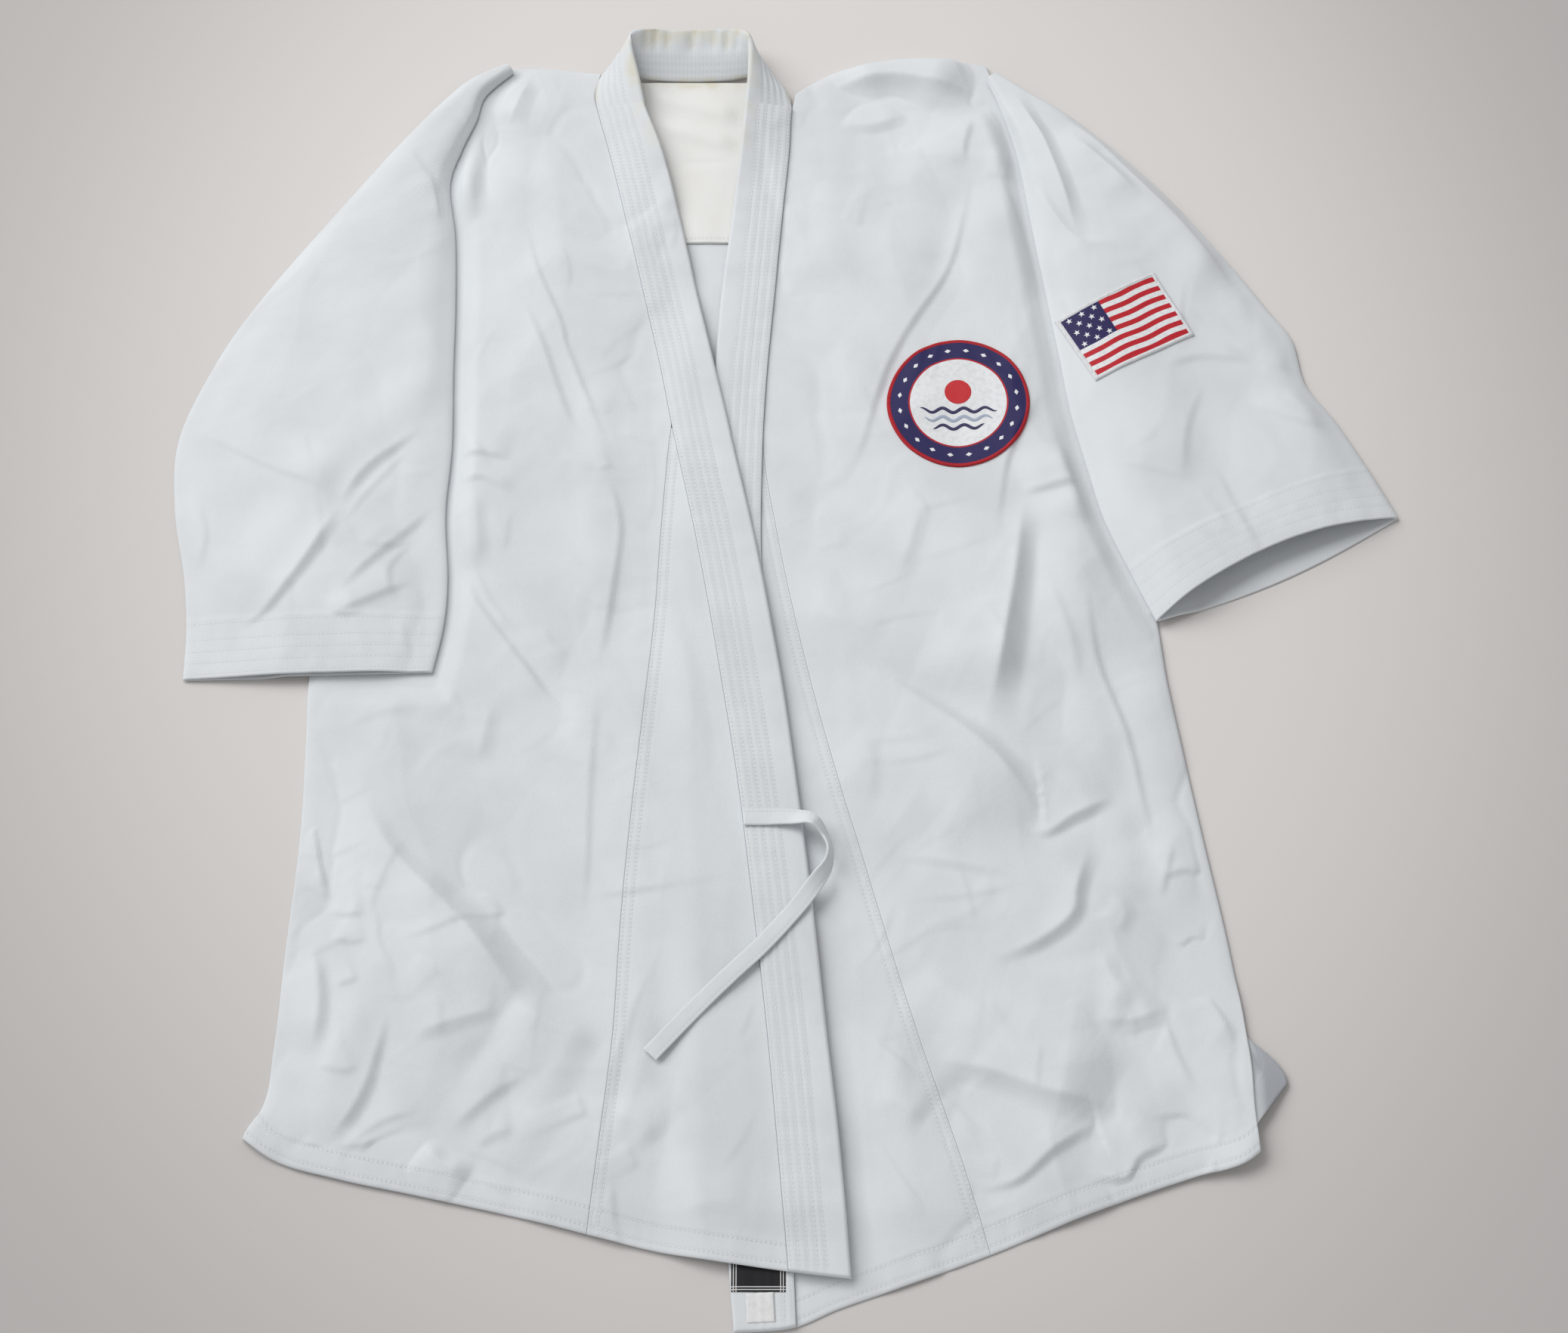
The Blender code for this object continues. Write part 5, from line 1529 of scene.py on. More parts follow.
def stitch_piece(name: str, rows: Sequence[StitchRow], surface: Surface,
        material: bpy.types.Material, seed: int) -> bpy.types.Object:
    """Sew rows of stitches onto a surface, all in one mesh.

    Args:
        name: The piece's name.
        rows: The rows of stitches.
        surface: What they are sewn to.
        material: The thread's finish.
        seed: Seed of their unevenness.

    Returns:
        The mesh object.
    """
    rng = np.random.default_rng(seed)
    turns = np.linspace(0.0, math.tau, STITCH_SIDES, endpoint=False)
    ring = np.stack([np.cos(turns), np.sin(turns)], axis=1)
    template = np.array([
        (x, 0.5 * size * side, 0.5 * size * rise)
        for x, size in STITCH_RINGS for side, rise in ring
    ])
    quads = []
    for k in range(len(STITCH_RINGS) - 1):
        for i in range(STITCH_SIDES):
            j = (i + 1) % STITCH_SIDES
            quads.append((k * STITCH_SIDES + i, k * STITCH_SIDES + j,
                (k + 1) * STITCH_SIDES + j, (k + 1) * STITCH_SIDES + i))
    last = STITCH_SIDES * (len(STITCH_RINGS) - 1)
    caps = [tuple(reversed(range(STITCH_SIDES))), tuple(range(last, last + STITCH_SIDES))]
    points, faces = [], []
    for row in rows:
        thread = row.thread
        for (x, y), (along_x, along_y) in zip(*row.spots()):
            found = surface.hit(float(x), float(y))
            if not found:
                continue
            height, normal = found
            along = Vector((along_x, along_y, 0.0))
            along = (along - normal * along.dot(normal)).normalized()
            turn = Vector((rng.normal(0.0, 0.06), rng.normal(0.0, 0.06), 0.0))
            along = (along + turn).normalized()
            across = normal.cross(along)
            frame = np.array([
                np.array(along) * thread.length * (1.0 + rng.normal(0.0, 0.05)),
                np.array(across) * thread.width,
                np.array(normal) * thread.height,
            ])
            middle = np.array((x, y, height + 0.18 * thread.height))
            start = len(points) * len(template)
            points.append(middle + template @ frame)
            faces += [tuple(start + k for k in face) for face in quads + caps]
    mesh = bpy.data.meshes.new(name)
    mesh.from_pydata(to_model(np.concatenate(points)).tolist(), [], faces)
    mesh.shade_smooth()
    return add_object(name, mesh, material)


def line_along(x_at: Callable[[Array], Array], low: float, high: float) -> Array:
    """A path of places along the jacket's length, from a low to a high Y."""
    y = np.arange(low, high, 1.0)
    return np.stack([x_at(y) + 0.0 * y, y], axis=1)


def line_across(y_at: Callable[[Array], Array], left: float, right: float) -> Array:
    """A path of places across the jacket, from one X to another."""
    x = np.arange(left, right, 1.0)
    return np.stack([x, y_at(x) + 0.0 * x], axis=1)


@dataclass(frozen=True)
class EdgeRounding:
    """How a panel's edges are rounded: radii in millimetres, and shares of the wall left."""

    inner: float
    outer: float
    low: float
    outer_share: float
    inner_share: float = 0.72
    low_share: float = 0.15

    def share(self, grid: PanelGrid) -> Array:
        """Share of the wall that is left at each of a panel's places.

        Args:
            grid: The panel's places.

        Returns:
            Shares of 0 to 1.
        """
        share = rounding(grid.from_inner, self.inner, self.inner_share)
        share = share * rounding(grid.from_outer, self.outer, self.outer_share)
        return share * rounding(grid.from_low, self.low, self.low_share)


@dataclass
class Body:
    """The jacket's body: back, yoke, both fronts, their gores and lapel bands."""

    finishes: Finishes
    spacing: float = 1.75
    band_spacing: float = 1.5
    hem_fold: float = 0.35         # extra height of the doubled hem
    hem_pucker: float = 0.22
    seam_pucker: float = 0.16
    groove_depth: float = 0.2
    kept_wall: float = 0.15        # share of the wall that stays at a rounded edge
    quilt_puff: float = 0.35       # height of a band's padding between two stitch rows
    quilt_outer: float = 0.3       # its height past the last row
    quilt_ripple: float = 0.28
    quilt_base: float = 0.2
    pieces: list[Piece] = field(default_factory=list)

    def __post_init__(self) -> None:
        """Draw the relief of both fronts."""
        self.right = RightFrontShape(Relief(RIGHT_FOLDS, RIGHT_CREASES, 11))
        self.left = LeftFrontShape(Relief(LEFT_FOLDS, LEFT_CREASES, 23))
        self.noise = ClothNoise(5)

    def keep(self, sheet: Sheet, material: bpy.types.Material, slot: Slots, *rests_on: str) -> None:
        """Make a sheet's piece and note it."""
        self.pieces.append(Piece(sheet.make(material), slot, sheet.name, sheet.cut(), rests_on))

    def panel(self, name: str, grid: PanelGrid, height: Height, thickness: float,
            hem_rows: Sequence[float], seam_rows: Sequence[float], extra: Array,
            edge: EdgeRounding) -> Sheet:
        """Lay a panel out with its hem, its stitch grooves and its rounded edges.

        Args:
            name: The panel's name.
            grid: Its places.
            height: Its underside.
            thickness: Its wall.
            hem_rows: Distances of stitch rows from the low end.
            seam_rows: Distances of stitch rows from the inner edge.
            extra: Further height of its top.
            edge: How its edges are rounded.

        Returns:
            The sheet.
        """
        under = height(grid.x, grid.y)
        wall = thickness * upright(height, grid.x, grid.y)
        hem = grooves(grid.from_low, hem_rows)
        seam = grooves(grid.from_inner, seam_rows) * smooth((grid.from_low - 2.0) / 4.0)
        run = np.where(hem > seam, grid.x, grid.y)
        groove = np.maximum(hem, seam)
        near_rows = smooth((22.0 - grid.from_low) / 6.0) if len(hem_rows) else 0.0
        near_seam = smooth((14.0 - grid.from_inner) / 8.0)
        pucker = self.hem_pucker * near_rows * self.noise.at(grid.x, grid.y * 0.3, 9.0)
        pucker = pucker + self.seam_pucker * near_seam * self.noise.at(grid.x * 0.3, grid.y, 10.0)
        fold = self.hem_fold * near_rows
        share = edge.share(grid)
        wall = wall + fold + np.maximum(-0.3 * thickness, pucker - self.groove_depth * groove)
        wall = wall + extra
        top = under + wall * (self.kept_wall + (1.0 - self.kept_wall) * share)
        bottom = under + self.kept_wall * wall * (1.0 - share)
        return grid.sheet(name, top, bottom, groove=groove, run=run * MM)

    def front(self, name: str, inner: Callable[[Array], Array], side_x: SmoothCurve,
            hem_y: SmoothCurve, shoulder_y: SmoothCurve, height: Height) -> None:
        """Build a front panel from the band and gore seams to the side.

        Args:
            name: The panel's name.
            inner: X of its inner edge.
            side_x: X of its side edge.
            hem_y: Y of its hem.
            shoulder_y: Y of its shoulder.
            height: Its underside.
        """
        grid = PanelGrid(inner, side_x, hem_y, shoulder_y,
            Lines(EDGE_LINES, FRONT_SIDE_LINES, self.spacing, 205.0),
            Lines(HEM_LINES, FRONT_SIDE_LINES, self.spacing, 840.0))
        sheet = self.panel(name, grid, height, CLOTH, HEM_ROWS, (), np.zeros(grid.x.shape),
            EdgeRounding(0.4, 0.6, 2.4, 0.45))
        self.keep(sheet, self.finishes.white, Slots.WHITE, "back")

    def gore(self, name: str, gore_x: SmoothCurve, seam_x: SmoothCurve, hem_y: SmoothCurve,
            knee: float, side: int, height: Height) -> None:
        """Build a long three-cornered skirt panel beside the lapel band.

        Args:
            name: The panel's name.
            gore_x: X of the seam with the front.
            seam_x: X of the seam with the band.
            hem_y: Y of its hem.
            knee: Y of its upper point.
            side: 1 on the right front, -1 on the left one.
            height: Its underside.
        """
        grid = PanelGrid(lambda y: gore_x(y) + side * SEAM_GAP / 2,
            lambda y: seam_x(y) - side * SEAM_GAP / 2, hem_y, lambda x: knee - 4.0 + 0.0 * x,
            Lines(GORE_LINES, EDGE_LINES, self.spacing, 118.0),
            Lines(HEM_LINES, (0.0, 2.0), self.spacing, 590.0))
        sheet = self.panel(name, grid, height, CLOTH, HEM_ROWS, GORE_ROWS,
            np.zeros(grid.x.shape), EdgeRounding(0.4, 0.4, 2.4, 0.72))
        self.keep(sheet, self.finishes.white, Slots.WHITE, "back")

    def band(self, name: str, seam_x: SmoothCurve, edge_x: SmoothCurve, hem_y: SmoothCurve,
            side: int, height: Height) -> None:
        """Build a lapel band from the hem up to the side of the neck.

        Args:
            name: The band's name.
            seam_x: X of its seam.
            edge_x: X of its free edge.
            hem_y: Y of its lower end.
            side: 1 on the right front, -1 on the left one.
            height: Its underside.
        """
        grid = PanelGrid(lambda y: seam_x(y) + side * SEAM_GAP / 2, edge_x, hem_y,
            lambda x: LAPEL_TOP_Y + 0.0 * x,
            Lines(BAND_SEAM_LINES, BAND_EDGE_LINES, self.band_spacing, BAND_WIDTH),
            Lines((0.0, 0.4, 1.2, 2.2, 3.4), (0.0, 2.4), 2.4, 870.0))
        quilt = self.quilt(grid.from_inner, grid.y)
        sheet = self.panel(name, grid, height, BAND_THICK, (), BAND_ROWS, quilt,
            EdgeRounding(1.0, 2.0, 1.6, 0.15))
        sheet.uv = np.stack([grid.from_inner, grid.y], -1)
        soiled = smooth((grid.y - 340.0) / 80.0) * smooth((grid.from_inner - 20.0) / 18.0)
        sheet.attributes["stain"] = 0.5 * soiled
        self.keep(sheet, self.finishes.band, Slots.BAND, "back" if side < 0 else "left_band")

    def quilt(self, across: Array, along: Array) -> Array:
        """Height of a band's padding between its stitch rows.

        Args:
            across: Distances from the seam.
            along: Places along the band.

        Returns:
            The height over the band's plain wall.
        """
        puffed = np.zeros(across.shape)
        for low, high in zip(BAND_ROWS[:-1], BAND_ROWS[1:]):
            share = np.clip((across - low) / (high - low), 0.0, 1.0)
            puffed += self.quilt_puff * np.sin(math.pi * share)
        outer = np.clip((across - BAND_ROWS[-1]) / (BAND_WIDTH - BAND_ROWS[-1]), 0.0, 1.0)
        puffed += self.quilt_outer * np.sin(math.pi * outer)
        uneven = 0.7 + 0.5 * self.noise.at(across * 0.7, along, 16.0)
        ripples = self.quilt_ripple * self.noise.at(across * 0.35, along + 90.0, 11.0)
        return puffed * uneven + ripples + self.quilt_base

    def build_fronts(self) -> None:
        """Build both fronts with their gores and bands."""
        self.front("left_front", lambda y: np.where(
            y >= LEFT_KNEE, left_seam_x(y), left_gore_x(y)) + SEAM_GAP / 2,
            left_side_x, left_hem_y, left_shoulder_y, self.left)
        self.gore("left_gore", left_gore_x, left_seam_x, left_hem_y, LEFT_KNEE, -1, self.left)
        self.band("left_band", left_seam_x, left_edge_x, left_hem_y, -1, self.left)
        self.front("right_front", lambda y: np.where(
            y >= RIGHT_KNEE, right_seam_x(y), right_gore_x(y)) - SEAM_GAP / 2,
            right_side_x, right_hem_y, right_shoulder_y, self.right)
        self.gore("right_gore", right_gore_x, right_seam_x, right_hem_y, RIGHT_KNEE, 1, self.right)
        self.band("right_band", right_seam_x, right_edge_x, right_hem_y, 1, self.right)

    def build_back(self) -> None:
        """Build the back, flat on the floor, with its lower left corner past the front."""
        def right_x(y: Array) -> Array:
            """Edge at the wearer's right side."""
            return right_side_x(y) + BACK_INSET + 9.0 * smooth((-300.0 - y) / 35.0)

        def left_x(y: Array) -> Array:
            """Edge at the wearer's left side."""
            return left_side_x(y) - BACK_INSET + 27.0 * smooth((-288.0 - y) / 40.0)

        def top_y(x: Array) -> Array:
            """Edge at the shoulders and the back neck.

            Args:
                x: Places in millimetres.

            Returns:
                The edge's Y at each.
            """
            neck = NECK_SEAM_Y - 20.0 * smooth((x + 12.0) / 18.0)
            left = left_shoulder_y(x) - BACK_INSET - 5.0 * smooth((45.0 - x) / 30.0)
            right = right_shoulder_y(x) - BACK_INSET
            inner = np.where(x > NECK_POINT_X[1] + 1.0, left, neck)
            return np.where(x < NECK_POINT_X[0], right, inner)

        grid = PanelGrid(right_x, left_x, back_hem_y, top_y,
            Lines(EDGE_LINES, BACK_SIDE_LINES, 5.2, 600.0),
            Lines(BACK_HEM_LINES, (0.0, 0.3, 0.9, 3.0), 5.2, 810.0))
        step = smooth((grid.from_low - 24.4) / 1.4)
        shown = smooth((grid.x - right_edge_x(grid.y) - 4.0) / 14.0)
        shown = shown * smooth((left_edge_x(grid.y) - grid.x - 4.0) / 14.0)
        wavy = 0.35 * shown * (1.0 + self.noise.at(grid.x, grid.y, 26.0))
        rounded = rounding(grid.from_low, 0.8, 0.4) * rounding(grid.from_outer, 0.8, 0.4)
        top = 1.1 * rounded + 0.4 * (1.0 - step) * rounded + wavy
        row = grooves(grid.from_low, (22.0,), 1.0)
        lift = corner_lift(grid.x, grid.y)
        # painted shadow: the back's part past the left front's side is darkened to a grey
        sheet = grid.sheet("back", top + lift, lift, groove=row, run=grid.x * MM,
            dusk=smooth((grid.x - left_side_x(grid.y) - 0.5) / 3.0))
        self.keep(sheet, self.finishes.white, Slots.WHITE)

    def build_yoke(self) -> None:
        """Build the reinforcement inside the back neck, a little wavy where it shows."""
        def top_y(x: Array) -> Array:
            """Edge under the neck band."""
            right = 428.0 + (NECK_SEAM_Y - 428.0) * smooth((x + 150.0) / 24.0)
            return right - 33.0 * smooth((x + 14.0) / 32.0)

        grid = PanelGrid(lambda y: YOKE_X[0] + 0.0 * y, lambda y: YOKE_X[1] + 0.0 * y,
            lambda x: YOKE_LOW_Y + 0.0 * x, top_y,
            Lines(EDGE_LINES, EDGE_LINES, 2.2, 168.0),
            Lines((0.0, 0.4, 1.2, 2.2, 3.2, 4.4, 5.4, 6.4, 8.0), (0.0, 1.0, 3.0), 2.0, 135.0))
        low = CLOTH + STITCH_GAP
        shown = smooth((grid.x - right_edge_x(grid.y) - 2.0) / 16.0)
        shown = shown * smooth((left_edge_x(grid.y) - grid.x - 2.0) / 16.0)
        lean = grid.y + 0.28 * (grid.x + 70.0)
        waves = 2.6 * np.exp(-((lean - 417.0) / 8.0) ** 2)
        waves += 2.3 * np.exp(-((lean - 392.0) / 7.0) ** 2)
        waves += 0.45 * (1.0 + self.noise.at(grid.x * 0.6, grid.y, 30.0))
        waves -= 0.5 * np.exp(-((grid.y - 369.0 - 0.04 * grid.x) / 2.2) ** 2)
        rounded = rounding(grid.from_low, 1.0, 0.4)
        row = grooves(grid.from_low, (3.2,), 1.0)
        top = low + CLOTH * rounded + shown * np.maximum(waves, -0.3) - 0.3 * row
        near_neck = np.exp(-((NECK_SEAM_Y - 1.0 - grid.y) / 5.0) ** 2)
        patch = 0.5 + 0.5 * self.noise.at(grid.x, grid.y, 34.0)
        sheet = grid.sheet("back_yoke", top, low + 0.0 * top, groove=row, run=grid.x * MM,
            stain=near_neck * patch)
        self.keep(sheet, self.finishes.cream, Slots.CREAM, "back")

    def find(self, name: str) -> bpy.types.Object:
        """Give a finished piece by its name."""
        return next(piece.thing for piece in self.pieces if piece.node == name)

    def sew(self) -> None:
        """Add the rows of stitches of hems, gores and bands."""
        panels = (
            ("right", right_gore_x, right_seam_x, right_side_x, right_hem_y, RIGHT_KNEE, 1),
            ("left", left_gore_x, left_seam_x, left_side_x, left_hem_y, LEFT_KNEE, -1),
        )
        for side, gore_x, seam_x, side_x, hem_y, knee, turn in panels:
            fronts = Surface(self.find(side + "_front"), self.find(side + "_gore"))
            hem_ends = sorted((float(seam_x(-445.0)) - 2.0 * turn, float(side_x(-380.0)) + 4.0 * turn))
            rows = [StitchRow(line_across(lambda x, d=d: hem_y(x) + d, *hem_ends)) for d in HEM_ROWS]
            for distance in GORE_ROWS:
                path = line_along(lambda y, d=distance: gore_x(y) + turn * (d + 0.17),
                    -430.0, knee - 14.0 - 6.0 * distance)
                rows.append(StitchRow(path))
            thing = stitch_piece(side + "_skirt_stitches", rows, fronts,
                self.finishes.thread, 31 + turn)
            self.pieces.append(Piece(thing, Slots.WHITE))
            band = Surface(self.find(side + "_band"))
            rows = [StitchRow(line_along(lambda y, d=d: seam_x(y) + turn * (d + 0.17),
                float(hem_y(seam_x(-445.0))) + 3.0, LAPEL_TOP_Y)) for d in BAND_ROWS]
            thing = stitch_piece(side + "_band_stitches", rows, band, self.finishes.thread, 41 + turn)
            self.pieces.append(Piece(thing, Slots.BAND))

    def build(self) -> None:
        """Build the body from the floor up."""
        self.build_back()
        self.build_yoke()
        self.build_fronts()
        self.sew()


@dataclass(frozen=True)
class SleeveLayout:
    """Places of a flattened sleeve: one row for each section, one column for each line."""

    outer: Array              # where each section's outer fold is
    across: Array             # direction from the outer fold to the inner one
    along: Array              # direction from shoulder to cuff
    width: Array
    gap: Array                # how far each section stands open
    offsets: Array            # distances from the outer fold
    near_cuff: Array
    from_cuff: Array


@dataclass
class SleeveTube:
    """A flattened sleeve: an outer and an inner skin joined at the cuff and the armhole."""

    name: str
    rows: Sequence[Sleeve]
    relief: Relief
    side_x: SmoothCurve
    side: int
    cuff_setback: float
    finishes: Finishes
    fold_inset: float = 2.6        # how far the inner skin's folds are inside the outer ones
    outer_turn: float = 5.0        # radius of the outer skin's folds
    inner_turn: float = 3.6
    steep_fall: float = 22.0       # how far beside the body the cloth reaches the floor
    gentle_fall: float = 60.0
    hem_zone: float = 46.0         # length of the cuff's doubled hem
    hem_fold: float = 0.4
    hem_pucker: float = 0.25
    spacing: float = 2.0
    cuff_rows: tuple[float, ...] = (3.0, 11.0, 19.5, 28.0, 40.0)

    def floor(self, x: Array, y: Array, slope: float) -> Array:
        """Underside: over the body's edge, then down to the floor."""
        beyond = self.side * (x - self.side_x(y))
        return (2.0 * CLOTH + 2.0 * LAY_GAP - 0.3) * (1.0 - smooth((beyond - 12.0) / slope))

    def sections(self) -> tuple[Array, Array]:
        """Read the table finely.

        Returns:
            The sections from shoulder to cuff, and each one's place in the table.
        """
        fine = np.linspace(0.0, len(self.rows) - 1.0, 400)
        values = smooth_rows(self.rows, fine)
        middle = 0.5 * (values[:, 0:2] + values[:, 2:4])
        run = length_along(middle)
        cuff = run[-1] - np.array([0.0, 0.3, 0.9, 1.8, *np.arange(2.6, self.hem_zone, 1.25)])
        count = int((run[-1] - self.hem_zone) / self.spacing)
        last = run[-1] - (self.hem_zone + 0.6)
        wanted = np.concatenate([np.linspace(0.0, last, count), cuff[::-1]])
        places = np.interp(wanted, run, fine)
        return smooth_rows(self.rows, places), places

    def layout(self) -> SleeveLayout:
        """Lay out the sleeve's places from its sections.

        Returns:
            The places.
        """
        values, places = self.sections()
        outer, inner, gap = values[:, 0:2], values[:, 2:4], values[:, 4:5]
        width = np.linalg.norm(inner - outer, axis=1)
        across = (inner - outer) / width[:, None]
        along = np.stack([across[:, 1], -across[:, 0]], axis=1) * self.side
        offsets = Lines(FOLD_LINES, FOLD_LINES, self.spacing, 185.0).offsets(width)
        share = offsets / width[:, None]
        near_cuff = smooth(1.0 - (len(self.rows) - 1.0 - places) / 2.0)[:, None]
        step = [np.linalg.norm(np.diff(edge, axis=0), axis=1) for edge in (outer, inner)]
        reach = [np.concatenate([np.cumsum(part[::-1])[::-1], [0.0]]) for part in step]
        from_cuff = reach[0][:, None] * (1.0 - share) + reach[1][:, None] * share
        return SleeveLayout(outer, across, along, width[:, None], gap, offsets, near_cuff, from_cuff)

    def half(self, plan: SleeveLayout, groove: Array, inner: bool, upper: bool) -> Array:
        """Shape one half of one skin, from the outer fold to the inner one.

        Args:
            plan: The sleeve's places.
            groove: How near each place is to a stitch row.
            inner: Whether it is the inner skin.
            upper: Whether it is the half that lies on top.

        Returns:
            Its grid of points.
        """
        inset = self.fold_inset if inner else 0.0
        held = inset + plan.offsets * (plan.width - 2.0 * inset) / plan.width
        part = held / plan.width
        arch = np.sin(math.pi * np.clip(part, 0.0, 1.0))
        spot = plan.outer[:, None, :] + plan.across[:, None, :] * held[..., None]
        shift = self.cuff_setback if upper else -0.6 * self.cuff_setback
        spot = spot + plan.along[:, None, :] * (shift * plan.near_cuff * arch)[..., None]
        x, y = spot[..., 0], spot[..., 1]
        low = self.floor(x, y, self.steep_fall)
        gentle = self.floor(x, y, self.gentle_fall)
        open_gap = plan.gap * (1.0 - np.abs(2.0 * part - 1.0) ** 3) + 0.5
        relief = self.relief(x, y) * smooth(3.0 * arch)
        near_hem = smooth((self.hem_zone - plan.from_cuff) / 4.0)
        pucker = ClothNoise(71 + self.side).at(held * 0.8, plan.from_cuff * 0.3, 9.0)
        relief = relief + near_hem * self.hem_pucker * pucker
        fullness = open_gap + relief + 2.0 * smooth(2.0 * arch)
        high = CLOTH + np.maximum(low + 0.5, gentle + np.maximum(0.5, fullness))
        middle = 0.5 * (low + high + CLOTH)
        edge = np.minimum(held, plan.width - held) - inset
        turn = rounding(edge, self.inner_turn if inner else self.outer_turn, 0.0)
        cuff_round = rounding(plan.from_cuff, 0.9, 0.4)
        wall = CLOTH + self.hem_fold * near_hem - 0.2 * groove
        back_off = 0.5 * CLOTH * (1.0 - cuff_round)
        if upper:
            rise = back_off if inner else 0.5 * CLOTH + (wall - 0.5 * CLOTH) * cuff_round
            skin_height = high + rise
        else:
            skin_height = low + (CLOTH - back_off if inner else back_off)
        return np.stack([x, y, middle + (skin_height - middle) * turn], -1)

    def skins(self) -> tuple[Sheet, Array]:
        """Lay out both skins as rings.

        Returns:
            The sheet whose top is the outer skin and whose bottom is the inner one, and the
            distances of its points from the cuff.
        """
        plan = self.layout()
        groove = 0.4 * grooves(plan.from_cuff, self.cuff_rows)
        back = slice(-2, 0, -2)   # the lower half goes back with every other column
        skins = [
            np.concatenate([self.half(plan, groove, inner, True),
                self.half(plan, groove, inner, False)[:, back]], axis=1)
            for inner in (False, True)
        ]
        from_cuff = np.concatenate([plan.from_cuff, plan.from_cuff[:, back]], axis=1)
        run = np.concatenate([plan.offsets, 2.0 * plan.width - plan.offsets[:, back]], axis=1)
        attributes = {"groove": np.concatenate([groove, groove[:, back]], axis=1), "run": run * MM}
        sheet = Sheet(self.name, *skins, np.stack([run, from_cuff], -1), attributes, ring=True)
        return sheet, plan.from_cuff

    def build(self) -> list[Piece]:
        """Build the sleeve with the stitch rows of its cuff.

        Returns:
            Its pieces, the sleeve first.
        """
        sheet, from_cuff = self.skins()
        sleeve = sheet.make(self.finishes.white)
        count = from_cuff.shape[1]
        upper = sheet.top[:, :count]
        rows = []
        for distance in self.cuff_rows:
            path = []
            for col in range(count):
                order = np.argsort(from_cuff[:, col])
                away = from_cuff[order, col]
                path.append([np.interp(distance, away, upper[order, col, k]) for k in (0, 1)])
            rows.append(StitchRow(np.array(path)[5:-5], Thread(width=0.42, height=0.2)))
        stitches = stitch_piece(self.name + "_stitches", rows, Surface(sleeve),
            self.finishes.thread, 61 + self.side)
        under = self.name.replace("sleeve", "front")
        return [Piece(sleeve, Slots.WHITE, self.name, sheet.cut(), (under,)),
            Piece(stitches, Slots.WHITE)]


@dataclass
class NeckBand:
    """The band round the back of the neck, leaning outwards."""

    finishes: Finishes
    gathers: tuple[tuple[float, float], ...] = (
        (-104.0, 1.1), (-97.0, 1.5), (-88.0, 1.0), (-69.0, 1.5), (-60.0, 0.8), (-53.0, 1.4),
        (-43.0, 1.3), (-35.0, 0.8),
    )

    def build(self) -> list[Piece]:
        """Build the band with its gathers and stitch rows.

        Returns:
            Its pieces, the band first.
        """
        places = np.linspace(0.0, len(NECK) - 1.0, 190)
        rows = smooth_rows(NECK, places)
        seam, free = rows[:, 0:3], rows[:, 3:6]
        whole = seam + free
        along, across = unit(np.gradient(whole, axis=0)), unit(free - seam)
        normal = unit(np.cross(across, along))
        width = np.linalg.norm(free - seam, axis=1)
        offsets = Lines(BAND_SEAM_LINES, BAND_EDGE_LINES, 1.3, BAND_WIDTH).offsets(width)
        middle = seam[:, None, :] + across[:, None, :] * offsets[..., None]
        share = offsets / width[:, None]
        run = length_along(0.5 * whole)[:, None]
        noise = ClothNoise(83)
        scale = width[:, None] / BAND_WIDTH
        groove = grooves(offsets / scale, BAND_ROWS)
        puff = np.zeros(offsets.shape)
        limits = (*BAND_ROWS, BAND_WIDTH)
        for low, high in zip(limits[:-1], limits[1:]):
            part = np.clip((offsets / scale - low) / (high - low), 0.0, 1.0)
            puff += 0.5 * np.sin(math.pi * part)
        uneven = puff * (0.7 + 0.6 * noise.at(offsets, run + 0.0 * offsets, 14.0))
        ends = smooth(np.minimum(places, len(NECK) - 1.0 - places) / 0.8)[:, None]
        pinch = np.zeros(offsets.shape)
        for place_x, depth in self.gathers:
            lean = place_x + 3.0 * (share - 0.8)
            near = np.exp(-((middle[..., 0] - lean) / (1.4 + 2.2 * share)) ** 2)
            back_row = smooth((middle[..., 1] - 446.0) / 12.0)
            pinch += depth * near * smooth((share - 0.45) / 0.3) * back_row
        wall = BAND_THICK * rounding(width[:, None] - offsets, 2.0, 0.1)
        wall = wall * rounding(offsets, 0.8, 0.6)
        outward = uneven * ends - 0.25 * groove + pinch + 0.2
        inward = 0.7 * uneven * ends - 0.4 * groove - 1.9 * pinch
        fade = rounding(width[:, None] - offsets, 3.0, 0.0)
        top = middle + normal[:, None, :] * (0.5 * wall + outward * fade)[..., None]
        bottom = middle - normal[:, None, :] * (0.5 * wall + inward * fade)[..., None]
        rim = smooth((share - 0.62) / 0.3) * (0.45 + 0.35 * noise.at(run + 0.0 * share, offsets, 22.0))
        near_seam = 0.7 * smooth((0.12 - share) / 0.12)
        attributes = {"groove": groove, "run": run * MM + 0.0 * offsets,
            "stain": np.clip(rim + near_seam + 0.35 * pinch, 0.0, 1.0) * (0.25 + 0.75 * ends)}
        sheet = Sheet("neck_band", top, bottom, np.stack([offsets, run + 0.0 * offsets], -1),
            attributes)
        return [Piece(sheet.make(self.finishes.band), Slots.BAND, "neck_band", sheet.cut(),
            ("back",), Held.FOLDED)]


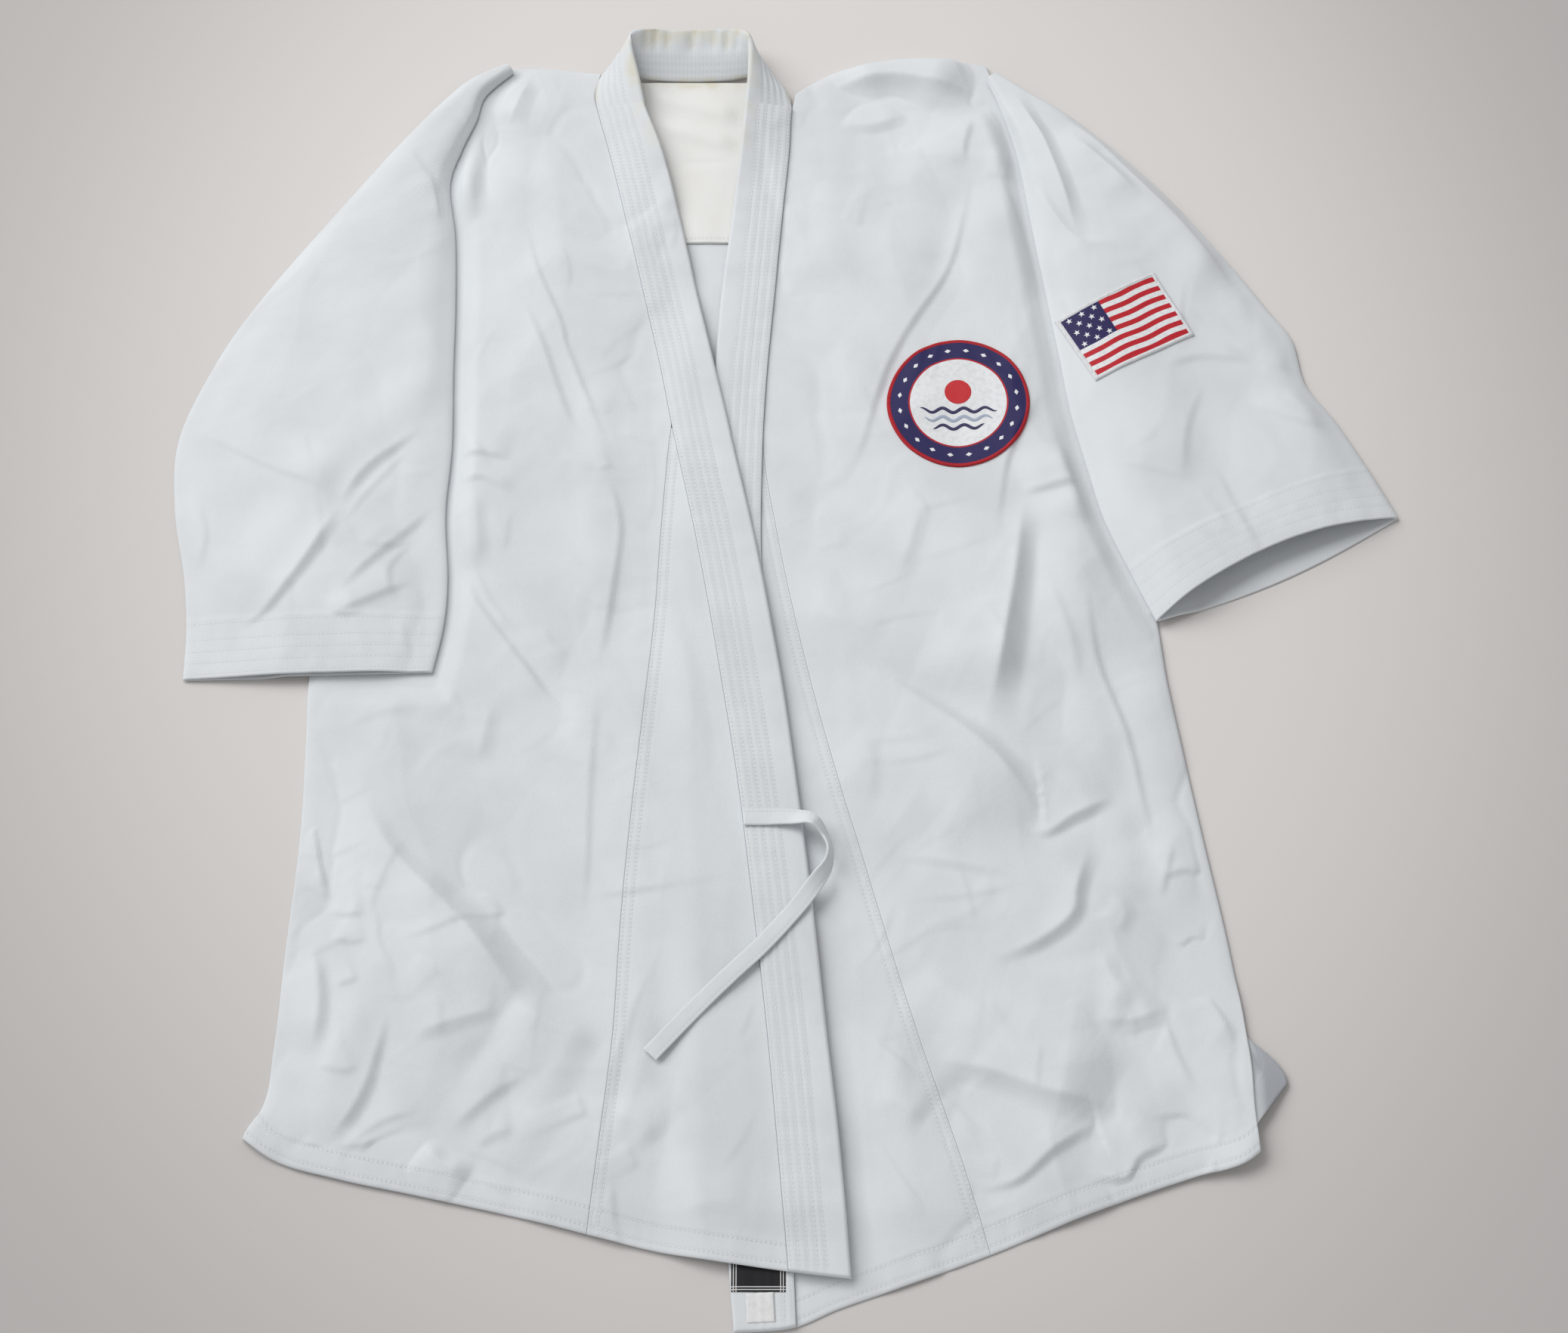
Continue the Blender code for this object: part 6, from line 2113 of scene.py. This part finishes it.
@dataclass
class TieStrip:
    """The tie: a flat strip that starts on the right band, turns and lies over the front."""

    finishes: Finishes
    steps: int = 10

    def build(self, below: Sequence[bpy.types.Object]) -> list[Piece]:
        """Build the strip over what it lies on.

        Args:
            below: The pieces under it.

        Returns:
            Its pieces.
        """
        surface = Surface(*below)
        places = np.linspace(0.0, len(TIE) - 1.0, (len(TIE) - 1) * self.steps + 1)
        rows = smooth_rows(TIE, places)
        reach = (-0.5 * TIE_WIDTH, 0.0, 0.5 * TIE_WIDTH)
        bases = np.array([
            max(surface.top(x + dx, y + dy) for dx in reach for dy in reach)
            for x, y in rows[:, 0:2]
        ])
        window = 2 * self.steps // 3
        held = np.array([bases[max(i - window, 0):i + window + 1].max() for i in range(len(bases))])
        smoothed = np.convolve(np.pad(held, 4, mode="edge"), np.ones(9) / 9.0, mode="valid")
        lean = np.radians(rows[:, 3])
        rise = 0.5 * TIE_WIDTH * np.abs(np.sin(lean))
        middle = np.stack([rows[:, 0], rows[:, 1],
            smoothed + rows[:, 2] + rise + 0.5 * TIE_THICK + LAY_GAP - 0.5], -1)
        along = unit(np.gradient(middle, axis=0))
        level = unit(np.stack([-along[:, 1], along[:, 0], 0.0 * lean], -1))
        upward = np.array([0.0, 0.0, 1.0])
        across = level * np.cos(lean)[:, None] + upward * np.sin(lean)[:, None]
        normal = unit(np.cross(along, across))
        offset = np.array(TIE_LINES)
        step = length_along(middle)
        edge = np.minimum(offset, TIE_WIDTH - offset)
        ends = np.minimum(step, step[-1] - step)
        half = (0.5 * TIE_THICK * rounding(edge, 1.2, 0.25)[None, :]
            * rounding(ends, 1.0, 0.4)[:, None])
        groove = grooves(offset, (9.3,), 0.7)[None, :] + 0.0 * half
        noise = ClothNoise(97)
        wavy = 0.25 * noise.at(step[:, None] + 0.0 * half, offset[None, :] + 0.0 * half, 12.0)
        line = middle[:, None, :] + across[:, None, :] * (offset - 0.5 * TIE_WIDTH)[None, :, None]
        top = line + normal[:, None, :] * (half + wavy - 0.25 * groove)[..., None]
        bottom = line - normal[:, None, :] * half[..., None]
        uv = np.stack(np.broadcast_arrays(offset[None, :], step[:, None]), -1)
        sheet = Sheet("tie", top, bottom, uv,
            {"groove": groove, "run": step[:, None] * MM + 0.0 * half})
        return [Piece(sheet.make(self.finishes.white), Slots.WHITE, "tie", sheet.cut(),
            ("right_band", "right_gore"), Held.FOLDED)]


def laid_sheet(name: str, spots: Array, local: Array, surface: Surface, lift: float,
        thickness: Array, run: Array) -> Sheet:
    """Lay a thin stiff piece on a surface.

    Args:
        name: The piece's name.
        spots: A grid of places in table millimetres.
        local: The same grid in the piece's own millimetres, from its middle.
        surface: What it lies on.
        lift: Height of its underside over the surface.
        thickness: Its own thickness at each point.
        run: Distance along its edge at each point, for the edge's threads.

    Returns:
        The sheet.
    """
    under = surface.tops(spots[..., 0], spots[..., 1])
    height = under
    for _ in range(4):
        wide = np.pad(height, 1, mode="edge")
        around = wide[:-2, 1:-1] + wide[2:, 1:-1] + wide[1:-1, :-2] + wide[1:-1, 2:]
        height = np.maximum(under, around / 4.0)
    bottom = height + lift
    return Sheet(name, np.concatenate([spots, (bottom + thickness)[..., None]], -1),
        np.concatenate([spots, bottom[..., None]], -1), local, {"run": run * MM})


def shapes_piece(name: str, shapes: Sequence[Array], surface: Surface, rise: float,
        material: bpy.types.Material) -> bpy.types.Object:
    """Embroider small closed shapes on a surface, all in one mesh.

    Args:
        name: The piece's name.
        shapes: Outlines in table millimetres.
        surface: What they lie on.
        rise: How far they stand up.
        material: Their finish.

    Returns:
        The mesh object.
    """
    points, faces = [], []
    for outline in shapes:
        count, start = len(outline), len(points)
        middle = outline.mean(axis=0)
        for share, lift in ((1.0, -0.25), (1.0, 0.6 * rise), (0.72, rise)):
            ring = middle + share * (outline - middle)
            heights = surface.tops(ring[:, 0], ring[:, 1]) + lift
            points += np.concatenate([ring, heights[:, None]], axis=1).tolist()
        top = surface.top(*middle) + 1.15 * rise
        points += [[*middle, top], [*middle, top - 1.15 * rise - 0.25]]
        for i in range(count):
            j = (i + 1) % count
            for level in (0, count):
                faces.append([start + level + i, start + level + j,
                    start + level + count + j, start + level + count + i])
            faces.append([start + 2 * count + i, start + 2 * count + j, start + 3 * count])
            faces.append([start + j, start + i, start + 3 * count + 1])
    mesh = bpy.data.meshes.new(name)
    mesh.from_pydata(to_model(np.array(points)).tolist(), [], faces)
    return add_object(name, mesh, material)


def ribbon(name: str, path: Array, width: Array, surface: Surface, rise: float,
        material: bpy.types.Material) -> bpy.types.Object:
    """Embroider a satin-stitched line on a surface.

    Args:
        name: The piece's name.
        path: Its middle line in table millimetres.
        width: Its width along the line.
        surface: What it lies on.
        rise: How far it stands up.
        material: Its finish.

    Returns:
        The mesh object.
    """
    along = unit(np.gradient(path, axis=0))
    level = np.stack([-along[:, 1], along[:, 0]], axis=-1)
    shares = np.array([-0.5, -0.42, -0.2, 0.2, 0.42, 0.5])
    spots = path[:, None, :] + level[:, None, :] * (shares[None, :] * width[:, None])[..., None]
    base = surface.tops(spots[..., 0], spots[..., 1])
    crown = rise * np.sqrt(np.maximum(0.02, 1.0 - (2.0 * shares) ** 2))[None, :]
    top = np.concatenate([spots, (base + crown)[..., None]], -1)
    bottom = np.concatenate([spots, (base - 0.2)[..., None]], -1)
    return Sheet(name, top, bottom, spots).make(material)


def turned(points: Array, angle: float, centre: tuple[float, float]) -> Array:
    """Turn points about the origin and move them to a centre.

    Args:
        points: The points.
        angle: The angle in radians.
        centre: Where the origin goes.

    Returns:
        The moved points.
    """
    cos, sin = math.cos(angle), math.sin(angle)
    x, y = points[..., 0], points[..., 1]
    return np.stack([centre[0] + x * cos - y * sin, centre[1] + x * sin + y * cos], -1)


@dataclass(frozen=True)
class PatchEdge:
    """Overlocked edge of a patch and the patch's thicknesses, in millimetres."""

    border: float = 3.1
    field_thick: float = 0.95
    border_thick: float = 1.5

    def thickness(self, distance: Array) -> Array:
        """Thickness at a distance inside the edge: a round rim, then the flat field.

        Args:
            distance: Distances inside the edge.

        Returns:
            Heights in millimetres.
        """
        share = np.clip(distance / self.border, 0.0, 1.0)
        rim = self.border_thick * np.sqrt(np.maximum(0.03, 1.0 - (2.0 * share - 1.0) ** 2))
        return np.where(distance < 0.6 * self.border, rim, np.maximum(rim, self.field_thick))


def embroidered(sketch: NodeSketch, colour: object, rim: object,
        threads_per_metre: float) -> bpy.types.Material:
    """Finish a patch's material with its satin threads and the overlocked rim's ridges.

    Args:
        sketch: The material's nodes so far.
        colour: Its colour.
        rim: Where the rim is, from 0 to 1.
        threads_per_metre: How close the satin threads lie.

    Returns:
        The material.
    """
    twill = sketch.scaled(sketch.uv(), (threads_per_metre, 0.5 * threads_per_metre, 0.0))
    threads = sketch.add("ShaderNodeTexWave", {"Vector": twill, "Scale": 0.5},
        bands_direction="DIAGONAL").outputs["Fac"]
    tone = sketch.between(sketch.noise(sketch.uv(), 300.0, 3.0), 0.35, 0.8)
    darker = sketch.mix(1.0, colour, (0.72, 0.72, 0.74, 1.0), "MULTIPLY")
    colour = sketch.mix(sketch.times(tone, 0.5), colour, darker)
    wave = sketch.math("SINE", sketch.times(sketch.attribute("run"), math.tau / 0.0011))
    normal = sketch.bump(threads, 0.4, 0.0001)
    normal = sketch.bump(sketch.times(wave, rim), 0.5, 0.00022, normal)
    sketch.shader.inputs["Specular IOR Level"].default_value = 0.3
    return sketch.finish(colour, 0.62, normal)


@dataclass
class FlagPatch:
    """Flag patch on the left sleeve: stripes, canton and stars inside a white rim."""

    finishes: Finishes
    edge: PatchEdge = PatchEdge()
    stripes: int = 13
    canton_share: float = 0.4
    red: Colour = (0.47, 0.012, 0.022, 1.0)
    navy: Colour = (0.02, 0.014, 0.085, 1.0)
    white: Colour = (0.72, 0.735, 0.75, 1.0)

    def inside(self) -> tuple[float, float]:
        """Half width and half height of the field inside the rim."""
        return (0.5 * FLAG_SIZE[0] - self.edge.border, 0.5 * FLAG_SIZE[1] - self.edge.border)

    def material(self) -> bpy.types.Material:
        """Build the embroidery's material on the patch's own coordinates.

        Returns:
            The material.
        """
        half_w, half_h = (part * MM for part in self.inside())
        sketch = NodeSketch("flag_embroidery_finish")
        parts = sketch.add("ShaderNodeSeparateXYZ", {0: sketch.uv()})
        u, v = parts.outputs["X"], parts.outputs["Y"]
        sway = sketch.times(sketch.math("SINE", sketch.times(u, math.tau / 0.034)), 0.00045)
        level = sketch.math("ADD", sketch.math("ADD", v, half_h), sway)
        row = sketch.times(level, self.stripes / (2.0 * half_h))
        odd = sketch.math("MODULO", sketch.math("FLOOR", row), 2.0)
        is_white = sketch.math("GREATER_THAN", odd, 0.5)
        colour = sketch.mix(is_white, self.red, self.white)
        canton_x = -half_w + self.canton_share * 2.0 * half_w
        canton = sketch.times(sketch.math("LESS_THAN", u, canton_x),
            sketch.math("GREATER_THAN", row, float(self.stripes // 2)))
        colour = sketch.mix(canton, colour, self.navy)
        out_u = sketch.math("GREATER_THAN", sketch.math("ABSOLUTE", u), half_w)
        out_v = sketch.math("GREATER_THAN", sketch.math("ABSOLUTE", v), half_h)
        rim = sketch.math("MAXIMUM", out_u, out_v)
        colour = sketch.mix(rim, colour, self.white)
        return embroidered(sketch, colour, rim, 1800.0)

    def build(self, below: Surface) -> list[Piece]:
        """Build the patch and its stars.

        Args:
            below: The sleeve's surface.

        Returns:
            Its pieces.
        """
        half = 0.5 * np.array(FLAG_SIZE)
        lines = [np.unique(np.concatenate([np.arange(-size + 4.0, size - 4.0, 1.15),
            *(side * (size - np.array([0.0, 0.25, 0.7, 1.3, 1.9, 2.5, 3.1, 3.6]))
            for side in (-1.0, 1.0))])) for size in half]
        u, v = np.meshgrid(*lines)
        local = np.stack([u, v], -1)
        distance = np.minimum(half[0] - np.abs(u), half[1] - np.abs(v))
        spots = turned(local, FLAG_TURN, FLAG_CENTRE)
        sheet = laid_sheet("flag_patch", spots, local, below, STITCH_GAP,
            self.edge.thickness(distance), u + v)
        patch = sheet.make(self.material())
        half_w, half_h = self.inside()
        canton_w = self.canton_share * 2.0 * half_w
        canton_h = 2.0 * half_h * (self.stripes - self.stripes // 2) / self.stripes
        angles = math.pi / 2 + np.linspace(0.0, math.tau, 10, endpoint=False)
        reach = np.where(np.arange(10) % 2 == 0, 2.45, 1.0)
        star = np.stack([reach * np.cos(angles), reach * np.sin(angles)], -1)
        shapes = []
        for row in range(5):
            odd = row % 2
            for k in range(3 - odd):
                x = -half_w + canton_w * (k + 0.5 + 0.5 * odd) / 3.0
                y = half_h - canton_h * (row + 0.55) / 5.05
                shapes.append(turned(star + np.array([x, y]), FLAG_TURN, FLAG_CENTRE))
        stars = shapes_piece("canton_stars", shapes, Surface(patch), 0.3, self.finishes.white_twill)
        return [Piece(patch, Slots.FLAG, "flag_patch", sheet.cut(), ("left_sleeve",)),
            Piece(stars, Slots.FLAG)]


@dataclass
class RoundPatch:
    """Round chest patch: red rim, navy ring and a white field with a sun over water."""

    finishes: Finishes
    edge: PatchEdge = PatchEdge(border=2.6)
    ring_share: float = 0.70
    red: Colour = (0.42, 0.012, 0.02, 1.0)
    navy: Colour = (0.02, 0.016, 0.09, 1.0)
    white: Colour = (0.72, 0.735, 0.75, 1.0)

    def material(self) -> bpy.types.Material:
        """Build the embroidery's material on the patch's own coordinates.

        Returns:
            The material.
        """
        sketch = NodeSketch("round_embroidery_finish")
        radius = sketch.add("ShaderNodeVectorMath", {0: sketch.uv()},
            operation="LENGTH").outputs["Value"]
        limits = [(self.ring_share * PATCH_RADIUS - 1.2) * MM, self.ring_share * PATCH_RADIUS * MM,
            (PATCH_RADIUS - self.edge.border) * MM]
        colour = self.white
        for limit, outer in zip(limits, (self.red, self.navy, self.red)):
            colour = sketch.mix(sketch.math("GREATER_THAN", radius, limit), colour, outer)
        rim = sketch.math("GREATER_THAN", radius, limits[-1])
        return embroidered(sketch, colour, rim, 1700.0)

    def build(self, below: Surface) -> list[Piece]:
        """Build the patch with its plain motif.

        Args:
            below: The front's surface.

        Returns:
            Its pieces.
        """
        line = np.unique(np.concatenate([
            np.linspace(-0.93, 0.93, 78), [-1.0, -0.994, -0.985, -0.973, -0.96, -0.945],
            [1.0, 0.994, 0.985, 0.973, 0.96, 0.945]]))
        u, v = np.meshgrid(line, line)
        local = PATCH_RADIUS * np.stack([u * np.sqrt(1.0 - v * v / 2.0),
            v * np.sqrt(1.0 - u * u / 2.0)], -1)
        radius = np.linalg.norm(local, axis=-1)
        run = PATCH_RADIUS * np.arctan2(local[..., 1], local[..., 0])
        spots = local + np.array(PATCH_CENTRE)
        sheet = laid_sheet("round_patch", spots, local, below, STITCH_GAP,
            self.edge.thickness(PATCH_RADIUS - radius), run)
        patch = sheet.make(self.material())
        pieces = [Piece(patch, Slots.ROUND_PATCH, "round_patch", sheet.cut(), ("left_front",))]
        field_top = Surface(patch)
        turn = np.linspace(0.0, math.tau, 36, endpoint=False)
        sun = np.stack([9.5 * np.cos(turn), 8.5 + 9.5 * np.sin(turn)], -1)
        pieces.append(Piece(shapes_piece("sun_disc", [sun + np.array(PATCH_CENTRE)], field_top,
            0.35, self.finishes.red), Slots.ROUND_PATCH))
        waves = (("upper_wave", -6.0, 27.0, self.finishes.navy),
            ("middle_wave", -12.5, 24.0, self.finishes.grey_twill),
            ("lower_wave", -19.0, 18.0, self.finishes.navy))
        for name, y, reach, material in waves:
            x = np.linspace(-reach, reach, 70)
            path = np.stack([x, y + 1.7 * np.sin(x * math.tau / 15.0)], -1)
            width = 2.5 * np.sqrt(np.maximum(0.04, 1.0 - (x / reach) ** 4))
            pieces.append(Piece(ribbon(name, path + np.array(PATCH_CENTRE), width, field_top,
                0.35, material), Slots.ROUND_PATCH))
        lozenge = np.array([(0.0, 2.3), (-1.5, 0.0), (0.0, -2.3), (1.5, 0.0)])
        middle = 0.5 * (self.ring_share * PATCH_RADIUS + PATCH_RADIUS - self.edge.border)
        shapes = []
        for k in range(20):
            angle = math.tau * (k + 0.5) / 20
            centre = (PATCH_CENTRE[0] + middle * math.cos(angle),
                PATCH_CENTRE[1] + middle * math.sin(angle))
            shapes.append(turned(lozenge, angle, centre))
        pieces.append(Piece(shapes_piece("ring_lozenges", shapes, field_top, 0.25,
            self.finishes.white_twill), Slots.ROUND_PATCH))
        return pieces


@dataclass
class Labels:
    """Two small labels on the end of the left band."""

    finishes: Finishes
    white_turn: float = math.radians(3.0)

    def lined_satin(self) -> bpy.types.Material:
        """Build black satin with two thin pale lines along three edges.

        Returns:
            The material.
        """
        half_w = 0.5 * (BLACK_LABEL[1] - BLACK_LABEL[0]) * MM
        half_h = 0.5 * (BLACK_LABEL[3] - BLACK_LABEL[2]) * MM
        sketch = NodeSketch("lined_satin_finish")
        parts = sketch.add("ShaderNodeSeparateXYZ", {0: sketch.uv()})
        from_side = sketch.math("SUBTRACT", half_w, sketch.math("ABSOLUTE", parts.outputs["X"]))
        from_end = sketch.math("ADD", parts.outputs["Y"], half_h)
        share = 0.0
        for place in (0.0014, 0.0031):
            for distance in (from_side, from_end):
                away = sketch.math("ABSOLUTE", sketch.math("SUBTRACT", distance, place))
                share = sketch.math("MAXIMUM", share, sketch.math("LESS_THAN", away, 0.0003))
        colour = sketch.mix(share, (0.012, 0.012, 0.014, 1.0), (0.6, 0.6, 0.6, 1.0))
        weft = sketch.scaled(sketch.uv(), (500.0, 4200.0, 0.0))
        threads = sketch.add("ShaderNodeTexWave", {"Vector": weft, "Scale": 0.5},
            bands_direction="Y").outputs["Fac"]
        sketch.shader.inputs["Specular IOR Level"].default_value = 0.2
        return sketch.finish(colour, 0.5, sketch.bump(threads, 0.3, 0.00006))

    def build(self, below: Surface) -> list[Piece]:
        """Build both labels.

        Args:
            below: The band's surface.

        Returns:
            The labels.
        """
        pieces = []
        for name, box, turn, slot, material in (
            ("black_label", BLACK_LABEL, 0.0, Slots.BLACK_LABEL, self.lined_satin()),
            ("white_label", WHITE_LABEL, self.white_turn, Slots.WHITE_LABEL,
             self.finishes.tape),
        ):
            left, right, low, high = box
            half_w, half_h = 0.5 * (right - left), 0.5 * (high - low)
            u, v = np.meshgrid(np.linspace(-half_w, half_w, 26), np.linspace(-half_h, half_h, 22))
            local = np.stack([u, v], -1)
            edge = np.minimum(half_w - np.abs(u), half_h - np.abs(v))
            thick = 0.5 * rounding(edge, 1.4, 0.4)
            spots = turned(local, turn, (0.5 * (left + right), 0.5 * (low + high)))
            sheet = laid_sheet(name, spots, local, below, STITCH_GAP - 0.1, thick, u)
            pieces.append(Piece(sheet.make(material), slot, name, sheet.cut(), ("left_band",)))
        return pieces


def make_light(name: str, place: tuple[float, float, float], aim: tuple[float, float, float],
        size: float, power: float, colour: tuple[float, float, float]) -> None:
    """Add a soft square light aimed at a point.

    Args:
        name: The light's name.
        place: Where it stands.
        aim: The point that it faces.
        size: Length of its sides in metres.
        power: Its power in watts.
        colour: Its colour.
    """
    data = bpy.data.lights.new(name, "AREA")
    data.shape = "SQUARE"
    data.size = size
    data.energy = power
    data.color = colour
    light = bpy.data.objects.new(name, data)
    light.location = place
    light.rotation_euler = (Vector(aim) - Vector(place)).to_track_quat("-Z", "Y").to_euler()
    bpy.context.scene.collection.objects.link(light)


@dataclass
class Studio:
    """Pale floor with painted shade towards its edges, soft light and the camera."""

    camera_place: tuple[float, float, float] = (0.0, -0.735, 1.672)
    camera_aim: tuple[float, float, float] = (0.0, -0.032, 0.0)
    lens: float = 60.72
    floor_colour: Colour = (0.66, 0.635, 0.62, 1.0)
    sky: float = 0.44
    window: float = 1.55

    def build(self) -> None:
        """Build the studio."""
        bpy.ops.mesh.primitive_plane_add(size=9.0, location=(0.0, 0.0, -0.0002))
        floor = bpy.context.object
        floor.name = "studio_floor"
        sketch = NodeSketch("floor_finish")
        place = sketch.add("ShaderNodeTexCoord").outputs["Object"]
        cloud = sketch.noise(place, 2.0, 3.0)
        darker = tuple(0.985 * part for part in self.floor_colour[:3]) + (1.0,)
        painted_falloff_shade = tuple(0.68 * part for part in self.floor_colour[:3]) + (1.0,)
        colour = sketch.mix(cloud, self.floor_colour, darker)
        # painted shade: the floor darkens away from a point near its middle, standing in for the
        # light's falloff
        offset = sketch.add("ShaderNodeVectorMath", {0: place, 1: (0.0, -0.12, 0.0)},
            operation="ADD").outputs[0]
        far = sketch.add("ShaderNodeVectorMath", {0: sketch.scaled(offset, (1.0, 0.8, 0.0))},
            operation="LENGTH").outputs["Value"]
        colour = sketch.mix(sketch.between(far, 0.3, 0.7), colour, painted_falloff_shade)
        floor.data.materials.append(sketch.finish(colour, 0.9))
        world = bpy.data.worlds.new("studio_world")
        world.use_nodes = True
        back = world.node_tree.nodes["Background"]
        back.inputs["Color"].default_value = (1.0, 1.0, 1.0, 1.0)
        back.inputs["Strength"].default_value = self.sky
        scene = bpy.context.scene
        scene.world = world
        make_light("overhead_light", (-0.55, 0.75, 1.5), (0.0, 0.1, 0.0), 0.8, 9.0, (1.0, 0.995, 0.99))
        make_light("fill_light", (0.6, -1.5, 0.4), (0.1, 0.0, 0.0), 0.7, 1.5, (1.0, 0.995, 0.99))
        sun_data = bpy.data.lights.new("window_light", "SUN")
        sun_data.energy = self.window
        sun_data.angle = math.radians(40.0)
        sun = bpy.data.objects.new("window_light", sun_data)
        sun.rotation_euler = Vector((1.0, -0.55, -1.0)).to_track_quat("-Z", "Y").to_euler()
        scene.collection.objects.link(sun)
        data = bpy.data.cameras.new("camera")
        data.lens = self.lens
        data.sensor_width = 36.0
        camera = bpy.data.objects.new("camera", data)
        camera.location = self.camera_place
        aim = Vector(self.camera_aim) - Vector(self.camera_place)
        camera.rotation_euler = aim.to_track_quat("-Z", "Y").to_euler()
        scene.collection.objects.link(camera)
        scene.camera = camera
        scene.view_settings.view_transform = "Standard"
        scene.view_settings.look = "None"


def main() -> None:
    """Load the frame and build the jacket over it."""
    logging.basicConfig(level=logging.INFO, format="%(name)s: %(message)s")
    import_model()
    bpy.ops.object.select_all(action="DESELECT")
    Studio().build()
    finishes = Finishes()
    body = Body(finishes)
    body.build()
    pieces = list(body.pieces)
    quiet = {"swell": 0.8, "facet": 2.2, "chip": 0.6, "crumple": 0.35, "scatter": 170}
    pieces += SleeveTube("right_sleeve", RIGHT_SLEEVE,
        Relief(RIGHT_SLEEVE_FOLDS, RIGHT_SLEEVE_CREASES, 37, **quiet),
        right_side_x, -1, 0.0, finishes).build()
    left_sleeve = SleeveTube("left_sleeve", LEFT_SLEEVE,
        Relief(LEFT_SLEEVE_FOLDS, LEFT_SLEEVE_CREASES, 43, **quiet),
        left_side_x, 1, 13.0, finishes).build()
    pieces += left_sleeve
    pieces += NeckBand(finishes).build()
    pieces += TieStrip(finishes).build([
        body.find(name) for name in ("left_front", "left_gore", "right_front", "right_gore",
        "right_band")])
    pieces += RoundPatch(finishes).build(Surface(body.find("left_front")))
    pieces += FlagPatch(finishes).build(Surface(left_sleeve[0].thing))
    pieces += Labels(finishes).build(Surface(body.find("left_band")))
    for piece in pieces:
        piece.register()
    bpy.context.view_layer.update()


if __name__ == "__main__":
    main()
